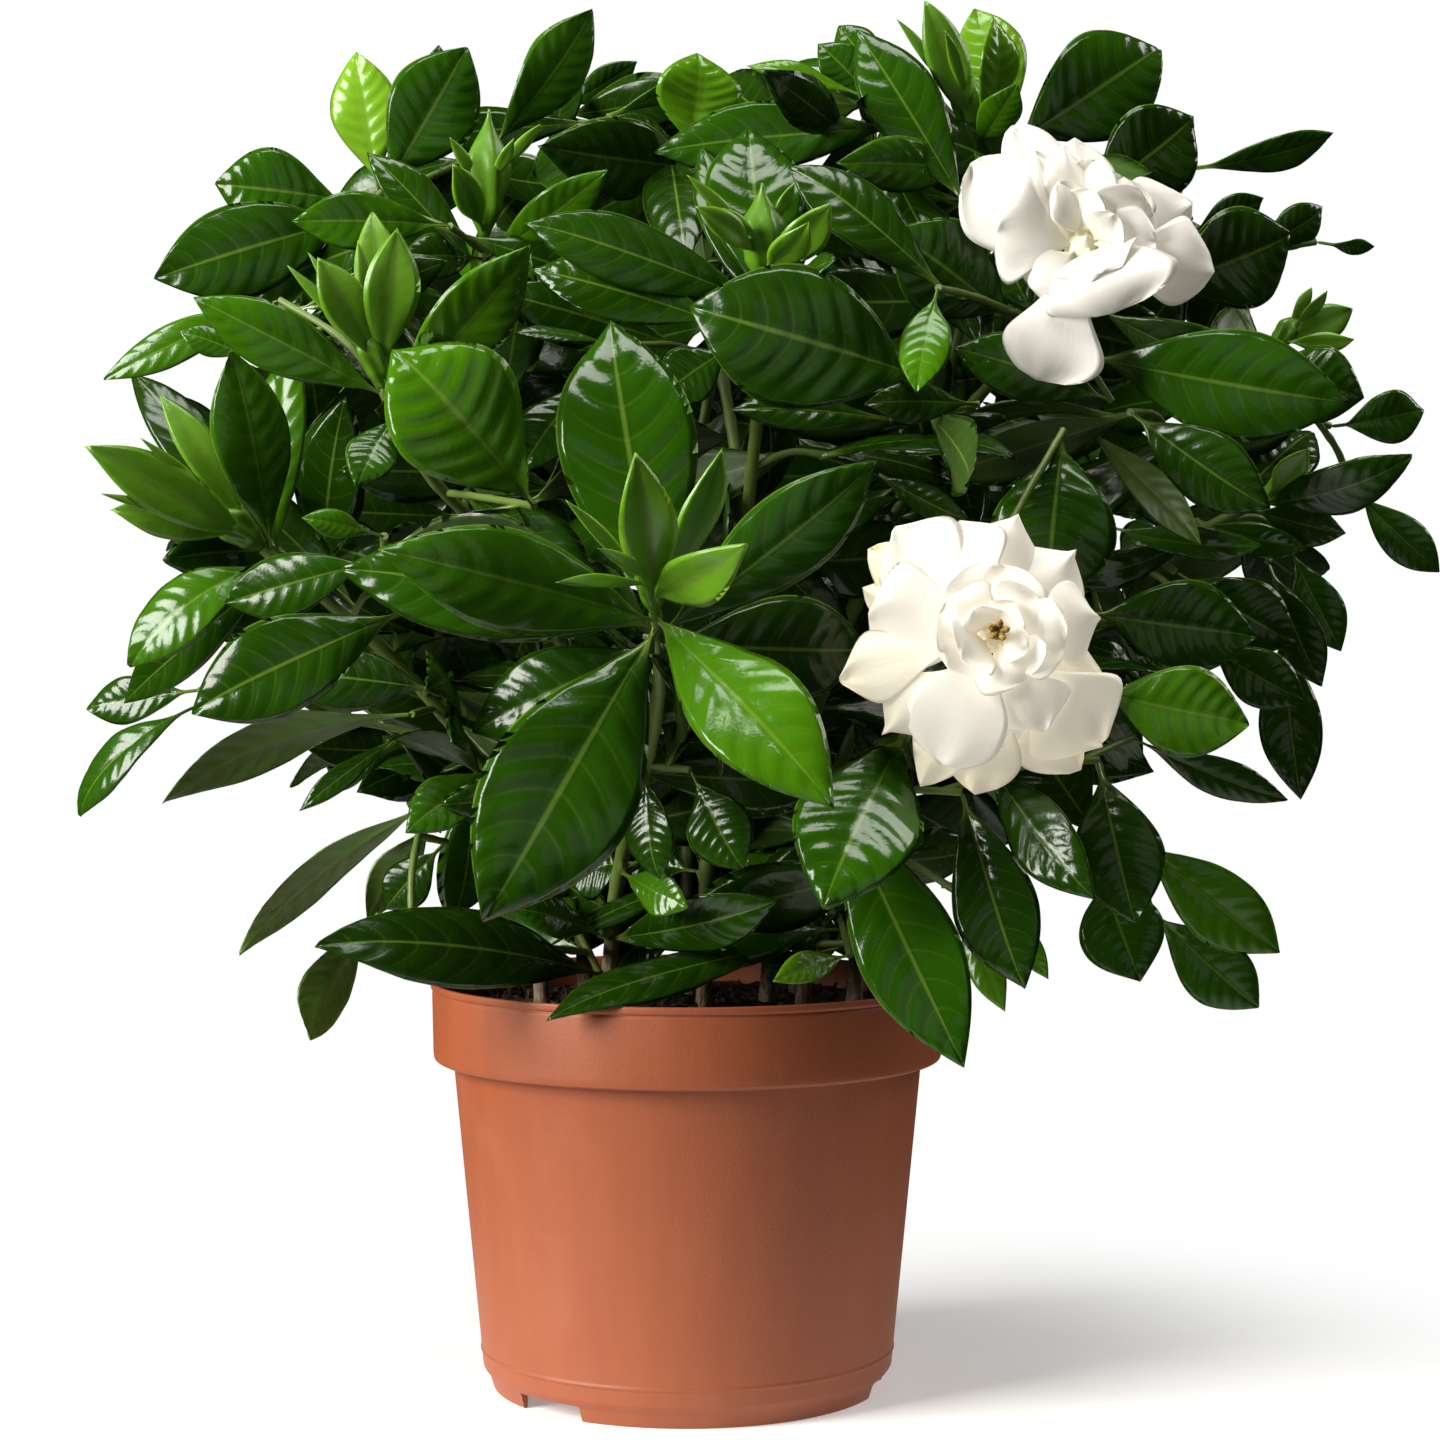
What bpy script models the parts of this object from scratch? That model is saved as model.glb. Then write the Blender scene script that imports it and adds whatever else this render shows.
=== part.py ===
# Potted gardenia: a nursery pot, its soil, ten leafy stems, young tips with buds, and two double white
# blooms. The plant is one rooted thing, so nothing on it moves. Metres, +Z up, the pot stands on z = 0
# round the origin, and -Y looks towards the viewer.
import math
import random
from collections import namedtuple

import bmesh
import bpy
from mathutils import Matrix, Vector
from mathutils.bvhtree import BVHTree

MM = 0.001

# Driving dimensions of the pot, in millimetres
POT_RIM_RADIUS = 95.0
POT_HEIGHT = 149.0
POT_BAND_HEIGHT = 30.0
POT_BODY_TOP_RADIUS = 86.5
POT_BODY_BOTTOM_RADIUS = 75.5
POT_FOOT_RADIUS = 71.7
POT_FOOT_HEIGHT = 6.5
POT_WALL = 1.6
POT_SEGMENTS = 24
FLOOR_THICKNESS = 1.8
FLOOR_BEVEL = 3.0
FOOT_FLARE = 1.5
LIP_HEIGHT = 2.4
LIP_STEP = 0.6
RIM_THICKNESS = 1.9
BAND_INSET = 1.6
BAND_EDGE = 1.1
BAND_ROUNDING = 2.4
BAND_WALL = 3.2
BAND_FLOOR = 1.0
LEDGE_HEIGHT = 3.4
PAD_RADIUS = 13.0
PAD_TAPER = 1.0
NOTCH_WIDTH = 29.0
NOTCH_DEPTH = 5.9
NOTCH_REACH = (-6.0, 8.0)
NOTCH_ANGLES = (-132.0, -12.0, 108.0)
DRAIN_RADIUS = 5.0
DRAIN_CIRCLE = 44.0
DRAIN_COUNT = 4
GAP = 0.3
HOLE_SIDES = 6

# The soil, in millimetres
SOIL_TOP = 138.0
SOIL_ROUGHNESS = 1.6
SOIL_EDGE_DROP = 1.0
SOIL_RINGS = (72.0, 34.0)
HOLE_DEPTH = 24.0
STEM_REST = 6.0

# Where the photograph was taken from: its frame in pixels, its lens in the same pixels, the viewer's place
FRAME = 1440.0
VIEW_FOCAL = 3005.0
VIEW_HORIZON = 666.0
VIEW_DISTANCE = 1115.0
VIEW_HEIGHT = 265.0
VIEW_SIDE = 12.0

# Leaves and stems, in millimetres
BLADE_THICKNESS = 1.3
BLADE_WAVE = 0.035
PETIOLE = 5.5
PETIOLE_THICKNESS = 2.2
ROOT_SPREAD = 0.35
WHORL_STEP = 3.4
TRUNK_RADIUS = 3.1
BRANCH_RADIUS = 2.2
SHOOT_RADIUS = 1.9
TWIG_RADIUS = 1.3
STRAIGHT_END = 4.0
CLEARANCE = 0.45
SEED = 41

Leaf = namedtuple("Leaf", "lead root tip face width arch fold tone shape")
Shoot = namedtuple("Shoot", "stem at axis")
Placed = namedtuple("Placed", "owner full free low high")


def sight(px, py, near):
    """The point seen at a place in the photograph, that many millimetres nearer than the pot's axis."""
    reach = (VIEW_DISTANCE - near) / VIEW_FOCAL
    return Vector((VIEW_SIDE + (px - FRAME / 2) * reach, -near, VIEW_HEIGHT - (py - VIEW_HORIZON) * reach))


# Stems: where each one stands in the soil, as x and nearness to the viewer in millimetres
ROOTS = {
    "stem_front": (-28, 32),
    "stem_left": (-54, 4),
    "stem_upper_left": (-26, -10),
    "stem_middle": (6, 6),
    "stem_upper_right": (30, -18),
    "stem_right": (62, 0),
    "stem_front_right": (42, 32),
    "stem_back_left": (-40, -44),
    "stem_back_middle": (0, -50),
    "stem_back_right": (42, -48),
}

# Shoots: the stem that carries each, where it ends (photograph place and nearness), and where it points
SHOOTS = {
    "front": Shoot("stem_front", sight(655, 612, 140), Vector((-0.10, -0.55, 0.80))),
    "left": Shoot("stem_left", sight(262, 548, 62), Vector((-0.70, -0.35, 0.60))),
    "top_left": Shoot("stem_upper_left", sight(484, 240, 36), Vector((0.05, -0.12, 1.00))),
    "upper_left": Shoot("stem_upper_left", sight(384, 388, 88), Vector((-0.25, -0.30, 0.90))),
    "middle": Shoot("stem_middle", sight(762, 284, 84), Vector((0.00, -0.25, 0.95))),
    "top_middle": Shoot("stem_middle", sight(688, 150, 4), Vector((-0.05, 0.05, 1.00))),
    "top_right": Shoot("stem_upper_right", sight(972, 140, 26), Vector((-0.12, -0.10, 1.00))),
    "bloom_upper": Shoot("stem_upper_right", sight(1078, 262, 84), Vector((0.10, -0.85, 0.50))),
    "right": Shoot("stem_right", sight(1272, 348, 52), Vector((0.65, -0.15, 0.70))),
    "low_right": Shoot("stem_right", sight(1262, 498, 48), Vector((0.80, -0.20, 0.50))),
    "bloom_front": Shoot("stem_front_right", sight(990, 640, 118), Vector((0.03, -0.98, 0.12))),
    "side_left": Shoot("stem_left", Vector((-172, 22, 322)), Vector((-0.85, 0.25, 0.45))),
    "side_right": Shoot("stem_right", Vector((168, 34, 286)), Vector((0.85, 0.30, 0.40))),
    "back_left": Shoot("stem_back_left", Vector((-150, 92, 335)), Vector((-0.60, 0.50, 0.60))),
    "back_left_top": Shoot("stem_back_left", Vector((-88, 112, 412)), Vector((-0.30, 0.40, 0.90))),
    "back_left_low": Shoot("stem_back_left", Vector((-130, 128, 240)), Vector((-0.55, 0.75, 0.30))),
    "back_middle": Shoot("stem_back_middle", Vector((-14, 168, 352)), Vector((-0.05, 0.80, 0.60))),
    "back_middle_top": Shoot("stem_back_middle", Vector((14, 84, 424)), Vector((0.05, 0.45, 0.90))),
    "back_middle_low": Shoot("stem_back_middle", Vector((12, 160, 236)), Vector((0.05, 0.95, 0.20))),
    "back_right": Shoot("stem_back_right", Vector((152, 100, 345)), Vector((0.60, 0.50, 0.60))),
    "back_right_top": Shoot("stem_back_right", Vector((88, 110, 420)), Vector((0.30, 0.40, 0.90))),
    "back_right_low": Shoot("stem_back_right", Vector((138, 118, 244)), Vector((0.60, 0.70, 0.30))),
}

# How long a stem, a branch or a twig keeps the way it starts, and any of them the way it ends, as shares
# of its length
TRUNK_PULL = 0.42
BRANCH_PULL = 0.32
TWIG_PULL = 0.35
END_PULL = 0.34

# Where a stem's second and third shoots leave its first one, as a share of that one's length
FORKS = {
    "upper_left": 0.45,
    "top_middle": 0.55,
    "bloom_upper": 0.52,
    "low_right": 0.42,
    "side_left": 0.50,
    "side_right": 0.36,
    "back_left_top": 0.50,
    "back_left_low": 0.30,
    "back_middle_top": 0.50,
    "back_middle_low": 0.30,
    "back_right_top": 0.50,
    "back_right_low": 0.30,
}

# Mature leaves that the photograph shows, front ones first, by the stem that bears them. Each row holds
# the base (a whorl number under the named shoot's end, or a photograph place and nearness), the tip
# (place and nearness), width in millimetres, arch towards the viewer as a share of the length, turn away
# from the viewer in degrees, and tone from 0 (old, dark) to 1 (young, light).
SEEN_LEAVES = (
    ("stem_front", "front", (
        (2, (484, 925, 168), 50, 0.06, 4, 0.10),
        (1, (835, 803, 196), 36, 0.07, -8, 0.55),
        (1, (378, 549, 188), 33, 0.08, 6, 0.45),
        (2, (337, 562, 150), 35, 0.05, 10, 0.30),
        (2, (606, 310, 118), 46, 0.03, 4, 0.15),
        (3, (883, 460, 138), 29, 0.05, 12, 0.25),
        (4, (876, 652, 104), 36, 0.04, 0, 0.05),
        (4, (470, 732, 118), 30, 0.04, 10, 0.30),
        ((690, 770, 92), (742, 870, 104), 24, 0.03, 20, 0.10),
        ((640, 770, 86), (655, 880, 92), 20, 0.03, 30, 0.15),
        ((622, 872, 66), (687, 908, 92), 16, 0.05, 10, 0.60),
        ((600, 935, 60), (513, 906, 84), 16, 0.06, 20, 0.35),
        ((500, 770, 84), (406, 828, 112), 20, 0.05, 15, 0.50),
        ((608, 938, 52), (778, 903, 92), 23, 0.06, 20, 0.12),
        ((640, 862, 40), (566, 872, 30), 24, 0.05, 20, 0.08),
    )),
    ("stem_left", "left", (
        (1, (232, 348, 88), 28, 0.05, 16, 0.50),
        (2, (288, 335, 66), 20, 0.05, -20, 0.45),
        (2, (126, 668, 66), 26, 0.14, 35, 0.40),
        (3, (130, 364, 30), 22, 0.04, 10, 0.10),
        (3, (118, 706, 34), 19, 0.05, 10, 0.12),
        ((404, 612, 112), (184, 712, 124), 33, 0.07, 8, 0.15),
        ((380, 560, 96), (222, 604, 84), 22, 0.04, 10, 0.08),
        ((384, 536, 116), (303, 517, 132), 10, 0.03, 20, 0.60),
        ((440, 690, 84), (280, 672, 82), 24, 0.05, 10, 0.05),
        ((600, 974, 50), (316, 938, 104), 32, 0.08, 22, 0.10),
        ((376, 916, 88), (306, 1042, 112), 21, 0.10, 150, 0.40),
        ((425, 806, 58), (236, 953, 52), 17, 0.08, 145, 0.45),
        ((412, 714, 40), (160, 803, 40), 21, 0.12, 140, 0.50),
        ((400, 735, 22), (298, 811, 30), 9, 0.06, 10, 0.10),
        ((400, 738, 14), (328, 794, 6), 8, 0.05, 10, 0.08),
        ((440, 815, 30), (366, 920, 26), 17, 0.06, 150, 0.45),
        ((446, 842, 46), (383, 910, 44), 18, 0.04, 10, 0.08),
        ((196, 706, 24), (72, 818, 14), 19, 0.12, 45, 0.20),
        ((200, 690, 6), (84, 708, -6), 18, 0.05, 10, 0.15),
    )),
    ("stem_upper_left", "upper_left", (
        ((534, 506, 124), (391, 342, 142), 46, 0.10, 8, 0.60),
        (1, (201, 280, 106), 24, 0.05, 10, 0.50),
        (1, (533, 247, 112), 27, 0.06, 24, 0.60),
        (3, (357, 484, 104), 18, 0.04, 15, 0.20),
        (3, (458, 384, 84), 16, 0.04, 10, 0.25),
        ((280, 300, 62), (102, 380, 58), 15, 0.05, 20, 0.45),
        ((262, 362, 70), (178, 330, 74), 11, 0.04, 20, 0.35),
        ((450, 226, 56), (292, 221, 76), 21, 0.05, 15, 0.30),
        ((352, 202, 34), (212, 184, 44), 30, 0.07, 10, 0.25),
        ((362, 218, 40), (152, 279, 58), 34, 0.06, 12, 0.08),
        ((475, 365, 60), (508, 392, 62), 12, 0.04, 10, 0.10),
    )),
    ("stem_upper_left", "top_left", (
        (2, (608, 170, 64), 18, 0.06, 20, 0.40),
        (2, (403, 240, 62), 18, 0.05, 15, 0.20),
        ((380, 194, 20), (354, 50, 24), 25, 0.05, -10, 0.95),
        ((382, 192, 24), (468, 46, 26), 34, 0.04, 10, 0.25),
        ((490, 150, 10), (596, 8, 12), 25, 0.06, 22, 0.40),
        ((430, 150, -14), (440, 43, -10), 15, 0.04, 10, 0.15),
        (4, (366, 148, 38), 17, 0.05, 15, 0.12),
        ((552, 172, -12), (592, 44, -16), 18, 0.04, 10, 0.12),
    )),
    ("stem_middle", "middle", (
        ((932, 380, 112), (687, 306, 128), 48, 0.06, 6, 0.08),
        (2, (523, 218, 98), 25, 0.06, 12, 0.22),
        ((728, 326, 90), (530, 268, 82), 24, 0.06, 14, 0.22),
        (3, (748, 120, 58), 35, 0.06, 6, 0.20),
        (4, (700, 144, 44), 19, 0.04, 10, 0.15),
        ((898, 128, 34), (658, 148, 44), 27, 0.07, 10, 0.32),
        ((738, 342, 78), (658, 397, 78), 21, 0.05, 10, 0.22),
        ((892, 420, 92), (730, 407, 102), 15, 0.04, 25, 0.10),
        ((980, 404, 92), (866, 402, 108), 15, 0.04, 15, 0.12),
        ((612, 346, 64), (514, 331, 74), 9, 0.05, 50, 0.35),
        ((590, 376, 74), (519, 470, 88), 21, 0.05, 15, 0.20),
        ((872, 470, 64), (968, 522, 78), 13, 0.04, 20, 0.06),
        ((702, 902, 6), (612, 962, -8), 26, 0.04, 30, 0.05),
        ((700, 872, 2), (588, 846, -20), 27, 0.04, 20, 0.05),
    )),
    ("stem_middle", "top_middle", (
        (1, (703, 50, 10), 33, 0.05, 8, 0.90),
        ((606, 116, 0), (704, 73, 6), 9, 0.04, 30, 0.25),
        ((556, 112, -30), (638, 62, -26), 13, 0.04, 15, 0.25),
        (2, (606, 118, 18), 17, 0.05, 15, 0.10),
        ((866, 98, 0), (746, 63, 6), 10, 0.05, 35, 0.70),
        ((880, 106, -30), (818, 42, -26), 17, 0.04, 12, 0.25),
    )),
    ("stem_upper_right", "top_right", (
        ((968, 212, 44), (854, 26, 34), 27, 0.05, 12, 0.15),
        ((1010, 146, 2), (1166, 42, -4), 41, 0.05, 8, 0.08),
        (1, (966, 1, 32), 22, 0.05, 20, 0.80),
        ((1016, 134, 24), (972, 8, 16), 26, 0.05, 8, 0.95),
        (1, (1017, 84, 58), 15, 0.05, 20, 0.50),
        (3, (848, 158, 62), 21, 0.05, 15, 0.45),
        ((1082, 206, 14), (1198, 116, 14), 36, 0.05, 8, 0.08),
        ((1160, 218, 2), (1218, 172, 2), 18, 0.04, 10, 0.06),
        ((890, 90, -34), (836, 24, -38), 17, 0.04, 10, 0.20),
    )),
    ("stem_upper_right", "bloom_upper", (
        ((1086, 356, 76), (1352, 404, 96), 38, 0.06, 8, 0.28),
        ((1014, 322, 66), (893, 229, 88), 35, 0.05, 8, 0.22),
        ((938, 288, 104), (909, 393, 122), 19, 0.05, 15, 0.75),
        ((1112, 402, 74), (953, 347, 82), 24, 0.05, 20, 0.18),
        ((1152, 290, 46), (1298, 235, 50), 37, 0.05, 8, 0.08),
        ((946, 292, 84), (793, 162, 84), 25, 0.05, 22, 0.15),
    )),
    ("stem_right", "right", (
        (2, (1362, 398, 72), 28, 0.05, 10, 0.30),
        ((1180, 240, 14), (1265, 198, 14), 15, 0.04, 15, 0.10),
        ((1192, 168, -12), (1338, 135, -14), 15, 0.07, 25, 0.35),
        ((1244, 256, 10), (1328, 208, 8), 17, 0.05, 20, 0.25),
        ((1316, 242, 6), (1376, 248, 4), 7, 0.05, 30, 0.40),
        ((1330, 426, 20), (1428, 409, 20), 20, 0.06, 15, 0.30),
    )),
    ("stem_right", "low_right", (
        ((1130, 412, 78), (1268, 512, 92), 27, 0.05, 10, 0.18),
        (1, (1390, 466, 76), 26, 0.06, 12, 0.25),
        ((1352, 488, 10), (1441, 573, 12), 17, 0.06, 12, 0.28),
        ((1082, 424, 66), (1206, 546, 84), 15, 0.04, 200, 0.35),
        ((1106, 526, 56), (1262, 548, 78), 15, 0.05, 40, 0.30),
        ((1196, 520, 40), (1308, 549, 60), 13, 0.05, 30, 0.15),
        (2, (1346, 533, 64), 16, 0.05, 15, 0.10),
        ((1288, 544, 18), (1342, 652, 24), 18, 0.05, 10, 0.20),
        ((1268, 562, 34), (1321, 688, 38), 18, 0.04, 10, 0.15),
        ((1176, 572, 38), (1292, 640, 46), 28, 0.05, 8, 0.06),
        ((1198, 640, 50), (1306, 703, 60), 21, 0.05, 10, 0.15),
        ((1282, 624, 14), (1300, 801, 24), 23, 0.05, 10, 0.06),
    )),
    ("stem_front_right", "bloom_front", (
        ((902, 738, 98), (822, 903, 146), 43, 0.05, 6, 0.45),
        ((1064, 430, 98), (1046, 606, 108), 43, 0.06, 6, 0.20),
        ((1092, 690, 112), (1251, 724, 120), 31, 0.06, 8, 0.50),
        ((840, 800, 96), (965, 1068, 128), 35, 0.05, 6, 0.25),
        ((962, 792, 108), (1023, 991, 124), 29, 0.05, 8, 0.10),
        ((1098, 760, 96), (1135, 924, 108), 31, 0.05, 8, 0.12),
        ((988, 762, 96), (1090, 899, 140), 23, 0.05, 12, 0.15),
        ((1084, 612, 76), (1258, 636, 84), 33, 0.06, 6, 0.08),
        ((1132, 738, 70), (1289, 801, 66), 15, 0.05, 25, 0.12),
        ((1098, 862, 66), (1140, 981, 84), 30, 0.05, 10, 0.22),
        ((1136, 836, 44), (1282, 955, 46), 27, 0.05, 15, 0.60),
        ((1150, 908, 38), (1262, 1012, 40), 25, 0.05, 12, 0.35),
        ((958, 892, 78), (1004, 1012, 96), 13, 0.05, 10, 0.80),
        ((1004, 896, 54), (1048, 980, 60), 9, 0.05, 10, 0.60),
        ((850, 956, 62), (776, 979, 92), 12, 0.05, 25, 0.75),
        ((776, 806, 10), (764, 902, 14), 17, 0.04, 10, 0.50),
        ((792, 946, 44), (565, 992, 106), 25, 0.05, 25, 0.15),
    )),
)

# Young tips: the shoot that each ends, its bud's length and radius in millimetres, the tips of its thin
# calyx teeth, and its young leaves as tip, width in millimetres and turn, all in photograph places with
# nearness
YOUNG_TIPS = {
    "tip_front": ("front", 22, 5.0,
        ((566, 500, 172), (641, 496, 178), (556, 582, 190), (598, 548, 196)),
        (((637, 456, 186), 19, 10), ((724, 449, 166), 14, 30), ((741, 550, 204), 19, 20))),
    "tip_left": ("left", 24, 6.0,
        ((97, 492, 104), (140, 437, 96)),
        (((86, 445, 104), 20, 10), ((160, 391, 74), 14, 15), ((112, 508, 94), 15, 10))),
    "tip_upper_left": ("upper_left", 26, 5.5,
        ((287, 264, 100), (308, 251, 98), (358, 240, 106)),
        (((372, 209, 84), 17, 15), ((398, 228, 108), 19, 5), ((318, 257, 112), 16, 10))),
    "tip_top_left": ("top_left", 46, 8.0,
        ((450, 137, 52), (514, 139, 54), (541, 124, 44)),
        (((455, 165, 62), 12, 10),)),
    "tip_middle": ("middle", 34, 7.4,
        ((687, 174, 104), (718, 212, 108), (795, 183, 92)),
        (((832, 205, 106), 15, 15), ((808, 226, 118), 13, 35), ((698, 206, 112), 10, 20))),
    "tip_top_right": ("top_right", 28, 6.0,
        ((897, 18, 40), (945, 30, 52)),
        (((926, 0, 44), 16, 10),)),
    "tip_right": ("right", 16, 4.5,
        ((1312, 287, 58), (1328, 292, 66)),
        (((1354, 309, 62), 13, 10), ((1354, 341, 70), 8, 20))),
    "tip_low_right": ("low_right", 12, 4.0,
        ((1300, 452, 66),),
        (((1308, 449, 76), 11, 15),)),
}

# Petals, outer ones first. Each row holds the tip (to the viewer's right, up and towards the viewer from the
# bloom's middle) and the depth of the root in the core, in millimetres, then the width, the arch towards the
# viewer as a share of the length, the turn about its own axis in degrees, the fold (above 0 the margins cup
# towards the viewer, below 0 they roll back), the age from 0 to 1 and the outline.
FRONT_PETALS = (
    ((-41, 30, -10), -5, 24, 0.06, 10, -0.20, 1.0, "oval"),
    ((-43, 17, -9), -5, 22, 0.06, 0, -0.20, 0.9, "oval"),
    ((-24, -50, -7), -4, 24, 0.08, 0, -0.22, 0.8, "oval"),
    ((-6, -53, -8), -5, 26, 0.06, 5, -0.15, 0.9, "fan"),
    ((38, -12, -9), -5, 24, 0.08, 0, -0.22, 0.8, "oval"),
    ((31, -45, -9), -5, 27, 0.08, 10, -0.25, 1.0, "petal"),
    ((-34, 37, -2), -2, 36, 0.06, -6, -0.20, 0.1, "point"),
    ((-43, 4, -3), -1, 38, 0.08, 0, -0.12, 0.1, "petal"),
    ((-52, -15, -6), -3, 26, 0.10, 10, -0.25, 0.7, "point"),
    ((-37, -33, -4), -3, 30, 0.10, -10, -0.30, 0.5, "point"),
    ((-13, 39, 2), 1, 30, 0.06, -12, -0.25, 0.2, "point"),
    ((9, 41, 0), -1, 30, 0.06, 8, -0.40, 0.2, "point"),
    ((28, 29, -2), -2, 30, 0.06, 0, -0.30, 0.1, "point"),
    ((37, 6, 0), -1, 32, 0.08, 0, -0.25, 0.1, "point"),
    ((40, -37, -6), -3, 42, 0.08, 0, -0.22, 0.5, "point"),
    ((8, -39, -2), -2, 38, 0.08, 0, -0.20, 0.1, "point"),
    ((18, -32, 4), 2, 32, 0.10, -8, -0.35, 0.1, "point"),
    ((-18, -43, 2), 2, 36, 0.10, 6, -0.14, 0.0, "petal"),
    ((1, 24, 7), 2, 34, 0.08, 0, 0.22, 0.2, "cup"),
    ((23, -4, 10), 2, 27, 0.12, 0, 0.22, 0.1, "cup"),
    ((-14, -12, 8), 2, 30, 0.10, 0, 0.18, 0.1, "cup"),
    ((10, -14, 11), 3, 28, 0.12, 0, 0.22, 0.1, "cup"),
    ((15, 12, 10), 3, 27, 0.10, 0, 0.25, 0.1, "cup"),
    ((-16, 12, 9), 3, 28, 0.10, 0, 0.25, 0.1, "cup"),
    ((-11, -7, 13), 4, 24, 0.10, 0, 0.25, 0.0, "cup"),
    ((5, 11, 13), 4, 15, 0.12, 0, 0.30, 0.2, "cup"),
    ((-7, 9, 13), 4, 15, 0.12, 0, 0.30, 0.2, "cup"),
    ((10, -3, 14), 4, 14, 0.12, 0, 0.30, 0.2, "cup"),
)
UPPER_PETALS = (
    ((-17, -45, 2), -2, 35, 0.04, 0, -0.06, 0.0, "fan"),
    ((-38, 30, -5), -4, 34, 0.04, -14, 0.08, 0.0, "oval"),
    ((-24, 43, -2), -3, 24, 0.05, 14, -0.12, 0.0, "oval"),
    ((-2, 39, -4), -3, 28, 0.04, 0, -0.22, 0.0, "petal"),
    ((38, 16, -3), -3, 28, 0.05, 0, -0.20, 0.0, "petal"),
    ((45, -9, 2), -1, 33, 0.08, 12, -0.35, 0.1, "fan"),
    ((14, 25, 1), -1, 30, 0.06, 0, 0.05, 0.0, "petal"),
    ((-19, -14, 3), 1, 30, 0.08, 0, -0.10, 0.0, "fan"),
    ((-31, 3, 6), 1, 38, 0.08, -8, -0.08, 0.0, "fan"),
    ((-17, 33, 6), 0, 18, 0.06, 45, -0.15, 0.1, "oval"),
    ((-8, 34, 6), 1, 20, 0.08, 38, -0.10, 0.1, "oval"),
    ((3, 30, 4), 0, 22, 0.08, -20, 0.10, 0.1, "oval"),
    ((8, -25, 12), 3, 46, 0.14, 0, -0.08, 0.0, "cup"),
    ((21, 15, 8), 2, 30, 0.10, 10, 0.25, 0.0, "cup"),
    ((24, 1, 11), 3, 28, 0.10, 0, 0.12, 0.0, "oval"),
    ((-9, 21, 11), 3, 16, 0.10, 30, -0.10, 0.1, "oval"),
    ((2, 18, 12), 4, 16, 0.08, -30, 0.10, 0.1, "oval"),
    ((9, 9, 14), 4, 17, 0.10, 0, 0.20, 0.1, "oval"),
    ((3, -8, 13), 4, 30, -0.16, 0, 0.25, 0.0, "cup"),
)
BLOOMS = {
    "bloom_front": FRONT_PETALS,
    "bloom_upper": UPPER_PETALS,
}

# The core that carries a bloom's petals and the heart in it, in millimetres along the bloom's facing direction
CORE_RADIUS = 7.5
CORE_FOOT_RADIUS = 3.0
CORE_SIDES = 7
CORE_MIDDLE = 8.0
CORE_HALF = 6.0
PETAL_ROOT = 3.4
PETAL_FOOT = 1.6
HEART_RADIUS = 2.4
HEART_DEPTH = 7.0
HEART_TOP = 15.0
LOBE_COUNT = 5
LOBE_FROM = 12.0
LOBE_TO = 17.0
LOBE_SPREAD = 3.4

# A bud: its foot and point in millimetres, and its shoulder as a share of its radius
BUD_FOOT_RADIUS = 1.9
BUD_POINT_RADIUS = 0.5
BUD_SHOULDER = 0.75
BUD_STATIONS = (0.0, 0.25, 0.55, 1.0)
BUD_SIDES = 5
TOOTH_WIDTH = 5.0

# Whorls of the back and side shoots: leaves a shoot, their lengths in millimetres, and how far in degrees
# they open from the shoot's axis
WHORL_LEAVES = 7
WHORL_LENGTHS = (62.0, 98.0)
WHORL_OPENING = (28.0, 118.0)
WHORL_PITCH = 2.6
WHORL_TURN = 2.4
WHORL_PROPORTIONS = (0.34, 0.42)

# Inner leaves: the crown's outline and the grid over it in photograph pixels, and the leaves' own sizes
# in millimetres
CROWN_CENTRE = (745, 470)
CROWN_SPAN = (570, 400)
CROWN_STEP = 44
FILL_NEAR = (-25.0, 55.0)
FILL_LENGTHS = (70.0, 95.0)
FILL_REACH = 38.0
FILL_ROOTS = 12
FILL_TRIES = 30
FRONT_CORNERS = 1
OUTLINE_EASE = 1.05
SHORTENINGS = 7
SHORTENED = 0.9
TRIES = 60

# Stations along a blade, as shares of its length past the petiole, by its kind and width in millimetres
WIDE_LEAF_STATIONS = (0.24, 0.52, 0.80)
LEAF_STATIONS = (0.32, 0.70)
SMALL_LEAF_STATIONS = (0.5,)
PETAL_STATIONS = (0.42, 0.82)
WIDE_LEAF = 30.0
SMALL_LEAF = 15.5
# Outlines of blades: the power that moves the widest place towards the tip, and how blunt the ends are
OUTLINES = {
    "leaf": (1.20, 0.86),
    "petal": (1.65, 0.60),
    "point": (1.90, 1.30),
    "oval": (1.15, 0.60),
    "fan": (2.40, 0.50),
    "cup": (1.25, 0.42),
}

# Sides of stems and branches, and how near a twig may start
TRUNK_SIDES = 6
BRANCH_SIDES = 5
NEAR_ENOUGH = 3.0
SHORT_TWIG = 26.0


def bezier(points, t):
    """A point on a cubic curve through four control points."""
    a, b, c, d = points
    s = 1.0 - t
    return a * s ** 3 + b * (3 * s * s * t) + c * (3 * s * t * t) + d * t ** 3


def slope(points, t):
    """The direction of the same curve."""
    a, b, c, d = points
    s = 1.0 - t
    return ((b - a) * (s * s) + (c - b) * (2 * s * t) + (d - c) * (t * t)).normalized()


def facing(root, tip, turn):
    """The way a blade's upper side looks: at the viewer as far as its axis lets it, then turned about it."""
    axis = (tip - root).normalized()
    eye = Vector((VIEW_SIDE, -VIEW_DISTANCE, VIEW_HEIGHT))
    view = (eye - (root + tip) / 2).normalized()
    flat = view - axis * view.dot(axis)
    if flat.length < 0.2:
        flat = Vector((0, 0, 1)) - axis * axis.z
    return Matrix.Rotation(math.radians(turn), 3, axis) @ flat.normalized()


def half_width(shape, t):
    """Half of the outline's width at a share of the length, for a blade one unit wide."""
    power, bluntness = OUTLINES[shape]
    return 0.5 * math.sin(math.pi * min(t, 1.0) ** power) ** bluntness


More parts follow.
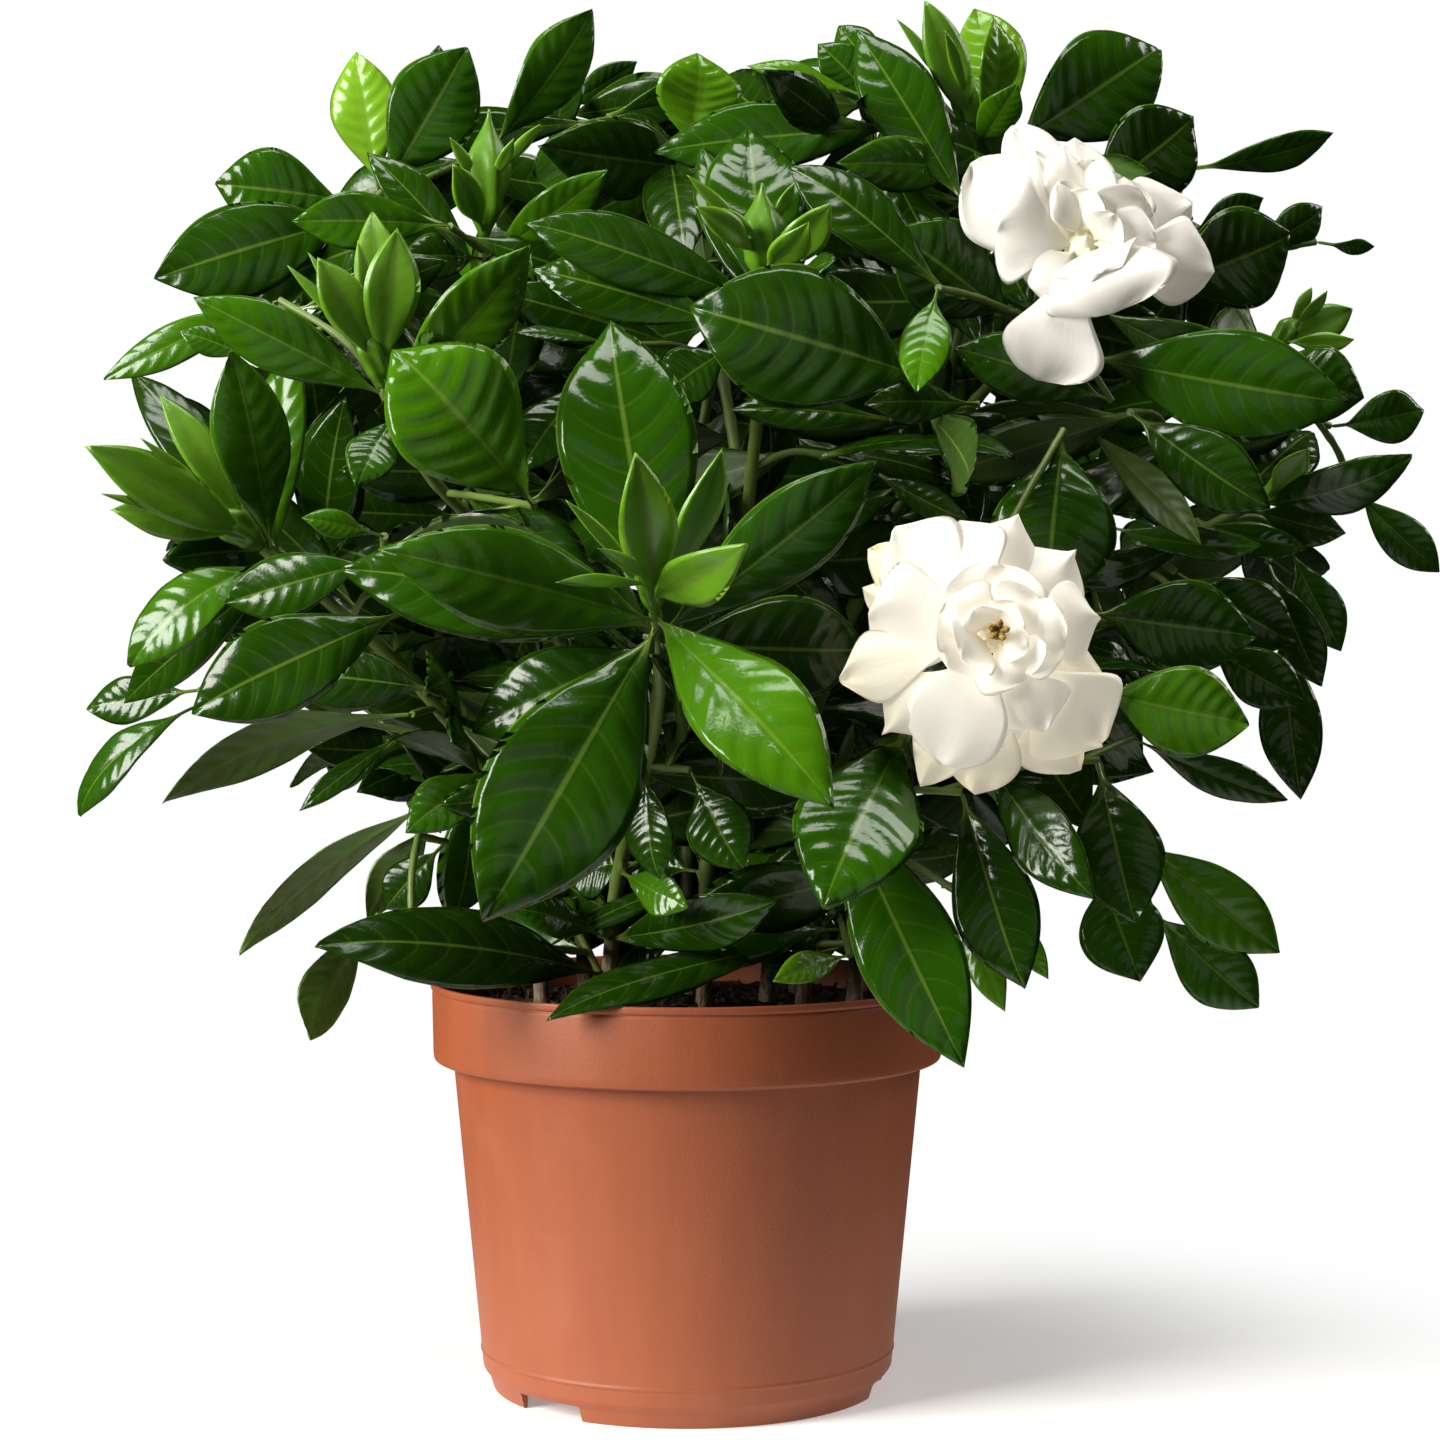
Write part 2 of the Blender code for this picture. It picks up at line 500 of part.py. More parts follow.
def midrib(leaf):
    """The four control points of a blade's arched midrib."""
    along = leaf.tip - leaf.root
    lift = leaf.face * (leaf.arch * along.length * 1.33)
    return leaf.root, leaf.root + along / 3 + lift, leaf.root + along * (2 / 3) + lift, leaf.tip


def neck_of(leaf):
    """The share of a blade's length that its petiole or a petal's foot takes."""
    return (PETIOLE if leaf.shape == "leaf" else PETAL_FOOT) / (leaf.tip - leaf.root).length


def stations_of(leaf):
    """Where a blade's cross-sections lie, as shares of its whole length."""
    if leaf.width < SMALL_LEAF:
        body = SMALL_LEAF_STATIONS
    elif leaf.shape != "leaf":
        body = PETAL_STATIONS
    else:
        body = WIDE_LEAF_STATIONS if leaf.width >= WIDE_LEAF else LEAF_STATIONS
    neck = neck_of(leaf)
    spans = [neck + (1.0 - neck) * t for t in body]
    return (spans if leaf.lead else [neck] + spans), neck


def lead_rings(leaf, neck, side, grow):
    """The cross-sections of a blade's twig up to the blade's base, in step with the blade's first one."""
    rings = []
    path = leaf.lead + (leaf.root, neck)
    for index in range(len(path) - 2, 0, -1):
        before = (path[index] - path[index - 1]).normalized()
        after = (path[index + 1] - path[index]).normalized()
        along = (before + after).normalized()
        side = (side - along * side.dot(along)).normalized()
        up = side.cross(along)
        half = TWIG_RADIUS + grow
        rings.insert(0, [path[index] + side * half, path[index] + up * half,
                         path[index] - side * half, path[index] - up * half])
    return rings


def blade_mesh(leaf, grow=0.0):
    """Points and triangles of a blade: a lens whose two faces share their outline and are split alike."""
    curve = midrib(leaf)
    spans, neck = stations_of(leaf)
    rings = []
    if leaf.lead:
        side = slope(curve, spans[0]).cross(leaf.face).normalized()
        rings = lead_rings(leaf, bezier(curve, spans[0]), side, grow)
    for index, t in enumerate(spans):
        centre = bezier(curve, t)
        along = slope(curve, t)
        side = along.cross(leaf.face).normalized()
        up = side.cross(along)
        if t == neck:
            half = PETIOLE_THICKNESS / 2
            thick = PETIOLE_THICKNESS / 2
            lift = 0.0
            wave = 0.0
        else:
            share = (t - neck) / (1.0 - neck)
            half = leaf.width * half_width(leaf.shape, share)
            thick = BLADE_THICKNESS / 2
            lift = leaf.fold * half
            wave = leaf.width * BLADE_WAVE * math.sin(index * 2.3 + leaf.width)
        half += grow
        thick += grow
        rings.append([centre + side * half + up * (lift + wave), centre + up * thick,
                      centre - side * half + up * (lift - wave), centre - up * thick])
    points = [leaf.lead[0].copy() if leaf.lead else leaf.root.copy()]
    points += [corner for ring in rings for corner in ring]
    points.append(leaf.tip + slope(curve, 1.0) * grow)
    last = len(points) - 1
    triangles = []
    for edge in (0, 2):
        for middle in (1, 3):
            triangles.append((0, 1 + edge, 1 + middle))
            for index in range(len(rings) - 1):
                here = 1 + 4 * index
                there = here + 4
                triangles.append((here + edge, here + middle, there + middle))
                triangles.append((here + edge, there + middle, there + edge))
            triangles.append((last, last - 4 + edge, last - 4 + middle))
    return points, triangles


def tube_mesh(path, radii, sides, grow=0.0):
    """Points and faces of a closed tube with flat ends along a path."""
    points = []
    faces = []
    across = None
    for index, centre in enumerate(path):
        before = path[max(index - 1, 0)]
        after = path[min(index + 1, len(path) - 1)]
        along = (after - before).normalized()
        if across is None:
            across = along.orthogonal().normalized()
        across = (across - along * across.dot(along)).normalized()
        other = along.cross(across)
        for step in range(sides):
            angle = 2 * math.pi * step / sides
            outward = across * math.cos(angle) + other * math.sin(angle)
            points.append(centre + outward * (radii[index] + grow))
    for ring in range(len(path) - 1):
        for step in range(sides):
            a = ring * sides + step
            b = ring * sides + (step + 1) % sides
            faces.append((a, b, b + sides, a + sides))
    faces.append(tuple(range(sides))[::-1])
    faces.append(tuple(range(len(points) - sides, len(points))))
    return points, faces


def free_start(leaf):
    """The first point of a blade that has to clear its own node too: past its twig and its petiole."""
    return 1 + 4 * max(1, len(leaf.lead))


def place(owner, mesh, free_from=0):
    """A solid that others have to clear. Its free part leaves out the faces next to its root."""
    points, faces = mesh
    free = [f for f in faces if min(f) >= free_from]
    return Placed(
        owner,
        BVHTree.FromPolygons(points, faces),
        BVHTree.FromPolygons(points, free),
        Vector([min(p[k] for p in points) for k in range(3)]),
        Vector([max(p[k] for p in points) for k in range(3)]),
    )


def boxes_meet(one, other):
    return all(one.low[k] <= other.high[k] and other.low[k] <= one.high[k] for k in range(3))


def is_clear(item, placed):
    """Whether a solid crosses nothing of another node, and its free part nothing of its own."""
    for other in placed:
        if boxes_meet(item, other):
            if item.owner != other.owner:
                if item.full.overlap(other.full):
                    return False
            elif item.free.overlap(other.free):
                return False
    return True


def settle(owner, leaf, draw, placed, tries, reach):
    """The leaf itself where it is clear, or else bent clear step by step, or None."""
    for turn in range(tries):
        share = turn / tries
        amount = share * reach
        axis = (leaf.tip - leaf.root).normalized()
        if turn == 0:
            trial = leaf
        else:
            shift = Vector([draw.uniform(-1, 1) for k in range(3)]) * amount
            spin = Matrix.Rotation(draw.uniform(-1, 1) * share * 0.9, 3, axis)
            trial = leaf._replace(
                tip=leaf.tip + shift,
                face=spin @ leaf.face,
                arch=leaf.arch + draw.uniform(-0.5, 0.5) * share * 0.25,
                width=leaf.width * (1.0 - 0.25 * share),
            )
        item = place(owner, blade_mesh(trial, CLEARANCE), free_start(trial))
        if is_clear(item, placed):
            placed.append(place(owner, blade_mesh(trial), free_start(trial)))
            return trial
    return None


def trunk_paths():
    """The centre lines of every stem and branch, by the shoot that each leads to."""
    paths = {}
    firsts = {}
    for name, shoot in SHOOTS.items():
        axis = shoot.axis.normalized()
        neck = shoot.at - axis * STRAIGHT_END
        if shoot.stem not in firsts:
            x, near = ROOTS[shoot.stem]
            foot = Vector((x, -near, SOIL_TOP - HOLE_DEPTH + GAP))
            start = Vector((x, -near, SOIL_TOP + STEM_REST))
            away = (shoot.at - start).length
            knee = start + Vector((0, 0, TRUNK_PULL * away))
            curve = (start, knee, shoot.at - axis * (END_PULL * away), neck)
            path = [foot] + [bezier(curve, k / 6) for k in range(7)] + [shoot.at]
            firsts[shoot.stem] = path
        else:
            trunk = firsts[shoot.stem]
            place_on = FORKS[name] * (len(trunk) - 1)
            index = int(place_on)
            start = trunk[index].lerp(trunk[index + 1], place_on - index)
            along = (trunk[index + 1] - trunk[index]).normalized()
            away = (shoot.at - start).length
            knee = start + along * (BRANCH_PULL * away)
            curve = (start, knee, shoot.at - axis * (END_PULL * away), neck)
            path = [bezier(curve, k / 4) for k in range(5)] + [shoot.at]
        paths[name] = path
    return paths


def radii_along(path, first, last):
    return [first + (last - first) * k / (len(path) - 1) for k in range(len(path))]


def hole_radius(radius):
    """The corner radius of a plain hole whose flats clear a post of this radius by the gap."""
    return (radius + GAP) / math.cos(math.pi / HOLE_SIDES)


def back_from_end(path, distance):
    """The point on a path at a distance from its end."""
    for index in range(len(path) - 1, 0, -1):
        step = (path[index] - path[index - 1]).length
        if distance <= step:
            return path[index].lerp(path[index - 1], distance / step)
        distance -= step
    return path[0].copy()


def samples(path, step=6.0):
    """Points every few millimetres along a path, with the way it runs there."""
    found = []
    for a, b in zip(path, path[1:]):
        count = max(1, int((b - a).length / step))
        found += [(a.lerp(b, k / count), (b - a).normalized()) for k in range(count)]
    return found


def off_axis(draw):
    """A small step off a stem's centre line, so that no two roots meet in one point."""
    return Vector([draw.uniform(-ROOT_SPREAD, ROOT_SPREAD) for k in range(3)])


def grow_twig(owner, base, tip, skeleton, placed, draw):
    """A curved twig from the stem's nearest part to a leaf's base, clear of the other stems."""
    starts = sorted(skeleton, key=lambda s: (s[0] - base).length + max(0.0, s[0].z - base.z) * 0.8)
    if (starts[0][0] - base).length < NEAR_ENOUGH:
        return (), starts[0][0] + off_axis(draw)
    for turn in range(TRIES):
        start, along = starts[min(len(starts) - 1, turn * 2)]
        start = start + off_axis(draw)
        away = (base - start).length
        sway = Vector([draw.uniform(-1, 1) for k in range(3)]) * (0.22 * away * min(1.0, turn / 12))
        knee = start + along * (TWIG_PULL * away) + sway
        arriving = ((tip - base).normalized() + (base - start).normalized() * 1.2).normalized()
        curve = (start, knee, base - arriving * (END_PULL * away) + sway * 0.5, base)
        count = 1 if away < SHORT_TWIG else 2
        path = [bezier(curve, k / count) for k in range(count + 1)]
        item = place(owner, tube_mesh(path, [TWIG_RADIUS] * len(path), 4, CLEARANCE))
        if all(other.owner == owner or not boxes_meet(item, other) or not item.full.overlap(other.full)
               for other in placed):
            return tuple(path[:-1]), base
    return None


def petals_of(shoot, rows):
    """The blades of a bloom, and the point that its middle looks out from."""
    front = shoot.axis.normalized()
    centre = shoot.at + front * CORE_MIDDLE
    leaves = []
    for (right, upward, near), depth, width, arch, turn, fold, age, outline in rows:
        tip = centre + Vector((right, -near, upward))
        outward = tip - centre
        outward = (outward - front * outward.dot(front)).normalized()
        root = centre + outward * PETAL_ROOT + front * depth
        leaves.append(Leaf((), root, tip, facing(root, tip, turn), width, arch, fold, age, outline))
    return leaves, centre, front


def lay_out():
    """Every tube and blade by node: photograph leaves first, then the rule's whorls, all bent clear."""
    draw = random.Random(SEED)
    tubes = {stem: [] for stem in ROOTS}
    blades = {stem: [] for stem in ROOTS}
    placed = []
    paths = trunk_paths()
    skeleton = {stem: [] for stem in ROOTS}
    begun = set()
    for name, path in paths.items():
        stem = SHOOTS[name].stem
        first = TRUNK_RADIUS if stem not in begun else BRANCH_RADIUS
        radii = radii_along(path, first, SHOOT_RADIUS)
        begun.add(stem)
        sides = TRUNK_SIDES if first == TRUNK_RADIUS else BRANCH_SIDES
        tubes[stem].append((path, radii, sides))
        placed.append(place(stem, tube_mesh(path, radii, sides)))
        skeleton[stem] += samples(path[2:] if first == TRUNK_RADIUS else path)

    for bloom, rows in BLOOMS.items():
        leaves, centre, front = petals_of(SHOOTS[bloom], rows)
        blades[bloom] = leaves
        core = [SHOOTS[bloom].at + front * GAP, centre + front * CORE_HALF]
        tubes[bloom] = [(core, [CORE_FOOT_RADIUS, CORE_RADIUS], CORE_SIDES)]
        placed.append(place(bloom, tube_mesh(*tubes[bloom][0])))
        placed += [place(bloom, blade_mesh(leaf), 5) for leaf in leaves]

    for tip, (name, length, radius, teeth, young) in YOUNG_TIPS.items():
        shoot = SHOOTS[name]
        axis = shoot.axis.normalized()
        start = shoot.at + axis * GAP
        bud = [start + axis * (share * length) for share in BUD_STATIONS]
        radii = [BUD_FOOT_RADIUS, radius * BUD_SHOULDER, radius, BUD_POINT_RADIUS]
        tubes[tip] = [(bud, radii, BUD_SIDES)]
        blades[tip] = []
        placed.append(place(tip, tube_mesh(*tubes[tip][0])))
        for index, (spot, width, turn) in enumerate(young):
            root = start + axis * (1.6 + 0.10 * length * index)
            end = sight(*spot)
            leaf = Leaf((), root, end, facing(root, end, turn), width, 0.06, 0.25, 0.95, "leaf")
            found = settle(tip, leaf, draw, placed, TRIES, 16.0)
            if found:
                blades[tip].append(found)
        for index, spot in enumerate(teeth):
            root = start + axis * (length * (0.30 + 0.08 * index))
            end = sight(*spot)
            leaf = Leaf((), root, end, facing(root, end, 20), TOOTH_WIDTH, 0.05, 0.1, 1.0, "leaf")
            found = settle(tip, leaf, draw, placed, TRIES, 12.0)
            if found:
                blades[tip].append(found)

    waiting = []
    for stem, shoot_name, rows in SEEN_LEAVES:
        for base, end, width, arch, turn, tone in rows:
            lead = ()
            if isinstance(base, int):
                root = back_from_end(paths[shoot_name], base * WHORL_STEP) + off_axis(draw)
            else:
                twig = grow_twig(stem, sight(*base), sight(*end), skeleton[stem], placed, draw)
                if twig is None:
                    continue
                lead, root = twig
                if lead:
                    path = lead + (root,)
                    placed.append(place(stem, tube_mesh(path, [TWIG_RADIUS] * len(path), 4)))
                    skeleton[stem] += samples(path)
            waiting.append((stem, lead, root, sight(*end), width, arch, turn, tone))
    for stem, lead, root, tip, width, arch, turn, tone in waiting:
        leaf = Leaf(lead, root, tip, facing(root, tip, turn), width, arch, 0.14, tone, "leaf")
        found = settle(stem, leaf, draw, placed, TRIES * 2, 24.0)
        if found:
            blades[stem].append(found)

    for name, shoot in SHOOTS.items():
        if name.startswith(("back", "side")):
            whorl(name, shoot, paths[name], draw, placed, blades)
    fill_gaps(skeleton, draw, placed, blades)
    return tubes, blades, placed, skeleton


def whorl(name, shoot, path, draw, placed, blades):
    """The leaves of a back shoot, young upright ones inside and long drooping ones outside."""
    axis = shoot.axis.normalized()
    across = axis.orthogonal().normalized()
    start = draw.uniform(0, 2 * math.pi)
    for index in range(WHORL_LEAVES):
        share = index / (WHORL_LEAVES - 1)
        root = back_from_end(path, 1.5 + WHORL_PITCH * index) + off_axis(draw)
        opening = math.radians(WHORL_OPENING[0] + (WHORL_OPENING[1] - WHORL_OPENING[0]) * share)
        angle = start + index * WHORL_TURN
        outward = Matrix.Rotation(angle, 3, axis) @ across
        way = axis * math.cos(opening) + outward * math.sin(opening)
        length = WHORL_LENGTHS[0] + (WHORL_LENGTHS[1] - WHORL_LENGTHS[0]) * min(1.0, share * 1.6)
        length *= draw.uniform(0.88, 1.08)
        for trial in range(SHORTENINGS):
            if inside_crown(root + way * length):
                break
            length *= SHORTENED
        tip = root + way * length
        face = axis * 0.9 + Vector((0, 0, 0.7))
        face = (face - way * face.dot(way)).normalized()
        width = length * draw.uniform(*WHORL_PROPORTIONS)
        leaf = Leaf((), root, tip, face, width, 0.06, 0.14, 0.45 - 0.4 * share, "leaf")
        found = settle(shoot.stem, leaf, draw, placed, TRIES, 30.0)
        if found:
            blades[shoot.stem].append(found)


def in_front(leaf, shown):
    """How many of a blade's corners lie in front of something that the photograph shows."""
    eye = Vector((VIEW_SIDE, -VIEW_DISTANCE, VIEW_HEIGHT))
    count = 0
    for corner in blade_mesh(leaf)[0][5:]:
        ray = corner - eye
        for item in shown:
            distance = item.full.ray_cast(eye, ray.normalized())[3]
            if distance and distance > ray.length + 1.0:
                count += 1
                break
    return count


def inside_crown(point):
    """Whether a point shows within the crown's outline."""
    scale = VIEW_FOCAL / (VIEW_DISTANCE + point.y)
    column = FRAME / 2 + (point.x - VIEW_SIDE) * scale - CROWN_CENTRE[0]
    row = VIEW_HORIZON - (point.z - VIEW_HEIGHT) * scale - CROWN_CENTRE[1]
    return math.hypot(column / CROWN_SPAN[0], row / CROWN_SPAN[1]) < OUTLINE_EASE


def off_reach(root, point):
    """How badly a root suits a leaf that has to cover a point."""
    return abs((root - point).length - FILL_REACH) + abs(root.z - point.z) * 0.2


def fill_gaps(skeleton, draw, placed, blades):
    """Dark inner leaves, where the crown would let the light straight through to the viewer."""
    eye = Vector((VIEW_SIDE, -VIEW_DISTANCE, VIEW_HEIGHT))
    places = []
    for row in range(-CROWN_SPAN[1], CROWN_SPAN[1], CROWN_STEP):
        for column in range(-CROWN_SPAN[0], CROWN_SPAN[0], CROWN_STEP):
            if math.hypot(row / CROWN_SPAN[1], column / CROWN_SPAN[0]) < 1.0:
                places.append((CROWN_CENTRE[0] + column, CROWN_CENTRE[1] + row))
    draw.shuffle(places)
    roots = [(stem, point) for stem in skeleton for point, along in skeleton[stem]]
    shown = list(placed)
    for px, py in places:
        point = sight(px, py, draw.uniform(*FILL_NEAR))
        ray = (point - eye).normalized()
        if any(item.full.ray_cast(eye, ray)[0] for item in placed):
            continue
        near_roots = sorted(roots, key=lambda r: off_reach(r[1], point))
        for stem, root in near_roots[:FILL_ROOTS]:
            length = draw.uniform(*FILL_LENGTHS)
            base = root + off_axis(draw)
            tip = base + (point - base).normalized() * length
            face = facing(base, tip, draw.uniform(-30, 30))
            leaf = Leaf((), base, tip, face, length * 0.37, 0.05, 0.14, 0.04, "leaf")
            if not inside_crown(tip) or in_front(leaf, shown) > FRONT_CORNERS:
                continue
            found = settle(stem, leaf, draw, placed, FILL_TRIES, 24.0)
            if found:
                blades[stem].append(found)
                break


def principled(name, colour, roughness):
    material = bpy.data.materials.new(name)
    material.use_nodes = True
    shader = material.node_tree.nodes["Principled BSDF"]
    shader.inputs["Base Color"].default_value = (*colour, 1.0)
    shader.inputs["Roughness"].default_value = roughness
    shader.inputs["Metallic"].default_value = 0.0
    return material


def make_object(name, points, faces, scale=MM, collection=None):
    """A closed object from points in millimetres, with its faces turned outwards."""
    mesh = bpy.data.meshes.new(name)
    mesh.from_pydata([Vector(p) * scale for p in points], [], faces)
    shell = bmesh.new()
    shell.from_mesh(mesh)
    bmesh.ops.recalc_face_normals(shell, faces=shell.faces)
    shell.to_mesh(mesh)
    shell.free()
    item = bpy.data.objects.new(name, mesh)
    (collection or bpy.context.scene.collection).objects.link(item)
    return item


def turned(name, profile, segments, collection=None):
    """A closed solid turned about Z from a closed profile of (radius, height), which may touch the axis."""
    points = []
    rings = []
    for radius, height in profile:
        if radius == 0.0:
            rings.append([len(points)] * segments)
            points.append((0.0, 0.0, height))
            continue
        rings.append(list(range(len(points), len(points) + segments)))
        for step in range(segments):
            angle = 2 * math.pi * step / segments
            points.append((radius * math.cos(angle), radius * math.sin(angle), height))
    faces = []
    closed = profile[0][0] != 0.0
    for index in range(len(profile) if closed else len(profile) - 1):
        low = rings[index]
        high = rings[(index + 1) % len(profile)]
        for step in range(segments):
            after = (step + 1) % segments
            corners = []
            for corner in (low[step], low[after], high[after], high[step]):
                if corner not in corners:
                    corners.append(corner)
            faces.append(tuple(corners))
    return make_object(name, points, faces, MM, collection)


def combine(item, parts, operation):
    """One Boolean on a collection, applied, after which the collection's objects are removed."""
    boolean = item.modifiers.new("join", "BOOLEAN")
    boolean.operation = operation
    boolean.operand_type = "COLLECTION"
    boolean.collection = parts
    boolean.solver = "EXACT"
    graph = bpy.context.evaluated_depsgraph_get()
    result = bpy.data.meshes.new_from_object(item.evaluated_get(graph))
    item.modifiers.clear()
    old = item.data
    item.data = result
    bpy.data.meshes.remove(old)
    for part in list(parts.objects):
        mesh = part.data
        bpy.data.objects.remove(part)
        bpy.data.meshes.remove(mesh)
    bpy.data.collections.remove(parts)


def new_collection(name):
    group = bpy.data.collections.new(name)
    bpy.context.scene.collection.children.link(group)
    return group


def build_grown(name, tubes, leaves, material):
    """One grown piece: its first tube with all other tubes and blades fused into it."""
    path, radii, sides = tubes[0]
    item = make_object(name, *tube_mesh(path, radii, sides))
    group = new_collection(name + "_repeats")
    for index, (path, radii, sides) in enumerate(tubes[1:]):
        make_object(f"{name}_twig_{index}", *tube_mesh(path, radii, sides), MM, group)
    for index, leaf in enumerate(leaves):
        make_object(f"{name}_blade_{index}", *blade_mesh(leaf), MM, group)
    combine(item, group, "UNION")
    drop_scraps(item.data)
    item.data.materials.clear()
    item.data.materials.append(material)
    return item


def drop_scraps(mesh):
    """Keeps only the largest body of a mesh."""
    shell = bmesh.new()
    shell.from_mesh(mesh)
    seen = set()
    bodies = []
    for face in shell.faces:
        if face in seen:
            continue
        body = [face]
        seen.add(face)
        for member in body:
            for edge in member.edges:
                for other in edge.link_faces:
                    if other not in seen:
                        seen.add(other)
                        body.append(other)
        bodies.append(body)
    bodies.sort(key=len)
    for body in bodies[:-1]:
        bmesh.ops.delete(shell, geom=body, context="FACES")
    shell.to_mesh(mesh)
    shell.free()


def build_pot(material):
    """The pot: turned wall, band and floor, with notches in the foot and drain holes cut out."""
    band_low = POT_HEIGHT - POT_BAND_HEIGHT
    floor_top = POT_FOOT_HEIGHT + FLOOR_THICKNESS
    band_floor = band_low + BAND_FLOOR
    lip_low = POT_HEIGHT - LIP_HEIGHT
    profile = [
        (0.0, 0.0),
        (PAD_RADIUS, 0.0),
        (PAD_RADIUS - PAD_TAPER, POT_FOOT_HEIGHT),
        (POT_FOOT_RADIUS - POT_WALL, POT_FOOT_HEIGHT),
        (POT_FOOT_RADIUS - POT_WALL, 0.0),
        (POT_FOOT_RADIUS, 0.0),
        (POT_FOOT_RADIUS + FOOT_FLARE, POT_FOOT_HEIGHT - FOOT_FLARE),
        (POT_BODY_BOTTOM_RADIUS, POT_FOOT_HEIGHT + FOOT_FLARE),
        (POT_BODY_TOP_RADIUS, band_floor),
        (POT_RIM_RADIUS - BAND_INSET, band_floor),
        (POT_RIM_RADIUS - BAND_EDGE, band_floor + BAND_ROUNDING),
        (POT_RIM_RADIUS - LIP_STEP, lip_low - LIP_STEP),
        (POT_RIM_RADIUS, lip_low),
        (POT_RIM_RADIUS, POT_HEIGHT),
        (POT_RIM_RADIUS - RIM_THICKNESS, POT_HEIGHT),
        (POT_RIM_RADIUS - BAND_WALL, lip_low - LIP_STEP),
        (POT_RIM_RADIUS - BAND_WALL, band_low + LEDGE_HEIGHT),
        (POT_BODY_TOP_RADIUS - POT_WALL, band_floor),
        (POT_BODY_BOTTOM_RADIUS - POT_WALL, floor_top + FLOOR_BEVEL),
        (POT_BODY_BOTTOM_RADIUS - POT_WALL - FLOOR_BEVEL, floor_top),
        (0.0, floor_top),
    ]
    pot = turned("pot", profile, POT_SEGMENTS)
    cutters = new_collection("pot_cutters")
    for index, angle in enumerate(NOTCH_ANGLES):
        turn = Matrix.Rotation(math.radians(angle), 3, "Z")
        inner = POT_FOOT_RADIUS + NOTCH_REACH[0]
        outer = POT_FOOT_RADIUS + NOTCH_REACH[1]
        half = NOTCH_WIDTH / 2
        corners = [(r, s, z) for z in (-2.0, NOTCH_DEPTH) for r, s in
                   ((inner, -half), (outer, -half), (outer, half), (inner, half))]
        faces = [(0, 1, 2, 3), (4, 5, 6, 7), (0, 1, 5, 4), (1, 2, 6, 5), (2, 3, 7, 6), (3, 0, 4, 7)]
        make_object(f"notch_{index}", [turn @ Vector(c) for c in corners], faces, MM, cutters)
    for index in range(DRAIN_COUNT):
        angle = 2 * math.pi * (index + 0.5) / DRAIN_COUNT
        centre = Vector((DRAIN_CIRCLE * math.cos(angle), DRAIN_CIRCLE * math.sin(angle), 0.0))
        path = [centre + Vector((0, 0, POT_FOOT_HEIGHT - 2.0)), centre + Vector((0, 0, floor_top + 2.0))]
        make_object(f"drain_{index}", *tube_mesh(path, [DRAIN_RADIUS] * 2, HOLE_SIDES), MM, cutters)
    combine(pot, cutters, "DIFFERENCE")
    pot.data.shade_smooth()
    pot.data.set_sharp_from_angle(angle=math.radians(35))
    pot.data.materials.clear()
    pot.data.materials.append(material)
    return pot


def build_soil(material):
    """The soil: it fills the pot with a small gap, has an uneven top and a plain hole for each stem."""
    band_low = POT_HEIGHT - POT_BAND_HEIGHT
    floor_top = POT_FOOT_HEIGHT + FLOOR_THICKNESS
    draw = random.Random(SEED + 1)
    bottom = POT_BODY_BOTTOM_RADIUS - POT_WALL - GAP
    top_wall = POT_BODY_TOP_RADIUS - POT_WALL - GAP
    edge = POT_RIM_RADIUS - BAND_WALL - GAP
    profile = [
        (0.0, floor_top + GAP),
        (bottom - FLOOR_BEVEL - GAP, floor_top + GAP),
        (bottom, floor_top + FLOOR_BEVEL + GAP),
        (top_wall, band_low + BAND_FLOOR + GAP),
        (edge, band_low + LEDGE_HEIGHT + 2 * GAP),
        (edge, SOIL_TOP - SOIL_EDGE_DROP),
        (SOIL_RINGS[0], SOIL_TOP),
        (SOIL_RINGS[1], SOIL_TOP),
        (0.0, SOIL_TOP),
    ]
    soil = turned("soil", profile, POT_SEGMENTS)
    for vertex in soil.data.vertices:
        if vertex.co.z > (SOIL_TOP - 0.5) * MM:
            vertex.co.z += draw.uniform(-1, 1) * SOIL_ROUGHNESS * MM
    cutters = new_collection("soil_cutters")
    radii = [hole_radius(TRUNK_RADIUS)] * 2
    for stem, (x, near) in ROOTS.items():
        path = [Vector((x, -near, SOIL_TOP - HOLE_DEPTH)), Vector((x, -near, SOIL_TOP + 10.0))]
        make_object("hole_" + stem, *tube_mesh(path, radii, HOLE_SIDES), MM, cutters)
    combine(soil, cutters, "DIFFERENCE")
    soil.data.materials.clear()
    soil.data.materials.append(material)
    return soil


def build_heart(material, centre, front):
    """The stigma and anthers of the open bloom: a short lobed post that stands in the core's hole."""
    base = centre + front * (CORE_HALF - HEART_DEPTH + GAP)
    top = centre + front * HEART_TOP
    post = ([base, top], [HEART_RADIUS, HEART_RADIUS * 0.8], HOLE_SIDES)
    lobes = []
    across = front.orthogonal().normalized()
    for k in range(LOBE_COUNT):
        outward = Matrix.Rotation(2 * math.pi * k / LOBE_COUNT, 3, front) @ across
        start = centre + front * LOBE_FROM
        end = centre + front * LOBE_TO + outward * LOBE_SPREAD
        lobes.append(([start, start.lerp(end, 0.6), end], [1.0, 1.5, 0.6], 4))
    return build_grown("heart_front", [post] + lobes, [], material)


def build_bloom(name, tubes, leaves, material, hollow):
    """A bloom: petals sunk in a small core, with a plain hole in front for the heart, if it shows."""
    bloom = build_grown(name, tubes, leaves, material)
    if hollow:
        path, radii, sides = tubes[0]
        front = (path[1] - path[0]).normalized()
        group = new_collection(name + "_hole")
        hole = [path[1] - front * HEART_DEPTH, path[1] + front * 16.0]
        radii = [hole_radius(HEART_RADIUS)] * 2
        make_object(name + "_bore", *tube_mesh(hole, radii, HOLE_SIDES), MM, group)
        combine(bloom, group, "DIFFERENCE")
        drop_scraps(bloom.data)
    return bloom


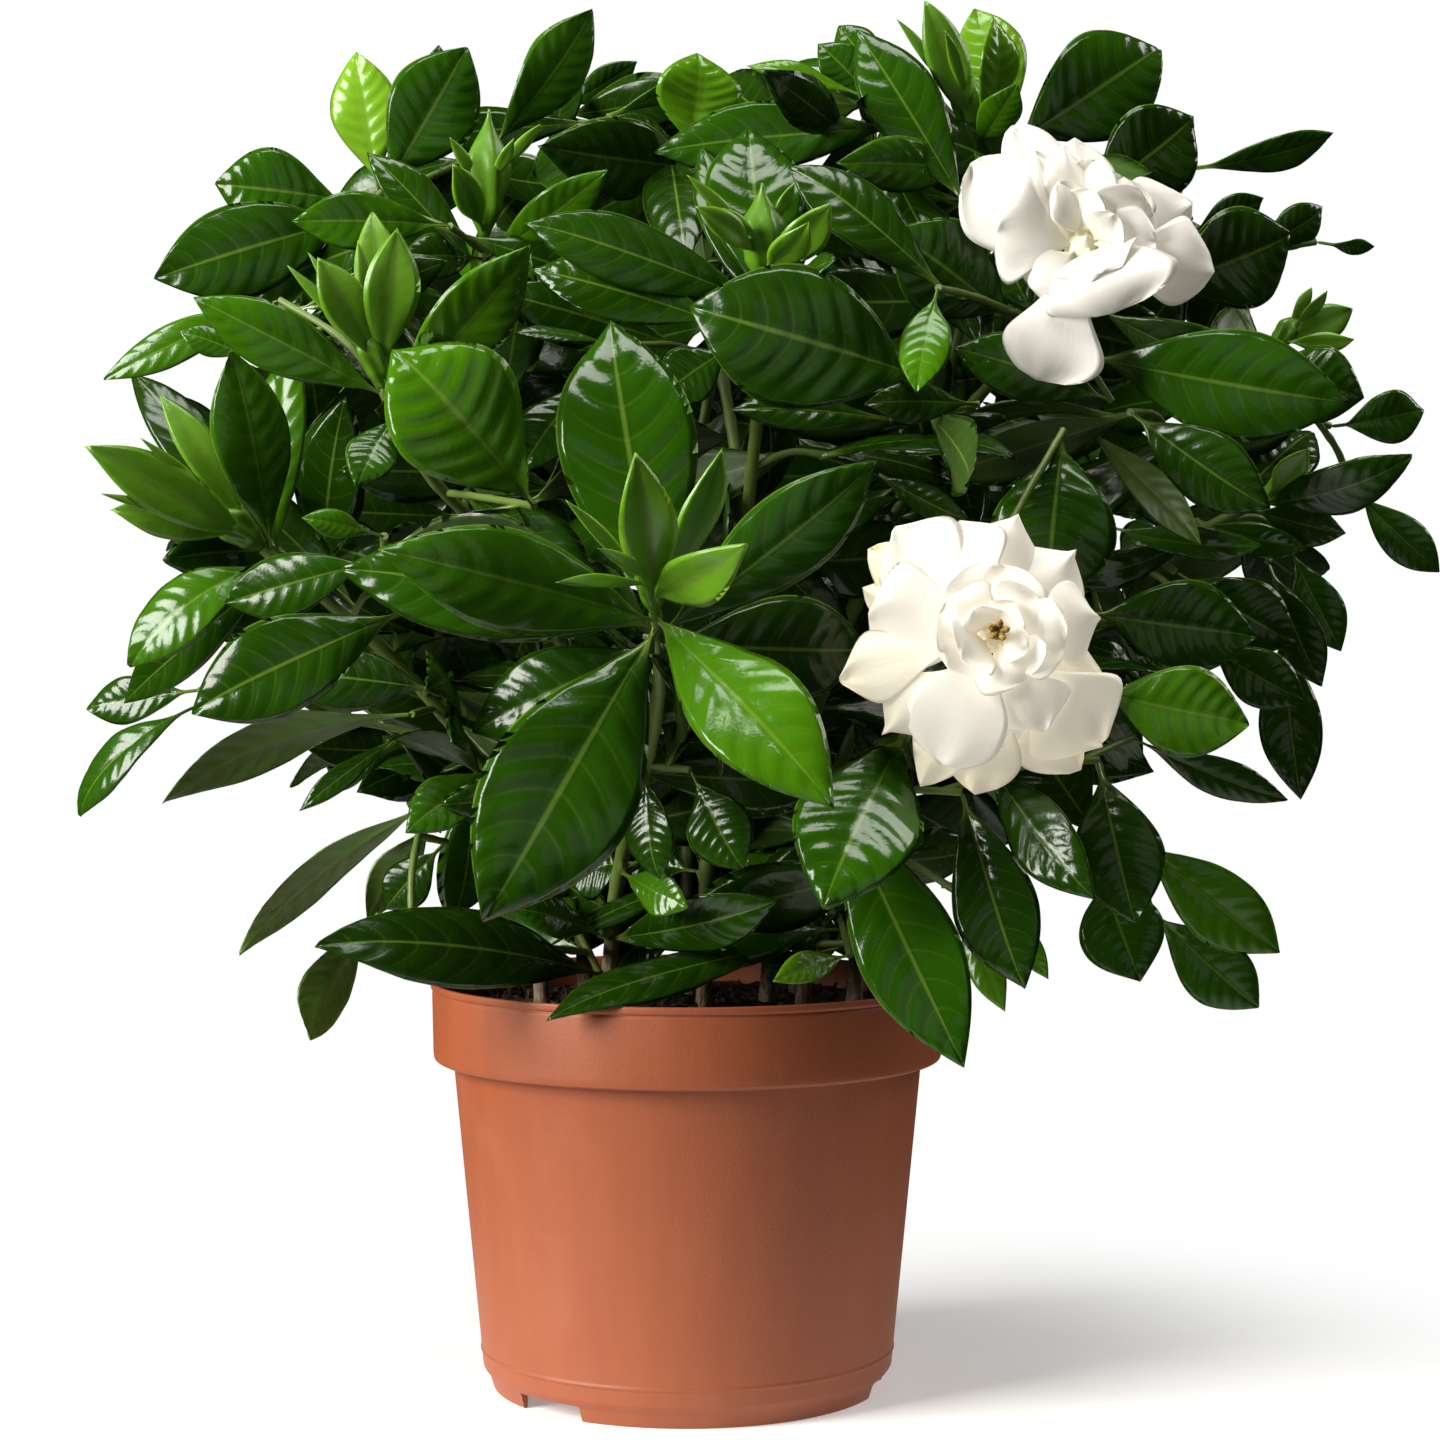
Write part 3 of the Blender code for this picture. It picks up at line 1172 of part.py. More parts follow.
def main():
    for item in list(bpy.data.objects):
        bpy.data.objects.remove(item)
    leaf_green = principled("leaf_green", (0.035, 0.110, 0.012), 0.30)
    young_green = principled("young_green", (0.190, 0.370, 0.040), 0.38)
    petal_white = principled("petal_white", (0.860, 0.840, 0.760), 0.55)
    heart_yellow = principled("heart_yellow", (0.360, 0.250, 0.060), 0.60)
    terracotta = principled("terracotta_plastic", (0.480, 0.150, 0.075), 0.50)
    compost = principled("compost", (0.016, 0.010, 0.007), 0.95)
    build_pot(terracotta)
    build_soil(compost)
    tubes, blades = lay_out()[:2]
    for name in tubes:
        if name.startswith("stem"):
            build_grown(name, tubes[name], blades[name], leaf_green)
        elif name.startswith("tip"):
            build_grown(name, tubes[name], blades[name], young_green)
        else:
            build_bloom(name, tubes[name], blades[name], petal_white, name == "bloom_front")
    leaves, centre, front = petals_of(SHOOTS["bloom_front"], FRONT_PETALS)
    build_heart(heart_yellow, centre, front)


main()
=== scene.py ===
# Potted gardenia: the looks of the plant and its pot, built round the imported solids. Every piece rides on the
# one body, stands at the origin and has its place in its mesh. Metres, +Z up, -Y towards the viewer.
import math
import random
from collections import namedtuple

import bmesh
import bpy
from bpy.props import FloatProperty, FloatVectorProperty, PointerProperty
from mathutils import Matrix, Vector
from mathutils.bvhtree import BVHTree


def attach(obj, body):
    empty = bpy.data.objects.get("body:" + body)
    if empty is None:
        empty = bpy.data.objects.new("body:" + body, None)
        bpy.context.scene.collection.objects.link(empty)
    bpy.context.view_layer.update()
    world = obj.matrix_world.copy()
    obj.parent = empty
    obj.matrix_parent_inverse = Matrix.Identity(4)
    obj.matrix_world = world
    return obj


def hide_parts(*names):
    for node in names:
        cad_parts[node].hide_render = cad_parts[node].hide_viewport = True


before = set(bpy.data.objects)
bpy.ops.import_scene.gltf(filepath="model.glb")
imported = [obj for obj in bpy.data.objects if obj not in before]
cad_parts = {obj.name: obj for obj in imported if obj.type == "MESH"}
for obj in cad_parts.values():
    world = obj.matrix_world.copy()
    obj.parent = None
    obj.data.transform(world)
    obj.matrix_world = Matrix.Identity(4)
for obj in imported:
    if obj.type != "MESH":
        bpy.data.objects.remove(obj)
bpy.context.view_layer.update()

bl_info = {
    "name": "Potted gardenia",
    "version": (1, 0, 0),
    "blender": (4, 5, 0),
    "location": "View3D > Sidebar > Gardenia",
    "description": "Builds a flowering gardenia in its nursery pot",
    "category": "Object",
}

MM = 0.001

# Driving dimensions of the pot, in millimetres
POT_RIM_RADIUS = 95.0
POT_HEIGHT = 149.0
POT_BAND_HEIGHT = 30.0
POT_BODY_TOP_RADIUS = 86.5
POT_BODY_BOTTOM_RADIUS = 75.5
POT_FOOT_RADIUS = 71.7
POT_FOOT_HEIGHT = 6.5
POT_WALL = 1.6
FLOOR_THICKNESS = 1.8
FLOOR_BEVEL = 3.0
FOOT_FLARE = 1.5
LIP_HEIGHT = 2.4
LIP_STEP = 0.6
RIM_THICKNESS = 1.9
BAND_INSET = 1.6
BAND_EDGE = 1.1
BAND_ROUNDING = 2.4
BAND_WALL = 3.2
BAND_FLOOR = 1.0
LEDGE_HEIGHT = 3.4
PAD_RADIUS = 13.0
PAD_TAPER = 1.0
NOTCH_WIDTH = 29.0
NOTCH_DEPTH = 5.9
NOTCH_REACH = (-6.0, 8.0)
NOTCH_ANGLES = (-132.0, -12.0, 108.0)
DRAIN_RADIUS = 5.0
DRAIN_CIRCLE = 44.0
DRAIN_COUNT = 4
GAP = 0.3

# The soil, in millimetres
SOIL_TOP = 138.0
SOIL_ROUGHNESS = 1.6
SOIL_EDGE_DROP = 1.0
HOLE_DEPTH = 24.0
STEM_REST = 6.0

# Where the photograph was taken from: its frame in pixels, its lens and its horizon in the same pixels, the
# viewer's place and a camera's sensor in millimetres
FRAME = 1440.0
VIEW_FOCAL = 3005.0
VIEW_HORIZON = 666.0
VIEW_DISTANCE = 1115.0
VIEW_HEIGHT = 265.0
VIEW_SIDE = 12.0
SENSOR_WIDTH = 36.0
VIEWER = Vector((VIEW_SIDE, -VIEW_DISTANCE, VIEW_HEIGHT))

# Blades: how far a midrib's inner control points stand out for its arch, how nearly a blade may point at the
# viewer and still face that way, how far the halves of a grown leaf fold up, and the small wave of a blade as
# a share of its width and by its step
ARCH_REACH = 1.33
EDGE_ON = 0.2
LEAF_FOLD = 0.14
BLADE_WAVE = 0.035
WAVE_STEP = 2.3

# Leaves and stems, in millimetres
BLADE_THICKNESS = 1.3
PETIOLE = 5.5
PETIOLE_THICKNESS = 2.2
ROOT_SPREAD = 0.35
WHORL_STEP = 3.4
TRUNK_RADIUS = 3.1
BRANCH_RADIUS = 2.2
SHOOT_RADIUS = 1.9
TWIG_RADIUS = 1.3
STRAIGHT_END = 4.0
CLEARANCE = 0.45

# The seed of every random choice
SEED = 41

Leaf = namedtuple("Leaf", "lead root tip face width arch fold tone shape")
Shoot = namedtuple("Shoot", "stem at axis")
Placed = namedtuple("Placed", "owner full free low high")


def sight(px, py, near):
    """The point seen at a place in the photograph, that many millimetres nearer than the pot's axis."""
    reach = (VIEW_DISTANCE - near) / VIEW_FOCAL
    return Vector((VIEW_SIDE + (px - FRAME / 2) * reach, -near, VIEW_HEIGHT - (py - VIEW_HORIZON) * reach))


# Stems: where each one stands in the soil, as x and nearness to the viewer in millimetres
ROOTS = {
    "stem_front": (-28, 32),
    "stem_left": (-54, 4),
    "stem_upper_left": (-26, -10),
    "stem_middle": (6, 6),
    "stem_upper_right": (30, -18),
    "stem_right": (62, 0),
    "stem_front_right": (42, 32),
    "stem_back_left": (-40, -44),
    "stem_back_middle": (0, -50),
    "stem_back_right": (42, -48),
}

# Shoots: the stem that carries each, where it ends (photograph place and nearness), and where it points
SHOOTS = {
    "front": Shoot("stem_front", sight(655, 612, 140), Vector((-0.10, -0.55, 0.80))),
    "left": Shoot("stem_left", sight(262, 548, 62), Vector((-0.70, -0.35, 0.60))),
    "top_left": Shoot("stem_upper_left", sight(484, 240, 36), Vector((0.05, -0.12, 1.00))),
    "upper_left": Shoot("stem_upper_left", sight(384, 388, 88), Vector((-0.25, -0.30, 0.90))),
    "middle": Shoot("stem_middle", sight(762, 284, 84), Vector((0.00, -0.25, 0.95))),
    "top_middle": Shoot("stem_middle", sight(688, 150, 4), Vector((-0.05, 0.05, 1.00))),
    "top_right": Shoot("stem_upper_right", sight(972, 140, 26), Vector((-0.12, -0.10, 1.00))),
    "bloom_upper": Shoot("stem_upper_right", sight(1078, 262, 84), Vector((0.10, -0.85, 0.50))),
    "right": Shoot("stem_right", sight(1272, 348, 52), Vector((0.65, -0.15, 0.70))),
    "low_right": Shoot("stem_right", sight(1262, 498, 48), Vector((0.80, -0.20, 0.50))),
    "bloom_front": Shoot("stem_front_right", sight(990, 640, 118), Vector((0.03, -0.98, 0.12))),
    "side_left": Shoot("stem_left", Vector((-172, 22, 322)), Vector((-0.85, 0.25, 0.45))),
    "side_right": Shoot("stem_right", Vector((168, 34, 286)), Vector((0.85, 0.30, 0.40))),
    "back_left": Shoot("stem_back_left", Vector((-150, 92, 335)), Vector((-0.60, 0.50, 0.60))),
    "back_left_top": Shoot("stem_back_left", Vector((-88, 112, 412)), Vector((-0.30, 0.40, 0.90))),
    "back_left_low": Shoot("stem_back_left", Vector((-130, 128, 240)), Vector((-0.55, 0.75, 0.30))),
    "back_middle": Shoot("stem_back_middle", Vector((-14, 168, 352)), Vector((-0.05, 0.80, 0.60))),
    "back_middle_top": Shoot("stem_back_middle", Vector((14, 84, 424)), Vector((0.05, 0.45, 0.90))),
    "back_middle_low": Shoot("stem_back_middle", Vector((12, 160, 236)), Vector((0.05, 0.95, 0.20))),
    "back_right": Shoot("stem_back_right", Vector((152, 100, 345)), Vector((0.60, 0.50, 0.60))),
    "back_right_top": Shoot("stem_back_right", Vector((88, 110, 420)), Vector((0.30, 0.40, 0.90))),
    "back_right_low": Shoot("stem_back_right", Vector((138, 118, 244)), Vector((0.60, 0.70, 0.30))),
}

# How long a stem, a branch or a twig keeps the way it starts, and any of them the way it ends, as shares
# of its length
TRUNK_PULL = 0.42
BRANCH_PULL = 0.32
TWIG_PULL = 0.35
END_PULL = 0.34

# Where a stem's second and third shoots leave its first one, as a share of that one's length
FORKS = {
    "upper_left": 0.45,
    "top_middle": 0.55,
    "bloom_upper": 0.52,
    "low_right": 0.42,
    "side_left": 0.50,
    "side_right": 0.36,
    "back_left_top": 0.50,
    "back_left_low": 0.30,
    "back_middle_top": 0.50,
    "back_middle_low": 0.30,
    "back_right_top": 0.50,
    "back_right_low": 0.30,
}

# Mature leaves that the photograph shows, front ones first, by the stem that bears them. Each row holds
# the base (a whorl number under the named shoot's end, or a photograph place and nearness), the tip
# (place and nearness), width in millimetres, arch towards the viewer as a share of the length, turn away
# from the viewer in degrees, and tone from 0 (old, dark) to 1 (young, light).
SEEN_LEAVES = (
    ("stem_front", "front", (
        (2, (484, 925, 168), 50, 0.06, 4, 0.10),
        (1, (835, 803, 196), 36, 0.07, -8, 0.55),
        (1, (378, 549, 188), 33, 0.08, 6, 0.45),
        (2, (337, 562, 150), 35, 0.05, 10, 0.30),
        (2, (606, 310, 118), 46, 0.03, 4, 0.15),
        (3, (883, 460, 138), 29, 0.05, 12, 0.25),
        (4, (876, 652, 104), 36, 0.04, 0, 0.05),
        (4, (470, 732, 118), 30, 0.04, 10, 0.30),
        ((690, 770, 92), (742, 870, 104), 24, 0.03, 20, 0.10),
        ((640, 770, 86), (655, 880, 92), 20, 0.03, 30, 0.15),
        ((622, 872, 66), (687, 908, 92), 16, 0.05, 10, 0.60),
        ((600, 935, 60), (513, 906, 84), 16, 0.06, 20, 0.35),
        ((500, 770, 84), (406, 828, 112), 20, 0.05, 15, 0.50),
        ((608, 938, 52), (778, 903, 92), 23, 0.06, 20, 0.12),
        ((640, 862, 40), (566, 872, 30), 24, 0.05, 20, 0.08),
    )),
    ("stem_left", "left", (
        (1, (232, 348, 88), 28, 0.05, 16, 0.50),
        (2, (288, 335, 66), 20, 0.05, -20, 0.45),
        (2, (126, 668, 66), 26, 0.14, 35, 0.40),
        (3, (130, 364, 30), 22, 0.04, 10, 0.10),
        (3, (118, 706, 34), 19, 0.05, 10, 0.12),
        ((404, 612, 112), (184, 712, 124), 33, 0.07, 8, 0.15),
        ((380, 560, 96), (222, 604, 84), 22, 0.04, 10, 0.08),
        ((384, 536, 116), (303, 517, 132), 10, 0.03, 20, 0.60),
        ((440, 690, 84), (280, 672, 82), 24, 0.05, 10, 0.05),
        ((600, 974, 50), (316, 938, 104), 32, 0.08, 22, 0.10),
        ((376, 916, 88), (306, 1042, 112), 21, 0.10, 150, 0.40),
        ((425, 806, 58), (236, 953, 52), 17, 0.08, 145, 0.45),
        ((412, 714, 40), (160, 803, 40), 21, 0.12, 140, 0.50),
        ((400, 735, 22), (298, 811, 30), 9, 0.06, 10, 0.10),
        ((400, 738, 14), (328, 794, 6), 8, 0.05, 10, 0.08),
        ((440, 815, 30), (366, 920, 26), 17, 0.06, 150, 0.45),
        ((446, 842, 46), (383, 910, 44), 18, 0.04, 10, 0.08),
        ((196, 706, 24), (72, 818, 14), 19, 0.12, 45, 0.20),
        ((200, 690, 6), (84, 708, -6), 18, 0.05, 10, 0.15),
    )),
    ("stem_upper_left", "upper_left", (
        ((534, 506, 124), (391, 342, 142), 46, 0.10, 8, 0.60),
        (1, (201, 280, 106), 24, 0.05, 10, 0.50),
        (1, (533, 247, 112), 27, 0.06, 24, 0.60),
        (3, (357, 484, 104), 18, 0.04, 15, 0.20),
        (3, (458, 384, 84), 16, 0.04, 10, 0.25),
        ((280, 300, 62), (102, 380, 58), 15, 0.05, 20, 0.45),
        ((262, 362, 70), (178, 330, 74), 11, 0.04, 20, 0.35),
        ((450, 226, 56), (292, 221, 76), 21, 0.05, 15, 0.30),
        ((352, 202, 34), (212, 184, 44), 30, 0.07, 10, 0.25),
        ((362, 218, 40), (152, 279, 58), 34, 0.06, 12, 0.08),
        ((475, 365, 60), (508, 392, 62), 12, 0.04, 10, 0.10),
    )),
    ("stem_upper_left", "top_left", (
        (2, (608, 170, 64), 18, 0.06, 20, 0.40),
        (2, (403, 240, 62), 18, 0.05, 15, 0.20),
        ((380, 194, 20), (354, 50, 24), 25, 0.05, -10, 0.95),
        ((382, 192, 24), (468, 46, 26), 34, 0.04, 10, 0.25),
        ((490, 150, 10), (596, 8, 12), 25, 0.06, 22, 0.40),
        ((430, 150, -14), (440, 43, -10), 15, 0.04, 10, 0.15),
        (4, (366, 148, 38), 17, 0.05, 15, 0.12),
        ((552, 172, -12), (592, 44, -16), 18, 0.04, 10, 0.12),
    )),
    ("stem_middle", "middle", (
        ((932, 380, 112), (687, 306, 128), 48, 0.06, 6, 0.08),
        (2, (523, 218, 98), 25, 0.06, 12, 0.22),
        ((728, 326, 90), (530, 268, 82), 24, 0.06, 14, 0.22),
        (3, (748, 120, 58), 35, 0.06, 6, 0.20),
        (4, (700, 144, 44), 19, 0.04, 10, 0.15),
        ((898, 128, 34), (658, 148, 44), 27, 0.07, 10, 0.32),
        ((738, 342, 78), (658, 397, 78), 21, 0.05, 10, 0.22),
        ((892, 420, 92), (730, 407, 102), 15, 0.04, 25, 0.10),
        ((980, 404, 92), (866, 402, 108), 15, 0.04, 15, 0.12),
        ((612, 346, 64), (514, 331, 74), 9, 0.05, 50, 0.35),
        ((590, 376, 74), (519, 470, 88), 21, 0.05, 15, 0.20),
        ((872, 470, 64), (968, 522, 78), 13, 0.04, 20, 0.06),
        ((702, 902, 6), (612, 962, -8), 26, 0.04, 30, 0.05),
        ((700, 872, 2), (588, 846, -20), 27, 0.04, 20, 0.05),
    )),
    ("stem_middle", "top_middle", (
        (1, (703, 50, 10), 33, 0.05, 8, 0.90),
        ((606, 116, 0), (704, 73, 6), 9, 0.04, 30, 0.25),
        ((556, 112, -30), (638, 62, -26), 13, 0.04, 15, 0.25),
        (2, (606, 118, 18), 17, 0.05, 15, 0.10),
        ((866, 98, 0), (746, 63, 6), 10, 0.05, 35, 0.70),
        ((880, 106, -30), (818, 42, -26), 17, 0.04, 12, 0.25),
    )),
    ("stem_upper_right", "top_right", (
        ((968, 212, 44), (854, 26, 34), 27, 0.05, 12, 0.15),
        ((1010, 146, 2), (1166, 42, -4), 41, 0.05, 8, 0.08),
        (1, (966, 1, 32), 22, 0.05, 20, 0.80),
        ((1016, 134, 24), (972, 8, 16), 26, 0.05, 8, 0.95),
        (1, (1017, 84, 58), 15, 0.05, 20, 0.50),
        (3, (848, 158, 62), 21, 0.05, 15, 0.45),
        ((1082, 206, 14), (1198, 116, 14), 36, 0.05, 8, 0.08),
        ((1160, 218, 2), (1218, 172, 2), 18, 0.04, 10, 0.06),
        ((890, 90, -34), (836, 24, -38), 17, 0.04, 10, 0.20),
    )),
    ("stem_upper_right", "bloom_upper", (
        ((1086, 356, 76), (1352, 404, 96), 38, 0.06, 8, 0.28),
        ((1014, 322, 66), (893, 229, 88), 35, 0.05, 8, 0.22),
        ((938, 288, 104), (909, 393, 122), 19, 0.05, 15, 0.75),
        ((1112, 402, 74), (953, 347, 82), 24, 0.05, 20, 0.18),
        ((1152, 290, 46), (1298, 235, 50), 37, 0.05, 8, 0.08),
        ((946, 292, 84), (793, 162, 84), 25, 0.05, 22, 0.15),
    )),
    ("stem_right", "right", (
        (2, (1362, 398, 72), 28, 0.05, 10, 0.30),
        ((1180, 240, 14), (1265, 198, 14), 15, 0.04, 15, 0.10),
        ((1192, 168, -12), (1338, 135, -14), 15, 0.07, 25, 0.35),
        ((1244, 256, 10), (1328, 208, 8), 17, 0.05, 20, 0.25),
        ((1316, 242, 6), (1376, 248, 4), 7, 0.05, 30, 0.40),
        ((1330, 426, 20), (1428, 409, 20), 20, 0.06, 15, 0.30),
    )),
    ("stem_right", "low_right", (
        ((1130, 412, 78), (1268, 512, 92), 27, 0.05, 10, 0.18),
        (1, (1390, 466, 76), 26, 0.06, 12, 0.25),
        ((1352, 488, 10), (1441, 573, 12), 17, 0.06, 12, 0.28),
        ((1082, 424, 66), (1206, 546, 84), 15, 0.04, 200, 0.35),
        ((1106, 526, 56), (1262, 548, 78), 15, 0.05, 40, 0.30),
        ((1196, 520, 40), (1308, 549, 60), 13, 0.05, 30, 0.15),
        (2, (1346, 533, 64), 16, 0.05, 15, 0.10),
        ((1288, 544, 18), (1342, 652, 24), 18, 0.05, 10, 0.20),
        ((1268, 562, 34), (1321, 688, 38), 18, 0.04, 10, 0.15),
        ((1176, 572, 38), (1292, 640, 46), 28, 0.05, 8, 0.06),
        ((1198, 640, 50), (1306, 703, 60), 21, 0.05, 10, 0.15),
        ((1282, 624, 14), (1300, 801, 24), 23, 0.05, 10, 0.06),
    )),
    ("stem_front_right", "bloom_front", (
        ((902, 738, 98), (822, 903, 146), 43, 0.05, 6, 0.45),
        ((1064, 430, 98), (1046, 606, 108), 43, 0.06, 6, 0.20),
        ((1092, 690, 112), (1251, 724, 120), 31, 0.06, 8, 0.50),
        ((840, 800, 96), (965, 1068, 128), 35, 0.05, 6, 0.25),
        ((962, 792, 108), (1023, 991, 124), 29, 0.05, 8, 0.10),
        ((1098, 760, 96), (1135, 924, 108), 31, 0.05, 8, 0.12),
        ((988, 762, 96), (1090, 899, 140), 23, 0.05, 12, 0.15),
        ((1084, 612, 76), (1258, 636, 84), 33, 0.06, 6, 0.08),
        ((1132, 738, 70), (1289, 801, 66), 15, 0.05, 25, 0.12),
        ((1098, 862, 66), (1140, 981, 84), 30, 0.05, 10, 0.22),
        ((1136, 836, 44), (1282, 955, 46), 27, 0.05, 15, 0.60),
        ((1150, 908, 38), (1262, 1012, 40), 25, 0.05, 12, 0.35),
        ((958, 892, 78), (1004, 1012, 96), 13, 0.05, 10, 0.80),
        ((1004, 896, 54), (1048, 980, 60), 9, 0.05, 10, 0.60),
        ((850, 956, 62), (776, 979, 92), 12, 0.05, 25, 0.75),
        ((776, 806, 10), (764, 902, 14), 17, 0.04, 10, 0.50),
        ((792, 946, 44), (565, 992, 106), 25, 0.05, 25, 0.15),
    )),
)

# Young tips: the shoot that each ends, its bud's length and radius in millimetres, the tips of its thin
# calyx teeth, and its young leaves as tip, width in millimetres and turn, all in photograph places with
# nearness
YOUNG_TIPS = {
    "tip_front": ("front", 22, 5.0,
        ((566, 500, 172), (641, 496, 178), (556, 582, 190), (598, 548, 196)),
        (((637, 456, 186), 19, 10), ((724, 449, 166), 14, 30), ((741, 550, 204), 19, 20))),
    "tip_left": ("left", 24, 6.0,
        ((97, 492, 104), (140, 437, 96)),
        (((86, 445, 104), 20, 10), ((160, 391, 74), 14, 15), ((112, 508, 94), 15, 10))),
    "tip_upper_left": ("upper_left", 26, 5.5,
        ((287, 264, 100), (308, 251, 98), (358, 240, 106)),
        (((372, 209, 84), 17, 15), ((398, 228, 108), 19, 5), ((318, 257, 112), 16, 10))),
    "tip_top_left": ("top_left", 46, 8.0,
        ((450, 137, 52), (514, 139, 54), (541, 124, 44)),
        (((455, 165, 62), 12, 10),)),
    "tip_middle": ("middle", 34, 7.4,
        ((687, 174, 104), (718, 212, 108), (795, 183, 92)),
        (((832, 205, 106), 15, 15), ((808, 226, 118), 13, 35), ((698, 206, 112), 10, 20))),
    "tip_top_right": ("top_right", 28, 6.0,
        ((897, 18, 40), (945, 30, 52)),
        (((926, 0, 44), 16, 10),)),
    "tip_right": ("right", 16, 4.5,
        ((1312, 287, 58), (1328, 292, 66)),
        (((1354, 309, 62), 13, 10), ((1354, 341, 70), 8, 20))),
    "tip_low_right": ("low_right", 12, 4.0,
        ((1300, 452, 66),),
        (((1308, 449, 76), 11, 15),)),
}

# Petals, outer ones first. Each row holds the tip (to the viewer's right, up and towards the viewer from the
# bloom's middle) and the depth of the root in the core, in millimetres, then the width, the arch towards the
# viewer as a share of the length, the turn about its own axis in degrees, the fold (above 0 the margins cup
# towards the viewer, below 0 they roll back), the age from 0 to 1 and the outline.
FRONT_PETALS = (
    ((-41, 30, -10), -5, 24, 0.06, 10, -0.20, 1.0, "oval"),
    ((-43, 17, -9), -5, 22, 0.06, 0, -0.20, 0.9, "oval"),
    ((-24, -50, -7), -4, 24, 0.08, 0, -0.22, 0.8, "oval"),
    ((-6, -53, -8), -5, 26, 0.06, 5, -0.15, 0.9, "fan"),
    ((38, -12, -9), -5, 24, 0.08, 0, -0.22, 0.8, "oval"),
    ((31, -45, -9), -5, 27, 0.08, 10, -0.25, 1.0, "petal"),
    ((-34, 37, -2), -2, 36, 0.06, -6, -0.20, 0.1, "point"),
    ((-43, 4, -3), -1, 38, 0.08, 0, -0.12, 0.1, "petal"),
    ((-52, -15, -6), -3, 26, 0.10, 10, -0.25, 0.7, "point"),
    ((-37, -33, -4), -3, 30, 0.10, -10, -0.30, 0.5, "point"),
    ((-13, 39, 2), 1, 30, 0.06, -12, -0.25, 0.2, "point"),
    ((9, 41, 0), -1, 30, 0.06, 8, -0.40, 0.2, "point"),
    ((28, 29, -2), -2, 30, 0.06, 0, -0.30, 0.1, "point"),
    ((37, 6, 0), -1, 32, 0.08, 0, -0.25, 0.1, "point"),
    ((40, -37, -6), -3, 42, 0.08, 0, -0.22, 0.5, "point"),
    ((8, -39, -2), -2, 38, 0.08, 0, -0.20, 0.1, "point"),
    ((18, -32, 4), 2, 32, 0.10, -8, -0.35, 0.1, "point"),
    ((-18, -43, 2), 2, 36, 0.10, 6, -0.14, 0.0, "petal"),
    ((1, 24, 7), 2, 34, 0.08, 0, 0.22, 0.2, "cup"),
    ((23, -4, 10), 2, 27, 0.12, 0, 0.22, 0.1, "cup"),
    ((-14, -12, 8), 2, 30, 0.10, 0, 0.18, 0.1, "cup"),
    ((10, -14, 11), 3, 28, 0.12, 0, 0.22, 0.1, "cup"),
    ((15, 12, 10), 3, 27, 0.10, 0, 0.25, 0.1, "cup"),
    ((-16, 12, 9), 3, 28, 0.10, 0, 0.25, 0.1, "cup"),
    ((-11, -7, 13), 4, 24, 0.10, 0, 0.25, 0.0, "cup"),
    ((5, 11, 13), 4, 15, 0.12, 0, 0.30, 0.2, "cup"),
    ((-7, 9, 13), 4, 15, 0.12, 0, 0.30, 0.2, "cup"),
    ((10, -3, 14), 4, 14, 0.12, 0, 0.30, 0.2, "cup"),
)
UPPER_PETALS = (
    ((-17, -45, 2), -2, 35, 0.04, 0, -0.06, 0.0, "fan"),
    ((-38, 30, -5), -4, 34, 0.04, -14, 0.08, 0.0, "oval"),
    ((-24, 43, -2), -3, 24, 0.05, 14, -0.12, 0.0, "oval"),
    ((-2, 39, -4), -3, 28, 0.04, 0, -0.22, 0.0, "petal"),
    ((38, 16, -3), -3, 28, 0.05, 0, -0.20, 0.0, "petal"),
    ((45, -9, 2), -1, 33, 0.08, 12, -0.35, 0.1, "fan"),
    ((14, 25, 1), -1, 30, 0.06, 0, 0.05, 0.0, "petal"),
    ((-19, -14, 3), 1, 30, 0.08, 0, -0.10, 0.0, "fan"),
    ((-31, 3, 6), 1, 38, 0.08, -8, -0.08, 0.0, "fan"),
    ((-17, 33, 6), 0, 18, 0.06, 45, -0.15, 0.1, "oval"),
    ((-8, 34, 6), 1, 20, 0.08, 38, -0.10, 0.1, "oval"),
    ((3, 30, 4), 0, 22, 0.08, -20, 0.10, 0.1, "oval"),
    ((8, -25, 12), 3, 46, 0.14, 0, -0.08, 0.0, "cup"),
    ((21, 15, 8), 2, 30, 0.10, 10, 0.25, 0.0, "cup"),
    ((24, 1, 11), 3, 28, 0.10, 0, 0.12, 0.0, "oval"),
    ((-9, 21, 11), 3, 16, 0.10, 30, -0.10, 0.1, "oval"),
    ((2, 18, 12), 4, 16, 0.08, -30, 0.10, 0.1, "oval"),
    ((9, 9, 14), 4, 17, 0.10, 0, 0.20, 0.1, "oval"),
    ((3, -8, 13), 4, 30, -0.16, 0, 0.25, 0.0, "cup"),
)
BLOOMS = {
    "bloom_front": FRONT_PETALS,
    "bloom_upper": UPPER_PETALS,
}

# The core that carries a bloom's petals, and the heart in it with its anthers, or lobes: radii, and places
# along the bloom's facing direction, in millimetres
CORE_RADIUS = 7.5
CORE_FOOT_RADIUS = 3.0
CORE_SIDES = 7
CORE_MIDDLE = 8.0
CORE_HALF = 6.0
PETAL_ROOT = 3.4
PETAL_FOOT = 1.6
HEART_RADIUS = 2.4
HEART_DEPTH = 7.0
HEART_TOP = 15.0
LOBE_COUNT = 5
LOBE_FROM = 12.0
LOBE_TO = 17.0
LOBE_SPREAD = 3.4
LOBE_RADII = (0.7, 1.3, 1.2, 0.3)

# A bud: the radii of its foot and point in millimetres, its shoulder as a share of its radius, where its rings
# stand as shares of its length, and its sides
BUD_FOOT_RADIUS = 1.9
BUD_POINT_RADIUS = 0.5
BUD_SHOULDER = 0.75
BUD_STATIONS = (0.0, 0.25, 0.55, 1.0)
BUD_SIDES = 5

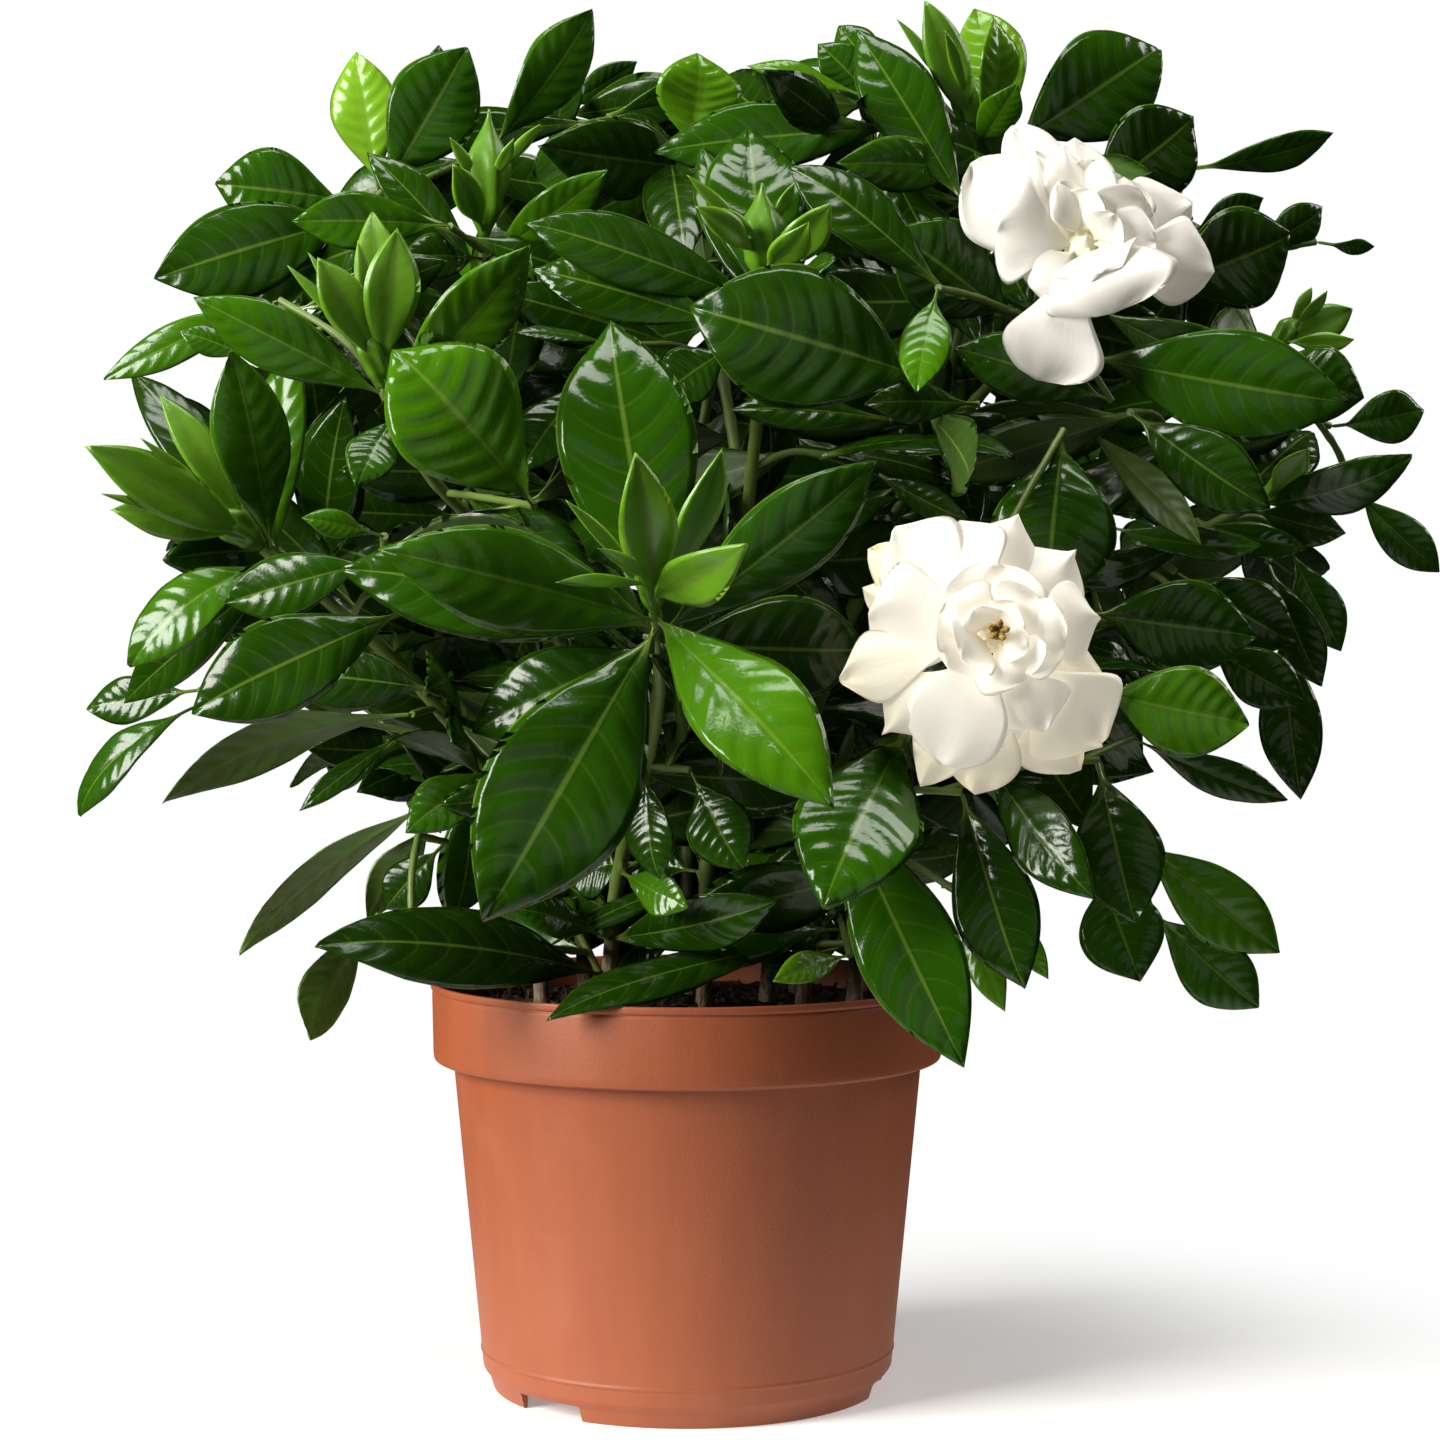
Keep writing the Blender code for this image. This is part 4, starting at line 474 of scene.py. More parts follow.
# A tip's young leaves and calyx teeth: where the first stands and the step to the next (young leaves in
# millimetres and a share of the bud's length, teeth in shares of it), then arch, fold and tone
YOUNG_ROOTS = (1.6, 0.10)
YOUNG_FORM = (0.06, 0.25, 0.95)
TOOTH_ROOTS = (0.30, 0.08)
TOOTH_FORM = (0.05, 0.1, 1.0)
TOOTH_WIDTH = 5.0
TOOTH_TURN = 20

# Whorls of the back and side shoots: leaves a shoot, their lengths in millimetres and how these vary, how far
# in degrees they open from the shoot's axis, where the first stands under its end and the step to the next in
# millimetres, the turn to the next in radians, the width as a share of the length, and the arch
WHORL_LEAVES = 7
WHORL_LENGTHS = (62.0, 98.0)
WHORL_VARIES = (0.88, 1.08)
WHORL_OPENING = (28.0, 118.0)
WHORL_FIRST = 1.5
WHORL_PITCH = 2.6
WHORL_TURN = 2.4
WHORL_PROPORTIONS = (0.34, 0.42)
WHORL_ARCH = 0.06

# Fillers: the crown's outline and the grid over it in photograph pixels, then the leaves' nearness, lengths
# and reach in millimetres, turn in degrees, width as a share of the length, arch and tone, the roots and
# tries that each has, and how many of its corners may stand in front of what the photograph shows
CROWN_CENTRE = (745, 470)
CROWN_SPAN = (570, 400)
CROWN_STEP = 44
FILL_NEAR = (-25.0, 55.0)
FILL_LENGTHS = (70.0, 95.0)
FILL_REACH = 38.0
FILL_TURN = 30
FILL_PROPORTION = 0.37
FILL_ARCH = 0.05
FILL_TONE = 0.04
FILL_ROOTS = 12
FILL_TRIES = 30
FRONT_CORNERS = 1
LEVEL_PULL = 0.2

# How far past the crown's outline a leaf may show, and how a whorl's leaf is shortened step by step until it
# no longer does
OUTLINE_EASE = 1.05
SHORTENINGS = 7
SHORTENED = 0.9

# Bending a leaf clear of its neighbours: the tries that it has, how far in millimetres its tip may move in
# the end, by its kind, and how much its turn, its arch and its width may change by then
TRIES = 60
SEEN_SHIFT = 24.0
YOUNG_SHIFT = 16.0
TOOTH_SHIFT = 12.0
WHORL_SHIFT = 30.0
MOST_SPIN = 0.9
MOST_ARCH = 0.25
MOST_NARROWING = 0.25

# Stations along a blade, as shares of its length past the petiole, by its kind and width in millimetres
WIDE_LEAF_STATIONS = (0.24, 0.52, 0.80)
LEAF_STATIONS = (0.32, 0.70)
SMALL_LEAF_STATIONS = (0.5,)
PETAL_STATIONS = (0.42, 0.82)
WIDE_LEAF = 30.0
SMALL_LEAF = 15.5

# Outlines of blades: the power that moves the widest place towards the tip, and how blunt the ends are
OUTLINES = {
    "leaf": (1.20, 0.86),
    "petal": (1.65, 0.60),
    "point": (1.90, 1.30),
    "oval": (1.15, 0.60),
    "fan": (2.40, 0.50),
    "cup": (1.25, 0.42),
}

# Sides of stems, branches and twigs
TRUNK_SIDES = 6
BRANCH_SIDES = 5
TWIG_SIDES = 4

# Twigs: how near to a stem a leaf needs none and how short one is straight, in millimetres, how much a start
# above the leaf counts against it, the sway of the middle as a share of the length and the try that has all
# of it, and how much the end still runs on from the start
NEAR_ENOUGH = 3.0
SHORT_TWIG = 26.0
HIGH_START = 0.8
SWAY = 0.22
SWAY_TRIES = 12
RUN_ON = 1.2


def bezier(points, t):
    """A point on a cubic curve through four control points."""
    a, b, c, d = points
    s = 1.0 - t
    return a * s ** 3 + b * (3 * s * s * t) + c * (3 * s * t * t) + d * t ** 3


def slope(points, t):
    """The direction of the same curve."""
    a, b, c, d = points
    s = 1.0 - t
    return ((b - a) * (s * s) + (c - b) * (2 * s * t) + (d - c) * (t * t)).normalized()


def facing(root, tip, turn):
    """The way a blade's upper side looks: at the viewer as far as its axis lets it, then turned about it."""
    axis = (tip - root).normalized()
    view = (VIEWER - (root + tip) / 2).normalized()
    flat = view - axis * view.dot(axis)
    if flat.length < EDGE_ON:
        flat = Vector((0, 0, 1)) - axis * axis.z
    return Matrix.Rotation(math.radians(turn), 3, axis) @ flat.normalized()


def half_width(shape, t):
    """Half of the outline's width at a share of the length, for a blade one unit wide."""
    power, bluntness = OUTLINES[shape]
    return 0.5 * math.sin(math.pi * min(t, 1.0) ** power) ** bluntness


def midrib(leaf):
    """The four control points of a blade's arched midrib."""
    along = leaf.tip - leaf.root
    lift = leaf.face * (leaf.arch * along.length * ARCH_REACH)
    return leaf.root, leaf.root + along / 3 + lift, leaf.root + along * (2 / 3) + lift, leaf.tip


def neck_of(leaf):
    """The share of a blade's length that its petiole or a petal's foot takes."""
    return (PETIOLE if leaf.shape == "leaf" else PETAL_FOOT) / (leaf.tip - leaf.root).length


def stations_of(leaf):
    """Where a blade's cross-sections lie, as shares of its whole length."""
    if leaf.width < SMALL_LEAF:
        body = SMALL_LEAF_STATIONS
    elif leaf.shape != "leaf":
        body = PETAL_STATIONS
    else:
        body = WIDE_LEAF_STATIONS if leaf.width >= WIDE_LEAF else LEAF_STATIONS
    neck = neck_of(leaf)
    spans = [neck + (1.0 - neck) * t for t in body]
    return (spans if leaf.lead else [neck] + spans), neck


def lead_rings(leaf, neck, side, grow):
    """The cross-sections of a blade's twig up to the blade's base, in step with the blade's first one."""
    rings = []
    path = leaf.lead + (leaf.root, neck)
    for index in range(len(path) - 2, 0, -1):
        before = (path[index] - path[index - 1]).normalized()
        after = (path[index + 1] - path[index]).normalized()
        along = (before + after).normalized()
        side = (side - along * side.dot(along)).normalized()
        up = side.cross(along)
        half = TWIG_RADIUS + grow
        rings.insert(0, [path[index] + side * half, path[index] + up * half,
                         path[index] - side * half, path[index] - up * half])
    return rings


def blade_mesh(leaf, grow=0.0):
    """Points and triangles of a blade: a lens whose two faces share their outline and are split alike."""
    curve = midrib(leaf)
    spans, neck = stations_of(leaf)
    rings = []
    if leaf.lead:
        side = slope(curve, spans[0]).cross(leaf.face).normalized()
        rings = lead_rings(leaf, bezier(curve, spans[0]), side, grow)
    for index, t in enumerate(spans):
        centre = bezier(curve, t)
        along = slope(curve, t)
        side = along.cross(leaf.face).normalized()
        up = side.cross(along)
        if t == neck:
            half = PETIOLE_THICKNESS / 2
            thick = PETIOLE_THICKNESS / 2
            lift = 0.0
            wave = 0.0
        else:
            share = (t - neck) / (1.0 - neck)
            half = leaf.width * half_width(leaf.shape, share)
            thick = BLADE_THICKNESS / 2
            lift = leaf.fold * half
            wave = leaf.width * BLADE_WAVE * math.sin(index * WAVE_STEP + leaf.width)
        half += grow
        thick += grow
        rings.append([centre + side * half + up * (lift + wave), centre + up * thick,
                      centre - side * half + up * (lift - wave), centre - up * thick])
    points = [leaf.lead[0].copy() if leaf.lead else leaf.root.copy()]
    points += [corner for ring in rings for corner in ring]
    points.append(leaf.tip + slope(curve, 1.0) * grow)
    last = len(points) - 1
    triangles = []
    for edge in (0, 2):
        for middle in (1, 3):
            triangles.append((0, 1 + edge, 1 + middle))
            for index in range(len(rings) - 1):
                here = 1 + 4 * index
                there = here + 4
                triangles.append((here + edge, here + middle, there + middle))
                triangles.append((here + edge, there + middle, there + edge))
            triangles.append((last, last - 4 + edge, last - 4 + middle))
    return points, triangles


def tube_mesh(path, radii, sides, grow=0.0):
    """Points and faces of a closed tube with flat ends along a path."""
    points = []
    faces = []
    across = None
    for index, centre in enumerate(path):
        before = path[max(index - 1, 0)]
        after = path[min(index + 1, len(path) - 1)]
        along = (after - before).normalized()
        if across is None:
            across = along.orthogonal().normalized()
        across = (across - along * across.dot(along)).normalized()
        other = along.cross(across)
        for step in range(sides):
            angle = 2 * math.pi * step / sides
            outward = across * math.cos(angle) + other * math.sin(angle)
            points.append(centre + outward * (radii[index] + grow))
    for ring in range(len(path) - 1):
        for step in range(sides):
            a = ring * sides + step
            b = ring * sides + (step + 1) % sides
            faces.append((a, b, b + sides, a + sides))
    faces.append(tuple(range(sides))[::-1])
    faces.append(tuple(range(len(points) - sides, len(points))))
    return points, faces


def twig_mesh(path, grow=0.0):
    """Points and faces of a twig along a path."""
    return tube_mesh(path, [TWIG_RADIUS] * len(path), TWIG_SIDES, grow)


def free_start(leaf):
    """The first point of a blade that has to clear its own node too: past its twig and its petiole."""
    return 1 + 4 * max(1, len(leaf.lead))


def place(owner, mesh, free_from=0):
    """A solid that others have to clear. Its free part leaves out the faces next to its root."""
    points, faces = mesh
    free = [f for f in faces if min(f) >= free_from]
    return Placed(
        owner,
        BVHTree.FromPolygons(points, faces),
        BVHTree.FromPolygons(points, free),
        Vector([min(p[k] for p in points) for k in range(3)]),
        Vector([max(p[k] for p in points) for k in range(3)]),
    )


def boxes_meet(one, other):
    """Whether the boxes round two solids overlap."""
    return all(one.low[k] <= other.high[k] and other.low[k] <= one.high[k] for k in range(3))


def is_clear(item, placed):
    """Whether a solid crosses nothing of another node, and its free part nothing of its own."""
    for other in placed:
        if boxes_meet(item, other):
            if item.owner != other.owner:
                if item.full.overlap(other.full):
                    return False
            elif item.free.overlap(other.free):
                return False
    return True


def drift(draw, most=1.0):
    """A random step of up to so much along each axis."""
    return Vector([draw.uniform(-most, most) for k in range(3)])


def settle(owner, leaf, draw, placed, blades, tries, reach):
    """Adds the leaf as it is where that is clear, or else bent clear step by step, and returns it, or None."""
    for turn in range(tries):
        share = turn / tries
        amount = share * reach
        axis = (leaf.tip - leaf.root).normalized()
        if turn == 0:
            trial = leaf
        else:
            shift = drift(draw) * amount
            spin = Matrix.Rotation(draw.uniform(-1, 1) * share * MOST_SPIN, 3, axis)
            trial = leaf._replace(
                tip=leaf.tip + shift,
                face=spin @ leaf.face,
                arch=leaf.arch + draw.uniform(-0.5, 0.5) * share * MOST_ARCH,
                width=leaf.width * (1.0 - MOST_NARROWING * share),
            )
        item = place(owner, blade_mesh(trial, CLEARANCE), free_start(trial))
        if is_clear(item, placed):
            placed.append(place(owner, blade_mesh(trial), free_start(trial)))
            blades[owner].append(trial)
            return trial
    return None


def trunk_paths():
    """The centre lines of every stem and branch, by the shoot that each leads to."""
    paths = {}
    firsts = {}
    for name, shoot in SHOOTS.items():
        axis = shoot.axis.normalized()
        neck = shoot.at - axis * STRAIGHT_END
        if shoot.stem not in firsts:
            x, near = ROOTS[shoot.stem]
            foot = Vector((x, -near, SOIL_TOP - HOLE_DEPTH + GAP))
            start = Vector((x, -near, SOIL_TOP + STEM_REST))
            away = (shoot.at - start).length
            knee = start + Vector((0, 0, TRUNK_PULL * away))
            curve = (start, knee, shoot.at - axis * (END_PULL * away), neck)
            path = [foot] + [bezier(curve, k / 6) for k in range(7)] + [shoot.at]
            firsts[shoot.stem] = path
        else:
            trunk = firsts[shoot.stem]
            place_on = FORKS[name] * (len(trunk) - 1)
            index = int(place_on)
            start = trunk[index].lerp(trunk[index + 1], place_on - index)
            along = (trunk[index + 1] - trunk[index]).normalized()
            away = (shoot.at - start).length
            knee = start + along * (BRANCH_PULL * away)
            curve = (start, knee, shoot.at - axis * (END_PULL * away), neck)
            path = [bezier(curve, k / 4) for k in range(5)] + [shoot.at]
        paths[name] = path
    return paths


def radii_along(path, first, last):
    """A radius for each point of a path, in even steps from the first to the last."""
    return [first + (last - first) * k / (len(path) - 1) for k in range(len(path))]


def back_from_end(path, distance):
    """The point on a path at a distance from its end."""
    for index in range(len(path) - 1, 0, -1):
        step = (path[index] - path[index - 1]).length
        if distance <= step:
            return path[index].lerp(path[index - 1], distance / step)
        distance -= step
    return path[0].copy()


def samples(path, step=6.0):
    """Points every few millimetres along a path, with the way it runs there."""
    found = []
    for a, b in zip(path, path[1:]):
        count = max(1, int((b - a).length / step))
        found += [(a.lerp(b, k / count), (b - a).normalized()) for k in range(count)]
    return found


def off_axis(draw):
    """A small step off a stem's centre line, so that no two roots meet in one point."""
    return drift(draw, ROOT_SPREAD)


def grow_twig(owner, base, tip, skeleton, placed, draw):
    """A curved twig from the stem's nearest part to a leaf's base, clear of the other stems."""
    starts = sorted(skeleton, key=lambda s: (s[0] - base).length + max(0.0, s[0].z - base.z) * HIGH_START)
    if (starts[0][0] - base).length < NEAR_ENOUGH:
        return (), starts[0][0] + off_axis(draw)
    for turn in range(TRIES):
        start, along = starts[min(len(starts) - 1, turn * 2)]
        start = start + off_axis(draw)
        away = (base - start).length
        sway = drift(draw) * (SWAY * away * min(1.0, turn / SWAY_TRIES))
        knee = start + along * (TWIG_PULL * away) + sway
        arriving = ((tip - base).normalized() + (base - start).normalized() * RUN_ON).normalized()
        curve = (start, knee, base - arriving * (END_PULL * away) + sway * 0.5, base)
        count = 1 if away < SHORT_TWIG else 2
        path = [bezier(curve, k / count) for k in range(count + 1)]
        item = place(owner, twig_mesh(path, CLEARANCE))
        if all(other.owner == owner or not boxes_meet(item, other) or not item.full.overlap(other.full)
               for other in placed):
            return tuple(path[:-1]), base
    return None


def petals_of(shoot, rows):
    """The blades of a bloom, its middle, and the way that it looks."""
    front = shoot.axis.normalized()
    centre = shoot.at + front * CORE_MIDDLE
    leaves = []
    for (right, upward, near), depth, width, arch, turn, fold, age, outline in rows:
        tip = centre + Vector((right, -near, upward))
        outward = tip - centre
        outward = (outward - front * outward.dot(front)).normalized()
        root = centre + outward * PETAL_ROOT + front * depth
        leaves.append(Leaf((), root, tip, facing(root, tip, turn), width, arch, fold, age, outline))
    return leaves, centre, front


def raise_stems(paths, tubes, placed, skeleton):
    """The stems and branches, and the points along them from which twigs may start."""
    begun = set()
    for name, path in paths.items():
        stem = SHOOTS[name].stem
        first = TRUNK_RADIUS if stem not in begun else BRANCH_RADIUS
        radii = radii_along(path, first, SHOOT_RADIUS)
        begun.add(stem)
        sides = TRUNK_SIDES if first == TRUNK_RADIUS else BRANCH_SIDES
        tubes[stem].append((path, radii, sides))
        placed.append(place(stem, tube_mesh(path, radii, sides)))
        skeleton[stem] += samples(path[2:] if first == TRUNK_RADIUS else path)


def open_blooms(tubes, blades, placed):
    """The petals of each bloom and the core that carries them."""
    for bloom, rows in BLOOMS.items():
        leaves, centre, front = petals_of(SHOOTS[bloom], rows)
        blades[bloom] = leaves
        core = [SHOOTS[bloom].at + front * GAP, centre + front * CORE_HALF]
        tubes[bloom] = [(core, [CORE_FOOT_RADIUS, CORE_RADIUS], CORE_SIDES)]
        placed.append(place(bloom, tube_mesh(*tubes[bloom][0])))
        placed += [place(bloom, blade_mesh(leaf), free_start(leaf)) for leaf in leaves]


def grow_tips(tubes, blades, placed, draw):
    """The bud of each young tip, its young leaves and its calyx teeth."""
    for tip, (name, length, radius, teeth, young) in YOUNG_TIPS.items():
        shoot = SHOOTS[name]
        axis = shoot.axis.normalized()
        start = shoot.at + axis * GAP
        bud = [start + axis * (share * length) for share in BUD_STATIONS]
        radii = [BUD_FOOT_RADIUS, radius * BUD_SHOULDER, radius, BUD_POINT_RADIUS]
        tubes[tip] = [(bud, radii, BUD_SIDES)]
        blades[tip] = []
        placed.append(place(tip, tube_mesh(*tubes[tip][0])))
        for index, (spot, width, turn) in enumerate(young):
            root = start + axis * (YOUNG_ROOTS[0] + YOUNG_ROOTS[1] * length * index)
            end = sight(*spot)
            leaf = Leaf((), root, end, facing(root, end, turn), width, *YOUNG_FORM, "leaf")
            settle(tip, leaf, draw, placed, blades, TRIES, YOUNG_SHIFT)
        for index, spot in enumerate(teeth):
            root = start + axis * (length * (TOOTH_ROOTS[0] + TOOTH_ROOTS[1] * index))
            end = sight(*spot)
            leaf = Leaf((), root, end, facing(root, end, TOOTH_TURN), TOOTH_WIDTH, *TOOTH_FORM, "leaf")
            settle(tip, leaf, draw, placed, blades, TRIES, TOOTH_SHIFT)


def grow_seen_leaves(paths, skeleton, blades, placed, draw):
    """The leaves that the photograph shows, once all of their twigs stand."""
    waiting = []
    for stem, shoot_name, rows in SEEN_LEAVES:
        for base, end, width, arch, turn, tone in rows:
            lead = ()
            if isinstance(base, int):
                root = back_from_end(paths[shoot_name], base * WHORL_STEP) + off_axis(draw)
            else:
                twig = grow_twig(stem, sight(*base), sight(*end), skeleton[stem], placed, draw)
                if twig is None:
                    continue
                lead, root = twig
                if lead:
                    path = lead + (root,)
                    placed.append(place(stem, twig_mesh(path)))
                    skeleton[stem] += samples(path)
            waiting.append((stem, lead, root, sight(*end), width, arch, turn, tone))
    for stem, lead, root, tip, width, arch, turn, tone in waiting:
        leaf = Leaf(lead, root, tip, facing(root, tip, turn), width, arch, LEAF_FOLD, tone, "leaf")
        settle(stem, leaf, draw, placed, blades, TRIES * 2, SEEN_SHIFT)


def whorl(shoot, path, blades, placed, draw):
    """The leaves of a back shoot, young upright ones inside and long drooping ones outside."""
    axis = shoot.axis.normalized()
    across = axis.orthogonal().normalized()
    start = draw.uniform(0, 2 * math.pi)
    for index in range(WHORL_LEAVES):
        share = index / (WHORL_LEAVES - 1)
        root = back_from_end(path, WHORL_FIRST + WHORL_PITCH * index) + off_axis(draw)
        opening = math.radians(WHORL_OPENING[0] + (WHORL_OPENING[1] - WHORL_OPENING[0]) * share)
        angle = start + index * WHORL_TURN
        outward = Matrix.Rotation(angle, 3, axis) @ across
        way = axis * math.cos(opening) + outward * math.sin(opening)
        length = WHORL_LENGTHS[0] + (WHORL_LENGTHS[1] - WHORL_LENGTHS[0]) * min(1.0, share * 1.6)
        length *= draw.uniform(*WHORL_VARIES)
        for trial in range(SHORTENINGS):
            if inside_crown(root + way * length):
                break
            length *= SHORTENED
        tip = root + way * length
        face = axis * 0.9 + Vector((0, 0, 0.7))
        face = (face - way * face.dot(way)).normalized()
        width = length * draw.uniform(*WHORL_PROPORTIONS)
        leaf = Leaf((), root, tip, face, width, WHORL_ARCH, LEAF_FOLD, 0.45 - 0.4 * share, "leaf")
        settle(shoot.stem, leaf, draw, placed, blades, TRIES, WHORL_SHIFT)


def in_front(leaf, shown):
    """How many of a blade's corners lie in front of something that the photograph shows."""
    count = 0
    for corner in blade_mesh(leaf)[0][free_start(leaf):]:
        ray = corner - VIEWER
        for item in shown:
            distance = item.full.ray_cast(VIEWER, ray.normalized())[3]
            if distance and distance > ray.length + 1.0:
                count += 1
                break
    return count


def inside_crown(point):
    """Whether a point shows within the crown's outline."""
    scale = VIEW_FOCAL / (VIEW_DISTANCE + point.y)
    column = FRAME / 2 + (point.x - VIEW_SIDE) * scale - CROWN_CENTRE[0]
    row = VIEW_HORIZON - (point.z - VIEW_HEIGHT) * scale - CROWN_CENTRE[1]
    return math.hypot(column / CROWN_SPAN[0], row / CROWN_SPAN[1]) < OUTLINE_EASE


def off_reach(root, point, reach):
    """How badly a root suits a leaf that has to cover a point: off its reach, or off its level."""
    return abs((root - point).length - reach) + abs(root.z - point.z) * LEVEL_PULL


def fill_gaps(skeleton, blades, placed, draw):
    """Dark inner leaves, where the crown would let the light straight through to the viewer."""
    places = []
    for row in range(-CROWN_SPAN[1], CROWN_SPAN[1], CROWN_STEP):
        for column in range(-CROWN_SPAN[0], CROWN_SPAN[0], CROWN_STEP):
            if math.hypot(row / CROWN_SPAN[1], column / CROWN_SPAN[0]) < 1.0:
                places.append((CROWN_CENTRE[0] + column, CROWN_CENTRE[1] + row))
    draw.shuffle(places)
    roots = [(stem, point) for stem in skeleton for point, along in skeleton[stem]]
    shown = list(placed)
    for px, py in places:
        point = sight(px, py, draw.uniform(*FILL_NEAR))
        ray = (point - VIEWER).normalized()
        if any(item.full.ray_cast(VIEWER, ray)[0] for item in placed):
            continue
        near_roots = sorted(roots, key=lambda r: off_reach(r[1], point, FILL_REACH))
        for stem, root in near_roots[:FILL_ROOTS]:
            length = draw.uniform(*FILL_LENGTHS)
            base = root + off_axis(draw)
            tip = base + (point - base).normalized() * length
            face = facing(base, tip, draw.uniform(-FILL_TURN, FILL_TURN))
            leaf = Leaf((), base, tip, face, length * FILL_PROPORTION, FILL_ARCH, LEAF_FOLD, FILL_TONE, "leaf")
            if not inside_crown(tip) or in_front(leaf, shown) > FRONT_CORNERS:
                continue
            if settle(stem, leaf, draw, placed, blades, FILL_TRIES, SEEN_SHIFT):
                break


def lay_out():
    """Every tube and blade by node: photograph leaves first, then the rule's whorls, all bent clear."""
    draw = random.Random(SEED)
    tubes = {stem: [] for stem in ROOTS}
    blades = {stem: [] for stem in ROOTS}
    skeleton = {stem: [] for stem in ROOTS}
    placed = []
    paths = trunk_paths()
    raise_stems(paths, tubes, placed, skeleton)
    open_blooms(tubes, blades, placed)
    grow_tips(tubes, blades, placed, draw)
    grow_seen_leaves(paths, skeleton, blades, placed, draw)
    for name, shoot in SHOOTS.items():
        if name.startswith(("back", "side")):
            whorl(shoot, paths[name], blades, placed, draw)
    fill_gaps(skeleton, blades, placed, draw)
    return tubes, blades, placed, skeleton


# The fine blades: rings along a blade and columns across it, the pairs of side veins that its rings follow and
# their slant, by kind of blade, and how much of a grown leaf's quilting a young one has
VEIN_PAIRS = 9
RINGS_A_VEIN = 4
STALK_RINGS = 3
LEAF_COLUMNS = 14
YOUNG_RINGS = 22
YOUNG_COLUMNS = 8
PETAL_RINGS = 26
PETAL_COLUMNS = 16
VEIN_SLANT = 0.17
INNER_RINGS_A_VEIN = 2
INNER_COLUMNS = 6
YOUNG_QUILTING = 0.6

# Facets round the pot and the soil, round a drain hole and round a stem, and the soil's rings
POT_FACETS = 144
DRAIN_FACETS = 32
STEM_FACETS = 10
SOIL_RINGS = 40

# The angle in degrees from which an edge of the pot is sharp, and in millimetres how far a cutter reaches past
# what it cuts, and half the height of the moulded ring at its foot and at its top
POT_SHARP = 32.0
CUT_PAST = 2.0
RING_FOOT = 0.9
RING_TOP = 0.3

# The step between the leaf scars of a stem in metres, and how high a bud's ribs stand as a share of its radius
SCAR_STEP = 0.017
RIB_HEIGHT = 0.13

# The corners of a bark chip in millimetres, and the faces of any box whose corners go round its low end and
# then round its high end
CHIP_CORNERS = [(-3.2, -1.2, -0.5), (2.6, -1.4, -0.6), (3.0, 1.0, -0.4), (-2.4, 1.3, -0.5),
                (-2.6, -0.9, 0.7), (2.2, -0.7, 0.6), (2.4, 0.8, 0.5), (-2.8, 0.9, 0.6)]
BOX_FACES = [(0, 1, 2, 3), (4, 5, 6, 7), (0, 1, 5, 4), (1, 2, 6, 5), (2, 3, 7, 6), (3, 0, 4, 7)]

# The green foot of a bud and of a bloom: how far it reaches, as a share of a bud's first stretch and of a core,
# and how much a bloom's foot flares
STUB_SHARE = 0.6
NECK_SHARE = 0.35
NECK_FLARE = 1.2

# How strongly each bloom's petals glow: painted light that lifts their shade, set stronger on the front bloom
BLOOM_PAINTED_GLOW = {"bloom_front": 0.29, "bloom_upper": 0.12}

# The stage: the floor's half width in millimetres, its glow and where it fades into the white in metres, the
# tint of the light from all round, the lamps' colour, and each lamp's size, place and aim in metres
FLOOR_HALF = 3000
FLOOR_GLOW = 0.26
FLOOR_FADE = (0.12, 0.38)
SKY_COLOUR = (1.0, 0.98, 0.84)
LAMP_COLOUR = (1.0, 0.975, 0.925)
LAMPS = {
    "key": ((0.8, 0.9), (-1.32, -0.76, 0.74), (0.0, 0.0, 0.25)),
    "overhead": ((0.9, 0.5), (-0.10, -0.35, 1.40), (0.0, 0.0, 0.30)),
    "front": ((1.0, 1.0), (0.25, -1.60, 0.30), (0.0, 0.0, 0.26)),
    "edge": ((0.4, 0.7), (1.15, 0.25, 1.00), (0.0, 0.0, 0.32)),
}

# The crown that inner leaves fill: its middle and half sizes in millimetres, the height under which it is only
# as wide as the pot, how far it stays over the rim, the ways that it is looked through as turn and height in
# degrees, the shares of it that are filled and that a leaf stays in, and the span and step of the lines of
# sight (fine in the front view)
CROWN_MIDDLE = Vector((20, 8, 322))
CROWN_HALF = Vector((236, 198, 192))
CROWN_LOW = 186.0
RIM_CLEARANCE = 4.0
CROWN_VIEWS = ((0, -3), (60, 8), (-60, 8), (120, 8), (-120, 8), (180, 8), (30, 12), (-30, 12), (0, 60),
               (180, 60))
CROWN_SHARE = 0.86
CROWN_EDGE = 0.97
SIGHT_SPAN = 240
SIGHT_STEP = 16
SIGHT_FINE = 8

# Inner leaves: how far along the line of sight they are tried, their lengths, their reach and the distance that
# needs a twig in millimetres, width as a share of the length, turn in degrees, arch and tones, the tries of a
# line of sight (more in the front view) and of bending a leaf clear with how far that moves its tip, the roots
# that are tried and how far above the soil they stand, and the most leaves that grow. The last two say how
# deep a leaf still counts as shown in the photograph, and how many corners before such leaves rule one out.
INNER_DEPTH = 75.0
INNER_LENGTHS = (56.0, 86.0)
INNER_REACH = 34.0
INNER_LONG_REACH = 62.0
INNER_PROPORTIONS = (0.34, 0.42)
INNER_TURN = 35
INNER_ARCH = 0.05
INNER_TONES = (0.0, 0.12)
INNER_TRIES = 6
FRONT_TRIES = 18
INNER_BENDS = 12
INNER_SHIFT = 16.0
INNER_ROOTS = 7
INNER_ABOVE_SOIL = 22.0
INNER_MOST = 350
SHOWN_DEPTH = 40.0
HIDING_CORNERS = 2


def is_vector(term):
    """Whether a term of an expression has three parts."""
    if isinstance(term, Value):
        return term.socket.type in ("VECTOR", "RGBA")
    return isinstance(term, (tuple, Vector))


def operator(operation, reflected=False):
    """A method for one of Python's operators, which adds the Math or Vector Math node of that operation."""
    def work(self, other):
        return self.maker.math(operation, *((other, self) if reflected else (self, other)))

    return work


